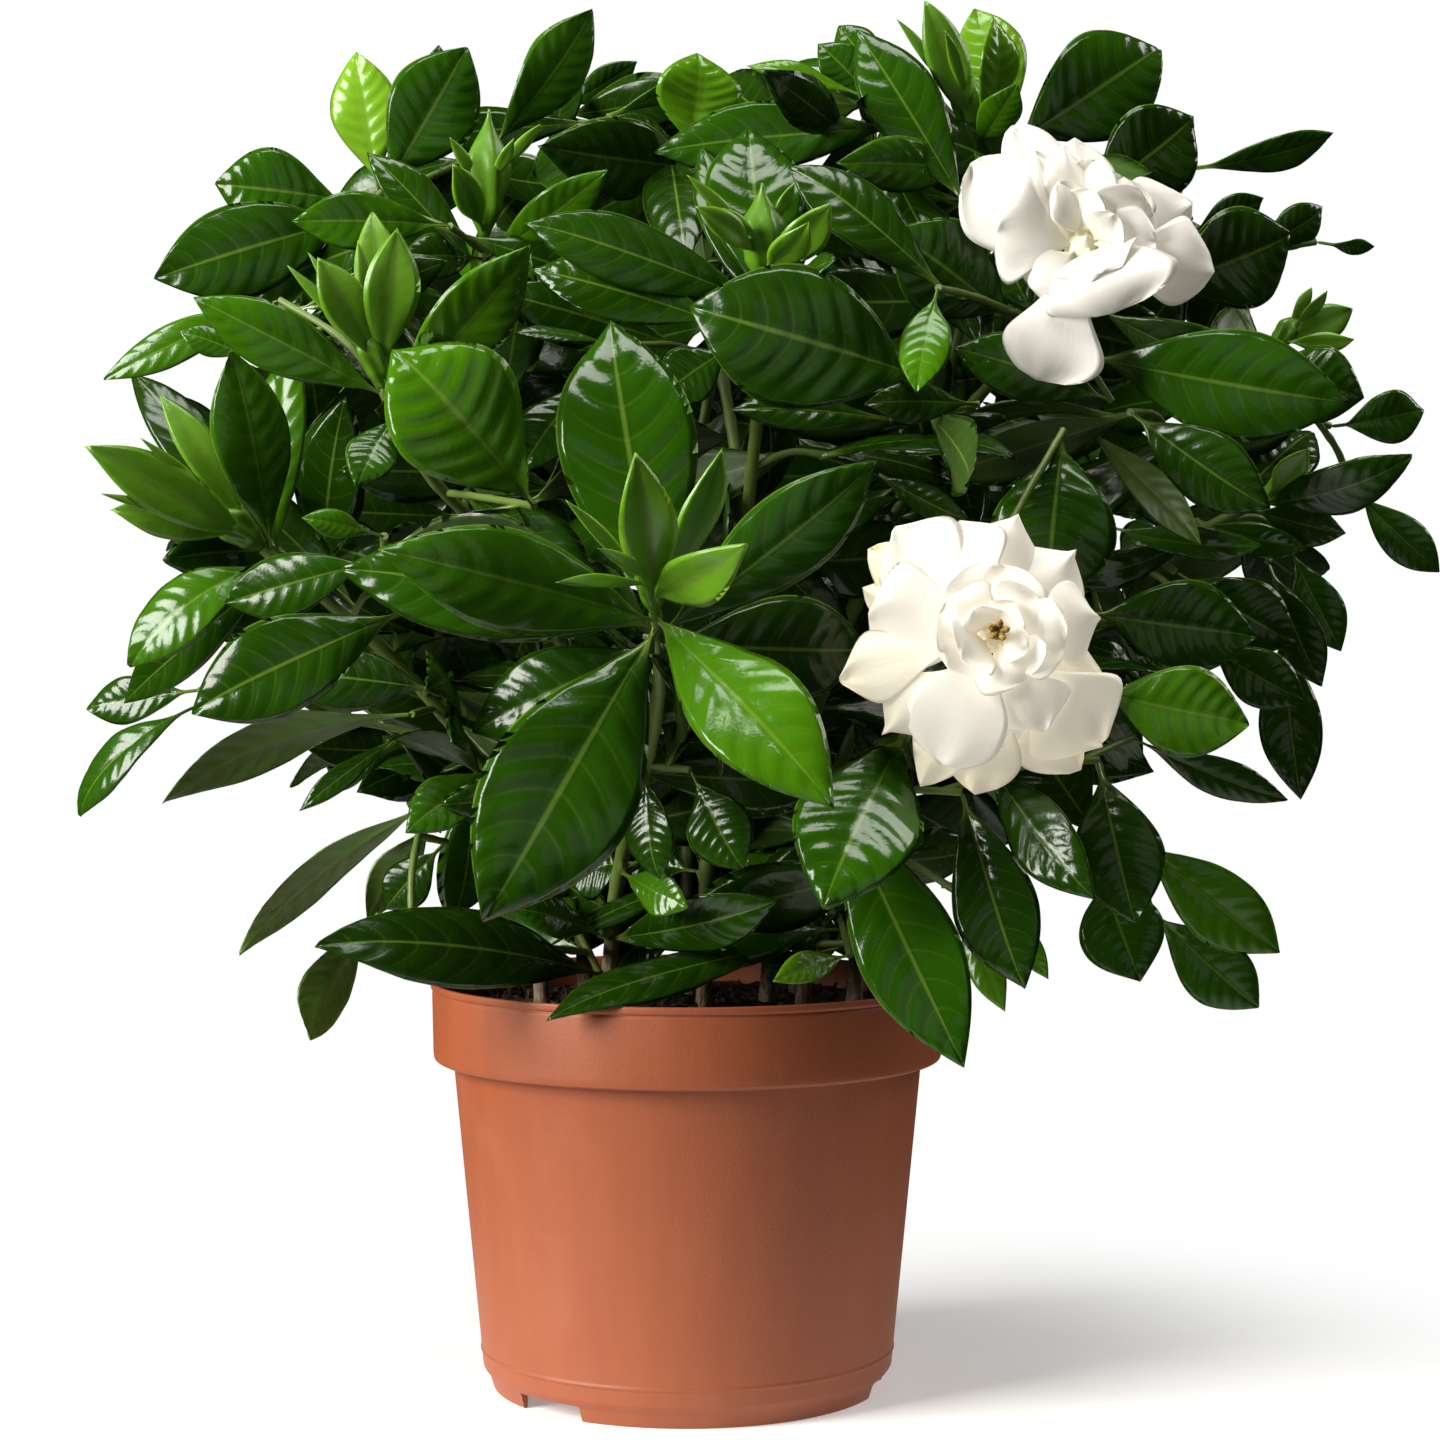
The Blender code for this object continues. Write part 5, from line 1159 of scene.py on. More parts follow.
class Value:
    """A node's output in Python's arithmetic: each operator adds one Math or Vector Math node."""

    def __init__(self, maker, socket):
        self.maker = maker
        self.socket = socket

    def out(self, name):
        """Another output of the same node."""
        return Value(self.maker, self.socket.node.outputs[name])

    __add__ = operator("ADD")
    __radd__ = operator("ADD", True)
    __sub__ = operator("SUBTRACT")
    __rsub__ = operator("SUBTRACT", True)
    __mul__ = operator("MULTIPLY")
    __rmul__ = operator("MULTIPLY", True)
    __truediv__ = operator("DIVIDE")
    __pow__ = operator("POWER")

    def __neg__(self):
        return self.maker.math("MULTIPLY", self, -1.0)

    def __abs__(self):
        return self.maker.math("ABSOLUTE", self)


class Maker:
    """Adds nodes to one tree, of a material or of geometry."""

    def __init__(self, tree):
        self.tree = tree

    def add(self, kind, settings=None, values=None, out=0):
        """One node: its settings first, a ramp's stops among them, then the values or links of its sockets."""
        node = self.tree.nodes.new(kind)
        for name, setting in (settings or {}).items():
            if name == "stops":
                for spare in range(len(setting) - 2):
                    node.color_ramp.elements.new(0.5)
                for element, (place_on, colour) in zip(node.color_ramp.elements, setting):
                    element.position = place_on
                    element.color = (*colour, 1.0)
            else:
                setattr(node, name, setting)
        for name, value in (values or {}).items():
            if isinstance(value, Value):
                self.tree.links.new(value.socket, node.inputs[name])
            else:
                node.inputs[name].default_value = value
        return Value(self, node.outputs[out]) if node.outputs else node

    def math(self, operation, *terms):
        """One Math node, or one Vector Math node where a term has three parts."""
        if not any(is_vector(term) for term in terms):
            return self.add("ShaderNodeMath", {"operation": operation}, dict(enumerate(terms)))
        if operation == "MULTIPLY" and not all(is_vector(term) for term in terms):
            vector, number = terms if is_vector(terms[0]) else terms[::-1]
            return self.add("ShaderNodeVectorMath", {"operation": "SCALE"}, {"Vector": vector, "Scale": number})
        return self.add("ShaderNodeVectorMath", {"operation": operation}, dict(enumerate(terms)))

    def where(self):
        """The place on the piece, which is the place in the model."""
        return self.add("ShaderNodeTexCoord", None, None, "Object")

    def attribute(self, name, out="Vector"):
        """What the points round a place hold under a name."""
        return self.add("ShaderNodeAttribute", {"attribute_name": name}, None, out)

    def split(self, vector):
        """The three parts of a vector."""
        parts = self.add("ShaderNodeSeparateXYZ", None, {"Vector": vector}, "X")
        return parts, parts.out("Y"), parts.out("Z")

    def clamp(self, value):
        """A value kept from 0 to 1."""
        return self.add("ShaderNodeClamp", None, {"Value": value})

    def ease(self, value, low, high):
        """0 below low and 1 above high, smooth between them."""
        return self.add("ShaderNodeMapRange", {"interpolation_type": "SMOOTHSTEP"},
                        {"Value": value, "From Min": low, "From Max": high})

    def noise(self, where, scale, detail=2.0, roughness=0.5):
        """Soft noise from 0 to 1, with scale in bumps a metre."""
        return self.add("ShaderNodeTexNoise", None,
                        {"Vector": where, "Scale": scale, "Detail": detail, "Roughness": roughness})

    def blend(self, factor, one, other):
        """A colour between two."""
        ends = [end if isinstance(end, Value) else (*end, 1.0) for end in (one, other)]
        node = self.tree.nodes.new("ShaderNodeMix")
        node.data_type = "RGBA"
        node.clamp_factor = True
        for socket, value in zip((node.inputs[0], node.inputs[6], node.inputs[7]), (factor, *ends)):
            if isinstance(value, Value):
                self.tree.links.new(value.socket, socket)
            else:
                socket.default_value = value
        return Value(self, node.outputs[2])


# Finishes

def new_finish(name, **fixed):
    """A material with its Principled shader, whose fixed values are set on the shader's own sockets."""
    material = bpy.data.materials.new(name)
    material.use_nodes = True
    shader = material.node_tree.nodes["Principled BSDF"]
    for label, value in fixed.items():
        shader.inputs[label.replace("_", " ")].default_value = value
    return material, Maker(material.node_tree), shader


def feed(maker, shader, colour, roughness, height=None, depth=0.0003):
    """Links what varies over the surface: colour, roughness and a bump of some depth in metres."""
    maker.tree.links.new(colour.socket, shader.inputs["Base Color"])
    maker.tree.links.new(roughness.socket, shader.inputs["Roughness"])
    if height is not None:
        bump = maker.add("ShaderNodeBump", None, {"Height": height, "Distance": depth, "Strength": 1.0})
        maker.tree.links.new(bump.socket, shader.inputs["Normal"])


def leaf_finish(look):
    """Glossy leaf: green by age, pale midrib and side veins, light rim partly painted highlight, paler duller
    underside.
    """
    material, m, shader = new_finish("leaf gloss", Specular_IOR_Level=0.33)
    share, across, side = m.split(m.attribute("blade"))
    tone = m.attribute("tone", "Fac")
    first, second = m.split(m.attribute("chance"))[:2]
    where = m.where()
    mottle = m.noise(where, 70.0, 3.0)
    grain = m.noise(where, 900.0, 2.0)
    size = abs(across)
    age = m.clamp(tone + (first - 0.5) * 0.24 + (mottle - 0.5) * 0.22)
    stops = [(0.0, look.leaf_old), (0.35, look.leaf_mid), (0.72, look.leaf_fresh), (1.0, look.leaf_young)]
    green = m.add("ShaderNodeValToRGB", {"stops": stops}, {"Fac": age}, "Color")
    wave = abs(m.math("SINE", share * (math.pi * VEIN_PAIRS)))
    vein = m.clamp(1.0 - wave * 4.0) * (1.0 - size * size) * m.ease(share, 0.02, 0.08)
    midrib = 1.0 - m.ease(size, 0.012, 0.055)
    # A thin light line along the edge: partly the leaf's pale rim, partly a painted highlight
    pale_rim_and_highlight = m.ease(size, 0.965, 0.99)
    upper = m.blend(vein * 0.15, green, look.vein)
    upper = m.blend(midrib * 0.55, upper, look.vein)
    upper = m.blend(pale_rim_and_highlight * 0.60, upper, look.vein)
    stalk = 1.0 - m.ease(share, -0.02, 0.10)
    upper = m.blend(stalk * 0.7, upper, look.vein)
    lower = m.blend(0.25 + m.ease(tone, 0.10, 0.30) * 0.47, upper, look.underside)
    under = m.ease(0.0 - side, 0.05, 0.6)
    colour = m.blend(under, upper, lower)
    roughness = look.leaf_roughness + under * 0.22 + (grain - 0.5) * 0.10 + (second - 0.5) * 0.08
    feed(m, shader, colour, roughness, grain * 0.4 + m.noise(where, 260.0, 2.0), 0.00012)
    return material


def young_finish(look):
    """Buds, their teeth and young leaves: light yellow-green with fine ribs."""
    material, m, shader = new_finish("young green", Specular_IOR_Level=0.5, Subsurface_Weight=0.12,
                                     Subsurface_Scale=0.002, Subsurface_Radius=(0.6, 1.0, 0.2))
    share, across, side = m.split(m.attribute("blade"))
    first = m.split(m.attribute("chance"))[0]
    where = m.where()
    mottle = m.noise(where, 160.0, 3.0)
    size = abs(across)
    age = m.clamp(0.55 + (first - 0.5) * 0.5 + (mottle - 0.5) * 0.4)
    green = m.blend(age, look.leaf_fresh, look.leaf_young)
    midrib = (1.0 - m.ease(size, 0.03, 0.12)) * m.ease(share, 0.01, 0.05)
    colour = m.blend(midrib * 0.6, green, look.vein)
    colour = m.blend(m.ease(0.0 - side, 0.05, 0.6) * 0.5, colour, look.underside)
    feed(m, shader, colour, 0.34 + (mottle - 0.5) * 0.15, mottle, 0.0003)
    return material


def bark_finish(look):
    """Stem skin: green where it is thin, olive and then woody brown where it is thick, with pale flecks."""
    material, m, shader = new_finish("stem skin", Specular_IOR_Level=0.35)
    thickness = m.attribute("thickness", "Fac")
    where = m.where()
    fissure = m.noise(where * (1.0, 1.0, 0.22), 900.0, 4.0, 0.65)
    fleck = m.noise(where, 420.0, 2.0)
    height = m.split(where)[2]
    wood = m.ease(thickness, 0.0019, 0.0029) * m.ease(0.20 - height, 0.0, 0.055)
    green = m.blend(m.ease(fleck, 0.45, 0.7) * 0.5, look.stem_green, look.stem_olive)
    brown = m.blend(m.ease(fissure, 0.35, 0.65), look.wood_dark, look.wood_pale)
    feed(m, shader, m.blend(wood, green, brown), 0.45 + wood * 0.3, fissure * wood + fleck * 0.3, 0.0006)
    return material


def petal_finish(look, name, painted_glow):
    """Waxy petal: warm white, greenish cream throat, partly painted shade, faint ribs, tan old edges, painted
    glow.
    """
    # The petal glows with painted light at a fixed strength for each bloom, which lifts its shaded parts
    material, m, shader = new_finish(name, Specular_IOR_Level=0.30, Subsurface_Weight=0.18,
                                     Subsurface_Scale=0.003, Subsurface_Radius=(1.0, 0.95, 0.75),
                                     Emission_Strength=painted_glow)
    share, across = m.split(m.attribute("blade"))[:2]
    tone = m.attribute("tone", "Fac")
    first = m.split(m.attribute("chance"))[0]
    where = m.where()
    mottle = m.noise(where, 90.0, 3.0)
    along_ribs = m.add("ShaderNodeCombineXYZ", None, {"X": share * 2.5, "Y": across * 16.0, "Z": first * 9.0})
    ribs = m.noise(along_ribs, 1.0, 2.0)
    size = abs(across)
    white = m.blend(m.clamp((mottle - 0.35) * 0.9), look.petal, look.petal_shade)
    white = m.blend(tone * (0.20 + share * share * 0.75), white, look.petal_old)
    # The throat's cream: partly the petal's own colour, and laid on strongly as painted shade where petals
    # overlap
    throat = 1.0 - m.ease(share, 0.02, 0.40)
    colour = m.blend(throat * 0.55, white, look.petal_throat_and_shade)
    rim = m.math("MAXIMUM", m.ease(size, 0.90, 1.0) * m.ease(share, 0.3, 0.6), m.ease(share, 0.955, 1.0))
    colour = m.blend(rim * tone * (0.3 + mottle), colour, look.petal_edge)
    # Painted glow colour: warm white, turning dimmer and browner in the throat, where it paints shade
    light = m.blend(throat * 0.8, (1.0, 0.91, 0.77), (0.50, 0.42, 0.24))
    m.tree.links.new(light.socket, shader.inputs["Emission Color"])
    feed(m, shader, colour, 0.50 + (ribs - 0.5) * 0.12, ribs + mottle * 0.4, 0.00008)
    return material


def heart_finish(look):
    """Stigma and anthers: ochre with darker brown specks."""
    material, m, shader = new_finish("stigma ochre", Specular_IOR_Level=0.3)
    where = m.where()
    speck = m.noise(where, 1400.0, 3.0)
    colour = m.blend(m.ease(speck, 0.42, 0.62), look.heart_dark, look.heart)
    feed(m, shader, colour, 0.6 + speck * 0.2, speck, 0.0004)
    return material


def pot_finish(pot):
    """Moulded terracotta-coloured plastic: fine haze, faint upright streaks, and dust near the foot."""
    material, m, shader = new_finish("terracotta plastic", Specular_IOR_Level=0.52)
    where = m.where()
    height = m.split(where)[2]
    haze = m.noise(where, 26.0, 4.0, 0.6)
    grain = m.noise(where, 1500.0, 2.0)
    streak = m.noise(where * (1.0, 1.0, 0.12), 120.0, 3.0)
    dust = m.ease(haze, 0.52, 0.78) * 0.35 + (1.0 - m.ease(height, 0.0, 0.03)) * 0.25
    colour = m.blend(m.ease(streak, 0.3, 0.7), pot.shell, pot.shell_deep)
    colour = m.blend(dust, colour, pot.dust)
    roughness = 0.54 + (haze - 0.5) * 0.2 + (grain - 0.5) * 0.08
    feed(m, shader, colour, roughness, grain * 0.6 + haze * 0.8, 0.00016)
    return material


def compost_finish(pot):
    """Moist compost: near-black crumbs with brown fibres and a few pale grains."""
    material, m, shader = new_finish("moist compost", Specular_IOR_Level=0.25)
    where = m.where()
    crumb = m.noise(where, 420.0, 5.0, 0.65)
    fleck = m.noise(where, 1100.0, 2.0)
    colour = m.blend(m.ease(crumb, 0.4, 0.68), pot.compost, pot.compost_fibre)
    colour = m.blend(m.ease(fleck, 0.68, 0.74) * 0.5, colour, pot.grit)
    feed(m, shader, colour, 0.85 + crumb * 0.1, crumb, 0.0015)
    return material


# Geometry trees

def geometry_tree(name, inputs):
    """An empty geometry tree with named inputs, its maker, and the value of its first input."""
    tree = bpy.data.node_groups.new(name, "GeometryNodeTree")
    for way in ("INPUT", "OUTPUT"):
        tree.interface.new_socket(name="Geometry", in_out=way, socket_type="NodeSocketGeometry")
    for label, kind in inputs:
        tree.interface.new_socket(name=label, in_out="INPUT", socket_type="NodeSocket" + kind)
    maker = Maker(tree)
    return maker, maker.add("NodeGroupInput")


def joined(m, pieces):
    """Several branches of a tree as one, with what is instanced made real."""
    join = m.tree.nodes.new("GeometryNodeJoinGeometry")
    for piece in pieces:
        m.tree.links.new(piece.socket, join.inputs[0])
    return m.add("GeometryNodeRealizeInstances", None, {"Geometry": Value(m, join.outputs[0])})


def bent_blades(m, source, petal):
    """Instances the flat blade on every point and bends each copy along the point's own midrib."""
    flat = m.add("GeometryNodeObjectInfo", None, {"Object": source.out("Flat blade")}, "Geometry")
    copies = m.add("GeometryNodeInstanceOnPoints", None, {"Points": source.out("Geometry"), "Instance": flat})
    copies = m.add("GeometryNodeRealizeInstances", None, {"Geometry": copies})

    def named(name):
        return m.add("GeometryNodeInputNamedAttribute", {"data_type": "FLOAT_VECTOR"}, {"Name": name})

    # The blade's own place on the flat one, and what its point says of it
    place_on, across, side = m.split(named("blade"))
    width, fold, neck = m.split(named("form"))
    first, second, third = m.split(named("chance"))
    a, b, c, d = (named(f"control_{k}") for k in range(4))
    face = named("face")
    size = abs(across)

    # The place on the midrib, with the rings slanted forwards along the side veins, and the frame there
    body = m.math("MAXIMUM", place_on, 0.0)
    stalk = m.math("MINIMUM", place_on, 0.0)
    slant = 0.0 if petal else VEIN_SLANT
    share = m.math("MINIMUM", body + m.math("SINE", body * math.pi) * (size ** 1.5) * slant, 1.0)
    t = neck + neck * stalk + (1.0 - neck) * share
    s = 1.0 - t
    centre = a * (s * s * s) + b * (s * s * t * 3.0) + c * (s * t * t * 3.0) + d * (t * t * t)
    along = (b - a) * (s * s) + (c - b) * (s * t * 2.0) + (d - c) * (t * t)
    along = m.math("NORMALIZE", along)
    right = m.math("NORMALIZE", m.math("CROSS_PRODUCT", along, face))
    up = m.math("CROSS_PRODUCT", right, along)

    # A small turn about the midrib
    turn = (first - 0.5) * (share - 0.25) * source.out("Twist")
    cosine = m.math("COSINE", turn)
    sine = m.math("SINE", turn)
    right, up = right * cosine + up * sine, up * cosine - right * sine

    # The outline, from a round stalk to a flat blade with rounded edges
    two_pi = 2.0 * math.pi
    power, blunt = m.split(named("outline"))[:2]
    outline = m.math("MAXIMUM", m.math("SINE", (share ** power) * math.pi), 0.0) ** blunt
    if not petal:
        outline = outline * (1.0 - (share ** 9.0) * 0.30)
    half = width * outline * 0.5
    if petal:
        uneven = m.math("SINE", share * 11.0 + first * two_pi) * 0.05 + across * (first - 0.5) * 0.30
        half = half * (1.0 + uneven)
    rod = (width * 0.008 + 0.0005) * (1.0 - share * 0.9)
    spread = m.math("SQRT", half * half + rod * rod)
    flatness = m.clamp(half / (rod * 5.0))
    thick = rod + (source.out("Blade thickness") * 0.5 - rod) * flatness
    rounding = m.math("SQRT", m.math("MAXIMUM", 1.0 - across * across, 0.0))
    rise = side * rounding * thick

    # How far the blade stands off its plane: a petal cups or rolls back, ruffles, swells and nods at its tip,
    # and a leaf folds, droops, rolls and waves, with raised fields between its veins and a rib beneath
    if petal:
        lean = across * 2.0 * (second - 0.5)
        tipped = m.math("MINIMUM", fold, 0.0) * (share ** 4.0) * 2.0
        bend = (fold * (share ** 1.3) * 2.6 + tipped) * (1.0 + lean) * size * -1.0
        bend = m.math("MAXIMUM", abs(bend), 0.02) * m.math("SIGN", bend + 0.0001)
        spread = spread * m.math("SINE", bend) / bend
        curl = half * size * (m.math("COSINE", bend) - 1.0) / bend
        ruffle = m.math("SINE", across * (2.4 + third * 1.6) + first * two_pi) * (share ** 2.0) * width * 0.055
        swell = m.math("SINE", share * 9.0 + across * 3.0 + third * two_pi) * size * share * width * 0.022
        nip = m.math("SINE", across * 7.0 + second * two_pi) * (share ** 5.0) * width * 0.03
        lift = curl + ruffle + swell + nip - (share ** 4.0) * width * (0.04 + third * 0.12)
    else:
        groove = m.math("SQRT", across * across + 0.006)
        vee = fold * half * groove * 1.25
        droop = half * (across * across) * (0.10 + second * 0.16)
        roll = m.math("SINE", share * (two_pi * 1.3) + first * two_pi) * across * width * 0.030
        wave = m.math("SINE", share * (two_pi * 1.7) + second * two_pi) * (across * across) * width * 0.036
        ruffle = m.math("SINE", share * (two_pi * 4.6) + third * two_pi + across * 2.0)
        ruffle = ruffle * (size ** 3.0) * width * 0.006
        ridge = abs(m.math("SINE", body * (math.pi * VEIN_PAIRS))) ** 0.7
        inside = 1.0 - m.math("POWER", math.e, across * across * -60.0)
        quilt = ridge * inside * (1.0 - (across ** 4.0) * 0.7) * flatness * width * source.out("Quilting")
        nose = (share ** 6.0) * width * (0.05 + third * 0.16)
        rib = m.math("POWER", math.e, (across * spread / 0.0009) ** 2.0 * -1.0)
        rib = rib * m.math("MAXIMUM", 0.0 - side, 0.0) * flatness * (1.0 - share) * 0.0007
        lift = vee - droop + roll + wave + ruffle + quilt - nose - rib
    spot = centre + right * (across * spread) + up * (rise + lift)
    bent = m.add("GeometryNodeSetPosition", None, {"Geometry": copies, "Position": spot})
    for label in ("control_*", "face", "form", "outline"):
        bent = m.add("GeometryNodeRemoveAttribute", {"pattern_mode": "WILDCARD"},
                     {"Geometry": bent, "Name": label})
    return m.add("GeometryNodeSetMaterial", None, {"Geometry": bent, "Material": source.out("Blade finish")})


def round_stems(m, source):
    """Turns the stem lines into round stems, a little swollen and uneven where leaves have stood."""
    lines = m.add("GeometryNodeObjectInfo", None, {"Object": source.out("Stem lines")}, "Geometry")
    lines = m.add("GeometryNodeCurveSplineType", {"spline_type": "CATMULL_ROM"}, {"Curve": lines})
    lines = m.add("GeometryNodeResampleCurve", {"mode": "LENGTH"},
                  {"Curve": lines, "Length": source.out("Stem step")})
    radius = m.add("GeometryNodeInputRadius")
    length = m.add("GeometryNodeSplineParameter", None, None, "Length")
    scars = m.math("POWER", math.e, (m.math("FRACT", length / SCAR_STEP) - 0.5) ** 2.0 * -90.0)
    swollen = radius * (1.0 + scars * 0.16)
    lines = m.add("GeometryNodeSetCurveRadius", None, {"Curve": lines, "Radius": swollen})
    lines = m.add("GeometryNodeStoreNamedAttribute", {"data_type": "FLOAT", "domain": "POINT"},
                  {"Geometry": lines, "Name": "thickness", "Value": radius})
    ring = m.add("GeometryNodeCurvePrimitiveCircle", None, {"Resolution": STEM_FACETS, "Radius": 1.0}, "Curve")
    scale = m.add("GeometryNodeInputRadius")
    stems = m.add("GeometryNodeCurveToMesh", None,
                  {"Curve": lines, "Profile Curve": ring, "Scale": scale, "Fill Caps": True})
    where = m.add("GeometryNodeInputPosition")
    uneven = (m.noise(where, 300.0, 2.0) - 0.5) * 0.0005
    offset = m.add("GeometryNodeInputNormal", None, None, "Normal") * uneven
    stems = m.add("GeometryNodeSetPosition", None, {"Geometry": stems, "Offset": offset})
    return m.add("GeometryNodeSetMaterial", None, {"Geometry": stems, "Material": source.out("Stem finish")})


def foliage_tree(name, petal=False):
    """Blades bent on points together with the stems that carry them."""
    m, source = geometry_tree(name, [
        ("Flat blade", "Object"), ("Blade thickness", "Float"), ("Twist", "Float"), ("Quilting", "Float"),
        ("Stem lines", "Object"), ("Stem step", "Float"), ("Blade finish", "Material"),
        ("Stem finish", "Material"),
    ])
    real = joined(m, [bent_blades(m, source, petal), round_stems(m, source)])
    smooth = m.add("GeometryNodeSetShadeSmooth", None, {"Geometry": real, "Shade Smooth": True})
    m.add("NodeGroupOutput", None, {"Geometry": smooth})
    return m.tree


def litter_tree(name):
    """Small chips scattered on the soil, each turned and scaled by chance."""
    m, source = geometry_tree(name, [("Chip", "Object"), ("Chips a square metre", "Float"), ("Seed", "Int"),
                                     ("Finish", "Material")])
    soil = source.out("Geometry")
    values = {"Mesh": soil, "Density": source.out("Chips a square metre"), "Seed": source.out("Seed")}
    facing_up = m.math("GREATER_THAN", m.split(m.add("GeometryNodeInputNormal", None, None, "Normal"))[2], 0.8)
    points = m.add("GeometryNodeDistributePointsOnFaces", None, {**values, "Selection": facing_up}, "Points")
    turn = m.add("FunctionNodeRandomValue", {"data_type": "FLOAT_VECTOR"}, {"Max": (6.3, 6.3, 6.3), "Seed": 3})
    size = m.add("FunctionNodeRandomValue", {"data_type": "FLOAT_VECTOR"},
                 {"Min": (0.4, 0.4, 0.3), "Max": (1.3, 1.0, 0.9), "Seed": 5})
    chip = m.add("GeometryNodeObjectInfo", None, {"Object": source.out("Chip")}, "Geometry")
    chips = m.add("GeometryNodeInstanceOnPoints", None,
                  {"Points": points, "Instance": chip, "Rotation": turn, "Scale": size})
    done = m.add("GeometryNodeSetMaterial", None,
                 {"Geometry": joined(m, (soil, chips)), "Material": source.out("Finish")})
    m.add("NodeGroupOutput", None, {"Geometry": done})
    return m.tree


# Mesh helpers

def stand(name, data):
    """A new object of the scene, at the origin, with its data."""
    item = bpy.data.objects.new(name, data)
    bpy.context.scene.collection.objects.link(item)
    return item


def make_object(name, points, faces):
    """A closed object from points in millimetres, with its faces turned outwards."""
    mesh = bpy.data.meshes.new(name)
    mesh.from_pydata([Vector(p) * MM for p in points], [], faces)
    shell = bmesh.new()
    shell.from_mesh(mesh)
    bmesh.ops.recalc_face_normals(shell, faces=shell.faces)
    shell.to_mesh(mesh)
    shell.free()
    return stand(name, mesh)


def remove(*items):
    """Removes helper objects and what only they use."""
    for item in items:
        data = item.data
        bpy.data.objects.remove(item)
        (bpy.data.curves if isinstance(data, bpy.types.Curve) else bpy.data.meshes).remove(data)


def plain_mesh(item):
    """What an object's modifiers make of it, as a plain mesh."""
    graph = bpy.context.evaluated_depsgraph_get()
    graph.update()
    made = item.evaluated_get(graph)
    return bpy.data.meshes.new_from_object(made, preserve_all_data_layers=True, depsgraph=graph)


def run_tree(name, base, tree, inputs):
    """The plain object that a geometry tree makes of a base object, which is removed."""
    grow = base.modifiers.new("Grow", "NODES")
    grow.node_group = tree
    for socket in tree.interface.items_tree:
        if socket.in_out == "INPUT" and socket.name in inputs:
            grow[socket.identifier] = inputs[socket.name]
    mesh = plain_mesh(base)
    remove(base)
    return stand(name, mesh)


def dress(item, slot, *nodes):
    """Puts a finished piece on the one body, in place of its solids. Its slot is not used."""
    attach(item, "root")
    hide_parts(*nodes)


def keep_on_points(item, label, numbers, field="vector"):
    """Stores a vector or a value for each point of an object under a name, from a flat list of numbers."""
    kind = "FLOAT_VECTOR" if field == "vector" else "FLOAT"
    item.data.attributes.new(label, kind, "POINT").data.foreach_set(field, numbers)


def flat_blade(name, rings, columns):
    """A closed flat blade of unit size: each point has its share along, its share across and its side."""
    loop = [(2.0 * k / columns - 1.0, 1.0 if 0 < k < columns else 0.0) for k in range(columns + 1)]
    loop += [(1.0 - 2.0 * k / columns, -1.0) for k in range(1, columns)]
    rows = [k / (STALK_RINGS + 1) - 1.0 for k in range(1, STALK_RINGS + 1)]
    rows += [k / rings for k in range(rings)]
    spots = [(-1.0, 0.0, 0.0)] + [(row, a, s) for row in rows for a, s in loop] + [(1.0, 0.0, 0.0)]
    count = len(loop)
    faces = []
    for k in range(count):
        after = (k + 1) % count
        faces.append((0, 1 + after, 1 + k))
        for ring in range(len(rows) - 1):
            low = 1 + ring * count
            faces.append((low + k, low + after, low + count + after, low + count + k))
        last = 1 + (len(rows) - 1) * count
        faces.append((len(spots) - 1, last + k, last + after))
    item = make_object(name, [(along * 50.0, -a * 20.0, side) for along, a, side in spots], faces)
    keep_on_points(item, "blade", [number for spot in spots for number in spot])
    return item


def blade_points(name, leaves, draw):
    """One point for each blade, with the blade's midrib, facing, form, outline, tone and chance."""
    labels = ("control_0", "control_1", "control_2", "control_3", "face", "form", "outline", "chance")
    columns = {label: [] for label in labels}
    tones = []
    for leaf in leaves:
        for index, point in enumerate(midrib(leaf)):
            columns[f"control_{index}"].extend(point * MM)
        columns["face"].extend(leaf.face)
        columns["form"].extend((leaf.width * MM, leaf.fold, neck_of(leaf)))
        columns["outline"].extend((*OUTLINES[leaf.shape], 0.0))
        columns["chance"].extend(draw.random() for k in range(3))
        tones.append(leaf.tone)
    item = make_object(name, [leaf.root for leaf in leaves], [])
    for label, numbers in columns.items():
        keep_on_points(item, label, numbers)
    keep_on_points(item, "tone", tones, "value")
    return item


def twig_lines(leaves):
    """The centre lines and radii of the twigs that leaves stand on."""
    return [(leaf.lead + (leaf.root,), [TWIG_RADIUS] * (len(leaf.lead) + 1)) for leaf in leaves if leaf.lead]


def stem_lines(name, tubes):
    """The centre lines of round stems as one curve object, each point with its radius."""
    curve = bpy.data.curves.new(name, "CURVE")
    curve.dimensions = "3D"
    for path, radii in tubes:
        spline = curve.splines.new("POLY")
        spline.points.add(len(path) - 1)
        for point, where, radius in zip(spline.points, path, radii):
            point.co = (*(where * MM), 1.0)
            point.radius = radius * MM
    return stand(name, curve)


def foliage(name, tree, leaves, flat, lines, finishes, look, draw, other=None):
    """The plain object of a foliage tree: blades bent from a flat one, and stems along lines."""
    curve = stem_lines(name + "_lines", lines)
    inputs = {
        "Flat blade": flat,
        "Blade thickness": look.leaf_thickness,
        "Twist": look.twist,
        "Quilting": look.quilting,
        "Blade finish": finishes[0],
        "Stem lines": curve,
        "Stem step": look.stem_step,
        "Stem finish": finishes[1],
    }
    item = run_tree(name, blade_points(name + "_points", leaves, draw), tree, {**inputs, **(other or {})})
    remove(curve)
    return item


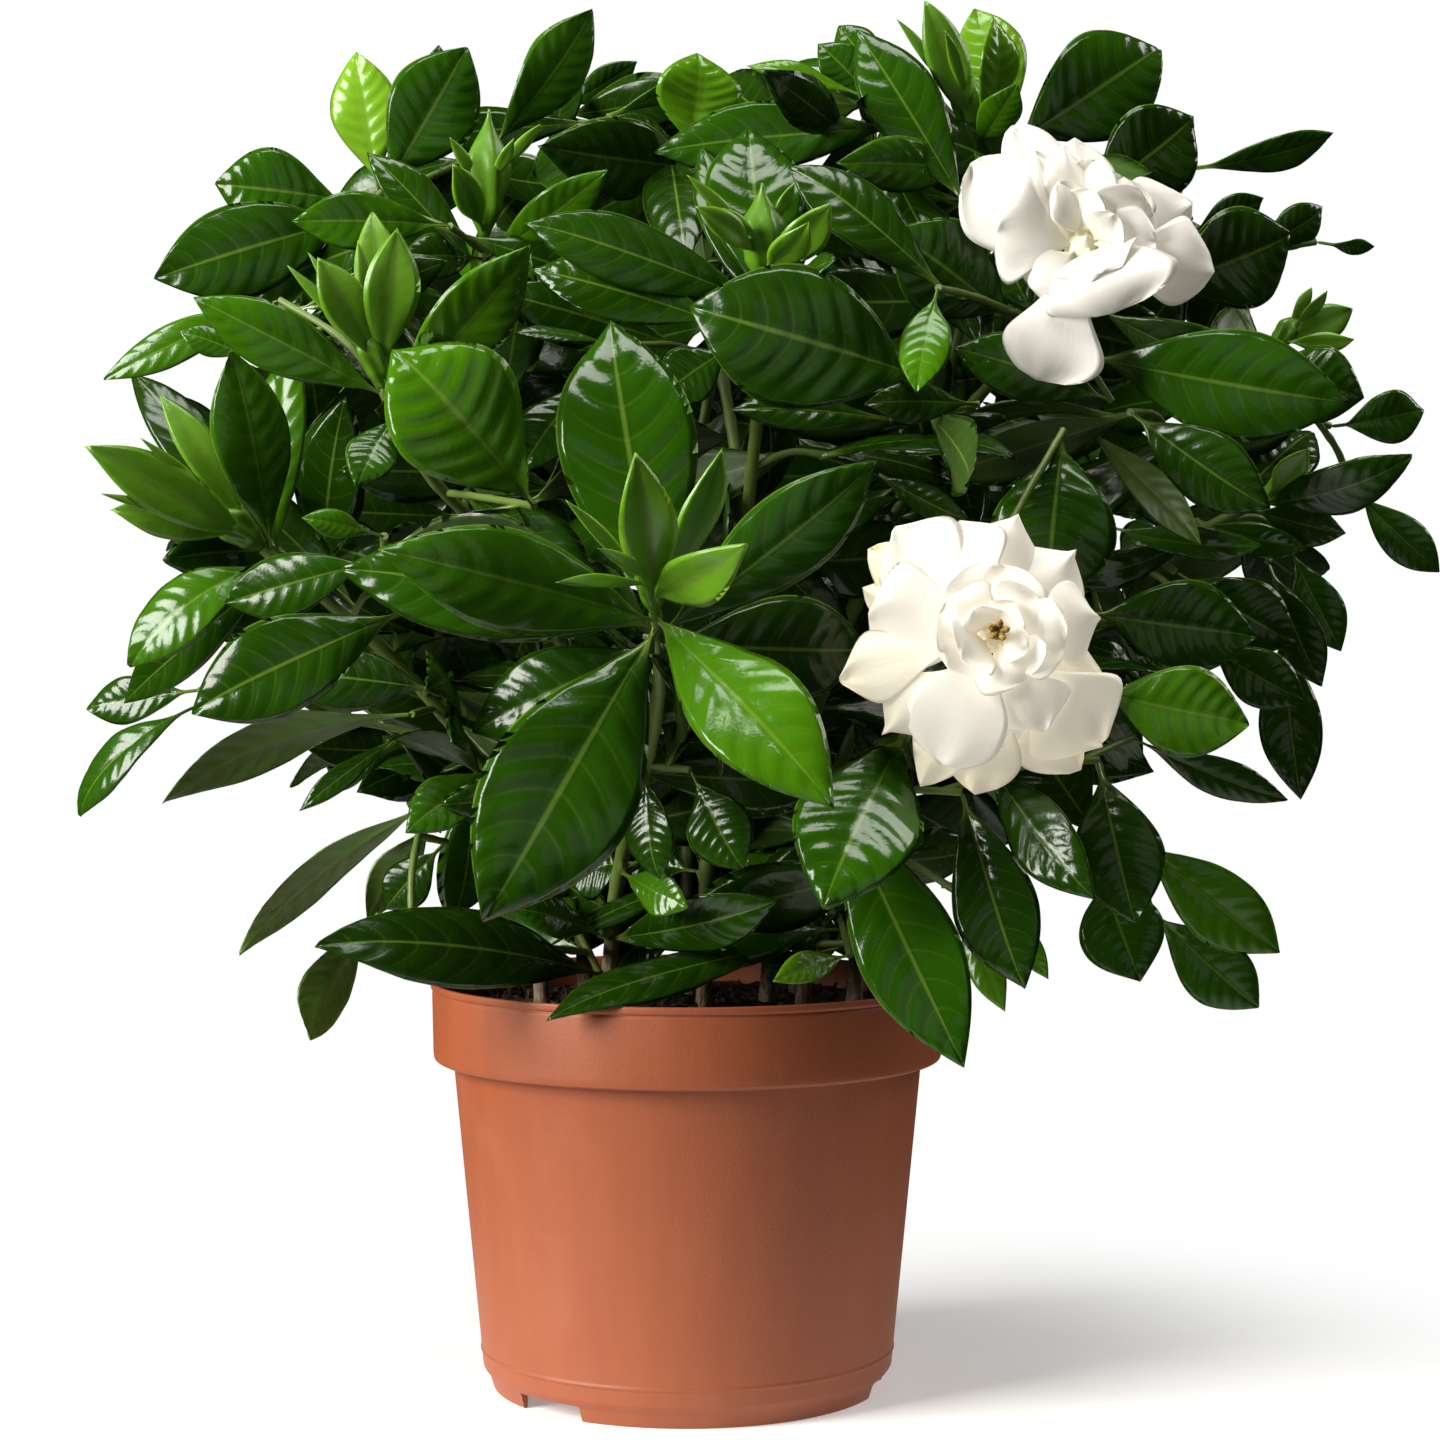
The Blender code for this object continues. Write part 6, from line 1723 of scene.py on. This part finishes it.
def bud_mesh(name, path, radii, ribs, twist, segments=36, rings=26):
    """A ribbed bud that tapers to its point, with the ribs turning round it."""
    start = path[0]
    axis = path[-1] - start
    across = axis.orthogonal().normalized()
    shares = [(point - start).length / axis.length for point in path]
    points = []
    for ring in range(rings):
        share = ring / (rings - 1)
        index = max(k for k in range(len(shares) - 1) if shares[k] <= share)
        local = (share - shares[index]) / (shares[index + 1] - shares[index])
        ease = local * local * (3.0 - 2.0 * local)
        radius = radii[index] + (radii[index + 1] - radii[index]) * ease
        for step in range(segments):
            angle = 2.0 * math.pi * step / segments
            ribbed = RIB_HEIGHT * math.cos(ribs * (angle + twist * share))
            outward = Matrix.Rotation(angle, 3, axis) @ across
            size = radius * (1.0 + ribbed * math.sin(math.pi * min(share * 1.2, 1.0)))
            points.append(start + axis * share + outward * size)
    faces = []
    for low in range(0, (rings - 1) * segments, segments):
        for step in range(segments):
            after = (step + 1) % segments
            faces.append((low + step, low + after, low + segments + after, low + segments + step))
    faces += [tuple(range(segments)), tuple(range((rings - 1) * segments, rings * segments))]
    item = make_object(name, points, faces)
    item.data.shade_smooth()
    return item


def merge(name, *items):
    """One object from several, with their materials."""
    with bpy.context.temp_override(active_object=items[0], selected_editable_objects=list(items)):
        bpy.ops.object.join()
    items[0].name = name
    return items[0]


def turned(name, profile, segments):
    """A closed solid turned about Z from a profile of (radius, height) whose two ends touch the axis."""
    points = []
    rings = []
    for radius, height in profile:
        if radius == 0.0:
            rings.append([len(points)] * segments)
            points.append((0.0, 0.0, height))
            continue
        rings.append(list(range(len(points), len(points) + segments)))
        for step in range(segments):
            angle = 2 * math.pi * step / segments
            points.append((radius * math.cos(angle), radius * math.sin(angle), height))
    faces = []
    for low, high in zip(rings, rings[1:]):
        for step in range(segments):
            after = (step + 1) % segments
            corners = []
            for corner in (low[step], low[after], high[after], high[step]):
                if corner not in corners:
                    corners.append(corner)
            faces.append(tuple(corners))
    return make_object(name, points, faces)


def cut(item, cutters):
    """Takes closed cutters out of a solid and removes them."""
    for index, cutter in enumerate(cutters):
        boolean = item.modifiers.new(f"cut_{index}", "BOOLEAN")
        boolean.operation = "DIFFERENCE"
        boolean.object = cutter
        boolean.solver = "EXACT"
    mesh = plain_mesh(item)
    old = item.data
    item.modifiers.clear()
    item.data = mesh
    bpy.data.meshes.remove(old)
    remove(*cutters)


def rounded(profile, radius, steps=4):
    """The profile with each of its corners, but for its two ends, turned into a small arc."""
    made = [profile[0]]
    for before, corner, after in zip(profile, profile[1:], profile[2:]):
        corner = Vector(corner)
        inward = Vector(before) - corner
        outward = Vector(after) - corner
        reach = min(radius, inward.length * 0.45, outward.length * 0.45)
        first = corner + inward.normalized() * reach
        last = corner + outward.normalized() * reach
        for step in range(steps + 1):
            t = step / steps
            made.append(tuple(first * (1 - t) ** 2 + corner * (2 * t * (1 - t)) + last * t ** 2))
    return made + [profile[-1]]


# Inner leaves, which the solids leave out

def seen_blades(blades):
    """One search tree of all blades, for lines of sight."""
    points = []
    faces = []
    for leaf in blades:
        corners, triangles = blade_mesh(leaf)
        faces += [tuple(len(points) + k for k in triangle) for triangle in triangles]
        points += corners
    return BVHTree.FromPolygons(points, faces)


def within_crown(point, share):
    """Whether a point lies inside a share of the crown, or low over the pot."""
    if point.z < CROWN_LOW:
        return point.z > POT_HEIGHT + RIM_CLEARANCE and math.hypot(point.x, point.y) < POT_RIM_RADIUS
    return Vector([(point - CROWN_MIDDLE)[k] / CROWN_HALF[k] for k in range(3)]).length < share


def keeps_clear_view(leaf, shown):
    """Whether a blade stays inside the crown, and behind every leaf that the photograph shows."""
    hiding = 0
    for corner in blade_mesh(leaf)[0][1:]:
        if not within_crown(corner, CROWN_EDGE) or corner.z > CROWN_LOW and not inside_crown(corner):
            return False
        way = corner - VIEWER
        hit = shown.ray_cast(VIEWER, way.normalized())
        if hit[0] is not None and hit[3] > way.length + 1.0 and hit[0].y < SHOWN_DEPTH:
            hiding += 1
    return hiding < HIDING_CORNERS


def leaves_across(target, way, room, tries, roots, skeleton, placed, draw):
    """Leaves to try across a line of sight near its target, each with its stem and facing against the line."""
    for trial in range(tries):
        point = target + way * draw.uniform(-room, room)
        nearest = sorted(roots, key=lambda r: off_reach(r[1], point, INNER_REACH))
        for stem, root in nearest[:INNER_ROOTS]:
            length = draw.uniform(*INNER_LENGTHS)
            lead = ()
            base = root + off_axis(draw)
            away = (point - base).length
            if away > INNER_LONG_REACH:
                base = point.lerp(base, INNER_REACH / away)
                twig = grow_twig(stem, base, point, skeleton[stem], placed, draw)
                if twig is None:
                    continue
                lead, base = twig
            tip = base + (point - base).normalized() * length
            axis = (tip - base).normalized()
            face = axis * way.dot(axis) - way
            if face.length < EDGE_ON:
                continue
            turn = math.radians(draw.uniform(-INNER_TURN, INNER_TURN))
            face = Matrix.Rotation(turn, 3, axis) @ face.normalized()
            width = length * draw.uniform(*INNER_PROPORTIONS)
            tone = draw.uniform(*INNER_TONES)
            yield stem, Leaf(lead, base, tip, face, width, INNER_ARCH, LEAF_FOLD, tone, "leaf")


def inner_leaves(blades, placed, skeleton):
    """Dark inner leaves by stem, wherever the crown would let the light straight through."""
    draw = random.Random(SEED + 11)
    lowest = SOIL_TOP + INNER_ABOVE_SOIL
    roots = [(stem, point) for stem in skeleton for point, along in skeleton[stem] if point.z > lowest]
    grown = {stem: [] for stem in skeleton}
    shown = seen_blades([leaf for group in blades.values() for leaf in group])
    count = 0
    for turn, height in CROWN_VIEWS:
        spin = Matrix.Rotation(math.radians(turn), 3, "Z") @ Matrix.Rotation(math.radians(-height), 3, "X")
        eye = CROWN_MIDDLE + spin @ Vector((0, -VIEW_DISTANCE, 0))
        whole = seen_blades([leaf for group in (*blades.values(), *grown.values()) for leaf in group])
        added = []
        steps = range(-SIGHT_SPAN, SIGHT_SPAN + 1, SIGHT_STEP if turn else SIGHT_FINE)
        lines = [(x, z) for x in steps for z in steps]
        draw.shuffle(lines)
        for x, z in lines:
            target = CROWN_MIDDLE + spin @ Vector((x, 0, z))
            if not within_crown(target, CROWN_SHARE) or count >= INNER_MOST:
                continue
            way = (target - eye).normalized()
            if whole.ray_cast(eye, way)[0] or any(item.full.ray_cast(eye, way)[0] for item in added):
                continue
            room = INNER_DEPTH * math.sqrt(1.0 - (x / SIGHT_SPAN) ** 2)
            tries = INNER_TRIES if turn else FRONT_TRIES
            for stem, leaf in leaves_across(target, way, room, tries, roots, skeleton, placed, draw):
                if not keeps_clear_view(leaf, shown):
                    continue
                leaf = settle(stem, leaf, draw, placed, grown, INNER_BENDS, INNER_SHIFT)
                if leaf:
                    added.append(placed[-1])
                    if leaf.lead:
                        path = leaf.lead + (leaf.root,)
                        placed.append(place(stem, twig_mesh(path)))
                        roots += [(stem, spot) for spot, along in samples(path)]
                    count += 1
                    break
    return grown


# The plant's layout, once it is worked out
PLANT = {}


def plant():
    """The layout of the whole plant, worked out once: its tubes, its blades and its inner leaves, by node."""
    if not PLANT:
        tubes, blades, placed, skeleton = lay_out()
        PLANT.update(tubes=tubes, blades=blades, inner=inner_leaves(blades, placed, skeleton))
    return PLANT["tubes"], PLANT["blades"], PLANT["inner"]


# Settings

def colour(name, description, default):
    """A setting that is a colour."""
    return FloatVectorProperty(name=name, description=description, default=default, subtype="COLOR", size=3,
                               min=0.0, max=1.0)


def number(name, description, default, **more):
    """A setting that is a number of at least 0."""
    return FloatProperty(name=name, description=description, default=default, min=0.0, **more)


def length(name, description, default):
    """A setting that is a length in metres."""
    return number(name, description, default, subtype="DISTANCE", unit="LENGTH", precision=5)


def power(name, description, default):
    """A setting that is a lamp's power in watts."""
    return number(name, description, default, unit="POWER")


class PotSettings(bpy.types.PropertyGroup):
    """The pot and its soil."""

    ring_height: length("Ring height", "Height of the faint moulded ring above the ground", 0.0143)
    ring_depth: length("Ring depth", "How far the moulded ring stands out", 0.0004)
    corner: length("Corner", "Rounding of the moulded edges", 0.0008)
    chips: number("Chips", "Bark chips a square metre of soil", 26000.0)
    shell: colour("Shell", "Colour of the plastic", (0.288, 0.068, 0.0190))
    shell_deep: colour("Shell deep", "Second tone of the plastic", (0.272, 0.062, 0.0170))
    dust: colour("Dust", "Pale dust on the plastic", (0.345, 0.102, 0.042))
    compost: colour("Compost", "Colour of the moist crumbs", (0.012, 0.007, 0.005))
    compost_fibre: colour("Compost fibre", "Colour of the fibres", (0.060, 0.032, 0.018))
    grit: colour("Grit", "Colour of the pale grains", (0.300, 0.260, 0.200))


class PlantSettings(bpy.types.PropertyGroup):
    """Leaves, stems and flowers."""

    leaf_thickness: length("Leaf thickness", "Thickness of a leaf between its veins", 0.0005)
    petal_thickness: length("Petal thickness", "Thickness of a petal", 0.00055)
    stem_step: length("Stem step", "Distance between the rings of a stem", 0.0022)
    quilting: number("Quilting", "Height between side veins as a share of the width", 0.018, max=0.1)
    twist: number("Twist", "How much a leaf may turn about its midrib", 0.7, max=2.0, subtype="ANGLE")
    leaf_roughness: number("Leaf roughness", "Roughness of the upper side", 0.18, max=1.0, subtype="FACTOR")
    leaf_old: colour("Old leaf", "Colour of the oldest leaves", (0.0076, 0.0280, 0.0004))
    leaf_mid: colour("Grown leaf", "Colour of grown leaves", (0.0158, 0.0660, 0.0005))
    leaf_fresh: colour("Fresh leaf", "Colour of fresh leaves", (0.0480, 0.1520, 0.0014))
    leaf_young: colour("Young leaf", "Colour of the youngest leaves", (0.1300, 0.2850, 0.0110))
    vein: colour("Vein", "Colour of the midrib and veins", (0.1200, 0.2000, 0.0220))
    underside: colour("Underside", "Colour of a leaf's underside", (0.0740, 0.1260, 0.0200))
    stem_green: colour("Green stem", "Colour of young stems", (0.0900, 0.1500, 0.0220))
    stem_olive: colour("Olive stem", "Second tone of young stems", (0.1200, 0.1250, 0.0320))
    wood_dark: colour("Dark wood", "Colour of the bark's fissures", (0.0550, 0.0350, 0.0200))
    wood_pale: colour("Pale wood", "Colour of the bark", (0.2200, 0.1550, 0.0950))
    petal: colour("Petal", "Colour of the petals", (0.7600, 0.7480, 0.7000))
    petal_shade: colour("Petal shade", "Second tone of the petals", (0.7300, 0.7120, 0.6450))
    petal_old: colour("Old petal", "Colour of older petals", (0.8000, 0.7200, 0.3800))
    # Cream of the petal's throat, also laid on strongly enough to paint shade where petals overlap
    petal_throat_and_shade: colour("Petal base", "Colour in the throat", (0.8000, 0.7600, 0.5000))
    petal_edge: colour("Petal edge", "Colour along the edges of older petals", (0.7800, 0.6200, 0.2600))
    heart: colour("Heart", "Colour of the anthers", (0.5000, 0.3400, 0.0800))
    heart_dark: colour("Heart dark", "Colour of the specks on the anthers", (0.2000, 0.1100, 0.0300))


class StageSettings(bpy.types.PropertyGroup):
    """Camera, light and floor."""

    lens: number("Lens", "Focal length in millimetres", VIEW_FOCAL / FRAME * SENSOR_WIDTH, unit="CAMERA")
    key_power: power("Key", "Power of the main light", 54.0)
    overhead_power: power("Overhead", "Power of the light above", 15.0)
    front_power: power("Front", "Power of the light in front", 1.2)
    edge_power: power("Edge", "Power of the light behind", 7.0)
    sky: number("Sky", "How strongly the white surround lights the plant", 0.038)
    floor: colour("Floor", "Colour of the floor", (0.86, 0.86, 0.86))


# Operators

class GARDENIA_OT_pot(bpy.types.Operator):
    """Turns the pot with its stepped band, thin lip, moulded ring, foot notches and drain holes"""

    bl_idname = "gardenia.pot"
    bl_label = "Make the pot"

    def execute(self, context):
        look = context.scene.gardenia_pot
        band_low = POT_HEIGHT - POT_BAND_HEIGHT
        band_floor = band_low + BAND_FLOOR
        floor_top = POT_FOOT_HEIGHT + FLOOR_THICKNESS
        lip_low = POT_HEIGHT - LIP_HEIGHT
        ring = look.ring_height / MM
        proud = look.ring_depth / MM

        def wall(height):
            """The outer radius of the tapered wall at a height."""
            low = POT_FOOT_HEIGHT + FOOT_FLARE
            share = (height - low) / (band_floor - low)
            return POT_BODY_BOTTOM_RADIUS + (POT_BODY_TOP_RADIUS - POT_BODY_BOTTOM_RADIUS) * share

        outline = [
            (0.0, 0.0),
            (PAD_RADIUS, 0.0),
            (PAD_RADIUS - PAD_TAPER, POT_FOOT_HEIGHT),
            (POT_FOOT_RADIUS - POT_WALL, POT_FOOT_HEIGHT),
            (POT_FOOT_RADIUS - POT_WALL, 0.0),
            (POT_FOOT_RADIUS, 0.0),
            (POT_FOOT_RADIUS + FOOT_FLARE, POT_FOOT_HEIGHT - FOOT_FLARE),
            (POT_BODY_BOTTOM_RADIUS, POT_FOOT_HEIGHT + FOOT_FLARE),
            (wall(ring - RING_FOOT), ring - RING_FOOT),
            (wall(ring) + proud, ring - RING_TOP),
            (wall(ring) + proud, ring + RING_TOP),
            (wall(ring + RING_FOOT), ring + RING_FOOT),
            (POT_BODY_TOP_RADIUS, band_floor),
            (POT_RIM_RADIUS - BAND_INSET - 1.6, band_floor),
            (POT_RIM_RADIUS - BAND_INSET + 0.2, band_floor + 0.9),
            (POT_RIM_RADIUS - BAND_EDGE, band_floor + BAND_ROUNDING + 0.6),
            (POT_RIM_RADIUS - LIP_STEP, lip_low - LIP_STEP - 0.8),
            (POT_RIM_RADIUS - LIP_STEP - 0.7, lip_low - LIP_STEP),
            (POT_RIM_RADIUS - 0.1, lip_low),
            (POT_RIM_RADIUS, POT_HEIGHT),
            (POT_RIM_RADIUS - RIM_THICKNESS, POT_HEIGHT),
            (POT_RIM_RADIUS - BAND_WALL, lip_low - LIP_STEP),
            (POT_RIM_RADIUS - BAND_WALL, band_low + LEDGE_HEIGHT),
            (POT_BODY_TOP_RADIUS - POT_WALL, band_floor),
            (POT_BODY_BOTTOM_RADIUS - POT_WALL, floor_top + FLOOR_BEVEL),
            (POT_BODY_BOTTOM_RADIUS - POT_WALL - FLOOR_BEVEL, floor_top),
            (0.0, floor_top),
        ]
        pot = turned("nursery_pot", rounded(outline, look.corner / MM), POT_FACETS)
        cutters = []
        for index, angle in enumerate(NOTCH_ANGLES):
            turn = Matrix.Rotation(math.radians(angle), 3, "Z")
            reach = [POT_FOOT_RADIUS + step for step in NOTCH_REACH]
            half = NOTCH_WIDTH / 2
            corners = [(r, s, z) for z in (-CUT_PAST, NOTCH_DEPTH) for r, s in
                       ((reach[0], -half), (reach[1], -half), (reach[1], half), (reach[0], half))]
            cutters.append(make_object(f"notch_{index}", [turn @ Vector(c) for c in corners], BOX_FACES))
        for index in range(DRAIN_COUNT):
            angle = 2 * math.pi * (index + 0.5) / DRAIN_COUNT
            centre = Vector((DRAIN_CIRCLE * math.cos(angle), DRAIN_CIRCLE * math.sin(angle), 0.0))
            path = [centre + Vector((0, 0, z)) for z in (POT_FOOT_HEIGHT - CUT_PAST, floor_top + CUT_PAST)]
            cutters.append(make_object(f"drain_{index}", *tube_mesh(path, [DRAIN_RADIUS] * 2, DRAIN_FACETS)))
        cut(pot, cutters)
        pot.data.shade_smooth()
        pot.data.set_sharp_from_angle(angle=math.radians(POT_SHARP))
        pot.data.materials.clear()
        pot.data.materials.append(pot_finish(look))
        dress(pot, "terracotta_plastic", "pot")
        return {"FINISHED"}


class GARDENIA_OT_compost(bpy.types.Operator):
    """Fills the pot with crumbly compost and scatters bark chips on it"""

    bl_idname = "gardenia.compost"
    bl_label = "Make the compost"

    def execute(self, context):
        look = context.scene.gardenia_pot
        draw = random.Random(SEED + 3)
        band_low = POT_HEIGHT - POT_BAND_HEIGHT
        floor_top = POT_FOOT_HEIGHT + FLOOR_THICKNESS
        bottom = POT_BODY_BOTTOM_RADIUS - POT_WALL - GAP
        edge = POT_RIM_RADIUS - BAND_WALL - GAP
        outline = [(0.0, floor_top + GAP), (bottom - FLOOR_BEVEL - GAP, floor_top + GAP),
                   (bottom, floor_top + FLOOR_BEVEL + GAP),
                   (POT_BODY_TOP_RADIUS - POT_WALL - GAP, band_low + BAND_FLOOR + GAP),
                   (edge, band_low + LEDGE_HEIGHT + 2 * GAP), (edge, SOIL_TOP - SOIL_EDGE_DROP)]
        outline += [(edge * (1 - k / SOIL_RINGS), SOIL_TOP) for k in range(1, SOIL_RINGS)] + [(0.0, SOIL_TOP)]
        soil = turned("compost_body", outline, POT_FACETS)
        for vertex in soil.data.vertices:
            if vertex.co.z > (SOIL_TOP - 0.5) * MM:
                vertex.co.z += draw.uniform(-1, 1) * SOIL_ROUGHNESS * MM
        chip = make_object("chip", CHIP_CORNERS, BOX_FACES)
        compost = run_tree("compost_bed", soil, litter_tree("Scattered chips"), {
            "Chip": chip,
            "Chips a square metre": look.chips,
            "Seed": SEED,
            "Finish": compost_finish(look),
        })
        remove(chip)
        dress(compost, "compost", "soil")
        return {"FINISHED"}


class GARDENIA_OT_leafy_stems(bpy.types.Operator):
    """Grows every rooted stem with its branches, twigs and glossy leaves"""

    bl_idname = "gardenia.leafy_stems"
    bl_label = "Grow the leafy stems"

    def execute(self, context):
        look = context.scene.gardenia_plant
        tubes, blades, inner = plant()
        tree = foliage_tree("Leafy stem")
        fine = flat_blade("flat_leaf", VEIN_PAIRS * RINGS_A_VEIN, LEAF_COLUMNS)
        plain = flat_blade("flat_inner_leaf", VEIN_PAIRS * INNER_RINGS_A_VEIN, INNER_COLUMNS)
        finishes = (leaf_finish(look), bark_finish(look))
        draw = random.Random(SEED + 5)
        for stem in ROOTS:
            lines = [(path, radii) for path, radii, sides in tubes[stem]] + twig_lines(blades[stem])
            outer = foliage(stem + "_outer", tree, blades[stem], fine, lines, finishes, look, draw)
            lines = twig_lines(inner[stem])
            hidden = foliage(stem + "_inner", tree, inner[stem], plain, lines, finishes, look, draw)
            dress(merge("leafy_" + stem, outer, hidden), "leaf_green", stem)
        remove(fine, plain)
        return {"FINISHED"}


class GARDENIA_OT_young_tips(bpy.types.Operator):
    """Grows the ribbed buds with their calyx teeth and young leaves"""

    bl_idname = "gardenia.young_tips"
    bl_label = "Grow the young tips"

    def execute(self, context):
        look = context.scene.gardenia_plant
        tubes, blades = plant()[:2]
        tree = foliage_tree("Young tip")
        leaf = flat_blade("flat_young_leaf", YOUNG_RINGS, YOUNG_COLUMNS)
        finish = young_finish(look)
        draw = random.Random(SEED + 7)
        for tip in YOUNG_TIPS:
            path, radii, sides = tubes[tip][0]
            stub = [([path[0], path[0].lerp(path[1], STUB_SHARE)], [radii[0], radii[0]])]
            leaves = foliage(tip + "_leaves", tree, blades[tip], leaf, stub, (finish, finish), look, draw,
                             {"Quilting": look.quilting * YOUNG_QUILTING})
            bud = bud_mesh(tip + "_bud", path, radii, ribs=5, twist=1.1)
            bud.data.materials.append(finish)
            dress(merge("young_" + tip, leaves, bud), "young_green", tip)
        remove(leaf)
        return {"FINISHED"}


class GARDENIA_OT_blooms(bpy.types.Operator):
    """Grows the two double blooms with their waxy petals and green necks"""

    bl_idname = "gardenia.blooms"
    bl_label = "Grow the blooms"

    def execute(self, context):
        look = context.scene.gardenia_plant
        tubes, blades = plant()[:2]
        tree = foliage_tree("Bloom", True)
        petal = flat_blade("flat_petal", PETAL_RINGS, PETAL_COLUMNS)
        green = young_finish(look)
        draw = random.Random(SEED + 9)
        for bloom, painted_glow in BLOOM_PAINTED_GLOW.items():
            wax = petal_finish(look, bloom + " wax", painted_glow)
            path, radii, sides = tubes[bloom][0]
            neck = [([path[0], path[0].lerp(path[1], NECK_SHARE)], [radii[0], radii[0] * NECK_FLARE])]
            core = bud_mesh(bloom + "_core", [path[0].lerp(path[1], k / 3) for k in range(4)],
                            [radii[0] * 0.9, radii[1] * 0.72, radii[1] * 0.66, 0.6], ribs=3, twist=1.6)
            core.data.materials.append(wax)
            petals = foliage(bloom + "_petals", tree, blades[bloom], petal, neck, (wax, green), look, draw,
                             {"Quilting": 0.0, "Blade thickness": look.petal_thickness})
            dress(merge("double_" + bloom, petals, core), "petal_white", bloom)
        remove(petal)
        return {"FINISHED"}


class GARDENIA_OT_heart(bpy.types.Operator):
    """Makes the stigma and curled anthers in the middle of the open bloom"""

    bl_idname = "gardenia.heart"
    bl_label = "Make the heart"

    def execute(self, context):
        look = context.scene.gardenia_plant
        centre, front = petals_of(SHOOTS["bloom_front"], FRONT_PETALS)[1:]
        base = centre + front * (CORE_HALF - HEART_DEPTH + GAP)
        top = centre + front * HEART_TOP
        post = bud_mesh("stigma", [base, base.lerp(top, 0.45), base.lerp(top, 0.8), top],
                        [HEART_RADIUS, HEART_RADIUS * 0.6, HEART_RADIUS, 0.8], ribs=4, twist=0.6)
        lobes = []
        across = front.orthogonal().normalized()
        for k in range(LOBE_COUNT):
            outward = Matrix.Rotation(2 * math.pi * k / LOBE_COUNT, 3, front) @ across
            start = centre + front * LOBE_FROM
            end = centre + front * LOBE_TO + outward * LOBE_SPREAD
            path = [start, start.lerp(end, 0.35), start.lerp(end, 0.75), end]
            lobes.append(bud_mesh(f"anther_{k}", path, LOBE_RADII, ribs=2, twist=0.5, segments=16, rings=12))
        heart = merge("bloom_heart", post, *lobes)
        heart.data.materials.clear()
        heart.data.materials.append(heart_finish(look))
        dress(heart, "heart_yellow", "heart_front")
        return {"FINISHED"}


class GARDENIA_OT_stage(bpy.types.Operator):
    """Sets the pale floor, the soft light, the white surround and the camera at the photograph's place"""

    bl_idname = "gardenia.stage"
    bl_label = "Set the stage"

    def execute(self, context):
        look = context.scene.gardenia_stage
        scene = context.scene
        corners = [(x * FLOOR_HALF, y * FLOOR_HALF, 0) for x, y in ((-1, -1), (1, -1), (1, 1), (-1, 1))]
        floor = make_object("floor", corners, [(0, 1, 2, 3)])
        material, m, shader = new_finish("pale floor", Specular_IOR_Level=0.1, Emission_Strength=FLOOR_GLOW,
                                         Emission_Color=(1.0, 1.0, 1.0, 1.0))
        where = m.where()
        cloud = m.noise(where, 3.0, 2.0)
        shade = m.blend((cloud - 0.5) * 0.04, look.floor, (0.8, 0.8, 0.8))
        feed(m, shader, shade, 0.75 + (cloud - 0.5) * 0.1)
        away = m.add("ShaderNodeVectorMath", {"operation": "LENGTH"}, {"Vector": where}, "Value")
        m.tree.links.new((1.0 - m.ease(away, *FLOOR_FADE)).socket, shader.inputs["Alpha"])
        floor.data.materials.append(material)
        world = bpy.data.worlds.new("white surround")
        scene.world = world
        world.use_nodes = True
        surround = Maker(world.node_tree)
        seen = surround.add("ShaderNodeLightPath", None, None, "Is Camera Ray")
        backdrop = world.node_tree.nodes["Background"]
        tint = surround.blend(seen, SKY_COLOUR, (1.0, 1.0, 1.0))
        world.node_tree.links.new(tint.socket, backdrop.inputs["Color"])
        strength = look.sky + seen * (1.0 - look.sky)
        world.node_tree.links.new(strength.socket, backdrop.inputs["Strength"])
        for name, (size, where, aim) in LAMPS.items():
            lamp = bpy.data.lights.new(name, "AREA")
            lamp.energy = getattr(look, name + "_power")
            lamp.color = LAMP_COLOUR
            lamp.shape = "RECTANGLE"
            lamp.size, lamp.size_y = size
            item = stand(name, lamp)
            item.location = where
            item.rotation_euler = (Vector(aim) - Vector(where)).to_track_quat("-Z", "Y").to_euler()
        camera = stand("camera", bpy.data.cameras.new("camera"))
        camera.location = (VIEW_SIDE * MM, -VIEW_DISTANCE * MM, VIEW_HEIGHT * MM)
        camera.rotation_euler = (math.radians(90.0), 0.0, 0.0)
        camera.data.sensor_width = SENSOR_WIDTH
        camera.data.lens = look.lens
        camera.data.shift_y = (VIEW_HORIZON - FRAME / 2) / FRAME
        scene.camera = camera
        scene.view_settings.view_transform = "Standard"
        return {"FINISHED"}


STEPS = (GARDENIA_OT_pot, GARDENIA_OT_compost, GARDENIA_OT_leafy_stems, GARDENIA_OT_young_tips,
         GARDENIA_OT_blooms, GARDENIA_OT_heart, GARDENIA_OT_stage)


class GARDENIA_PT_panel(bpy.types.Panel):
    """The gardenia's settings and steps in the sidebar"""

    bl_idname = "GARDENIA_PT_panel"
    bl_label = "Gardenia"
    bl_space_type = "VIEW_3D"
    bl_region_type = "UI"
    bl_category = "Gardenia"

    def draw(self, context):
        for group in (context.scene.gardenia_pot, context.scene.gardenia_plant, context.scene.gardenia_stage):
            box = self.layout.box()
            for label in group.__annotations__:
                box.prop(group, label)
        for step in STEPS:
            self.layout.operator(step.bl_idname)


CLASSES = (PotSettings, PlantSettings, StageSettings, *STEPS, GARDENIA_PT_panel)


def register():
    for item in CLASSES:
        bpy.utils.register_class(item)
    bpy.types.Scene.gardenia_pot = PointerProperty(type=PotSettings)
    bpy.types.Scene.gardenia_plant = PointerProperty(type=PlantSettings)
    bpy.types.Scene.gardenia_stage = PointerProperty(type=StageSettings)


def unregister():
    del bpy.types.Scene.gardenia_pot
    del bpy.types.Scene.gardenia_plant
    del bpy.types.Scene.gardenia_stage
    for item in reversed(CLASSES):
        bpy.utils.unregister_class(item)


def main():
    register()
    for step in STEPS:
        group, name = step.bl_idname.split(".")
        getattr(getattr(bpy.ops, group), name)()


if __name__ == "__main__":
    main()
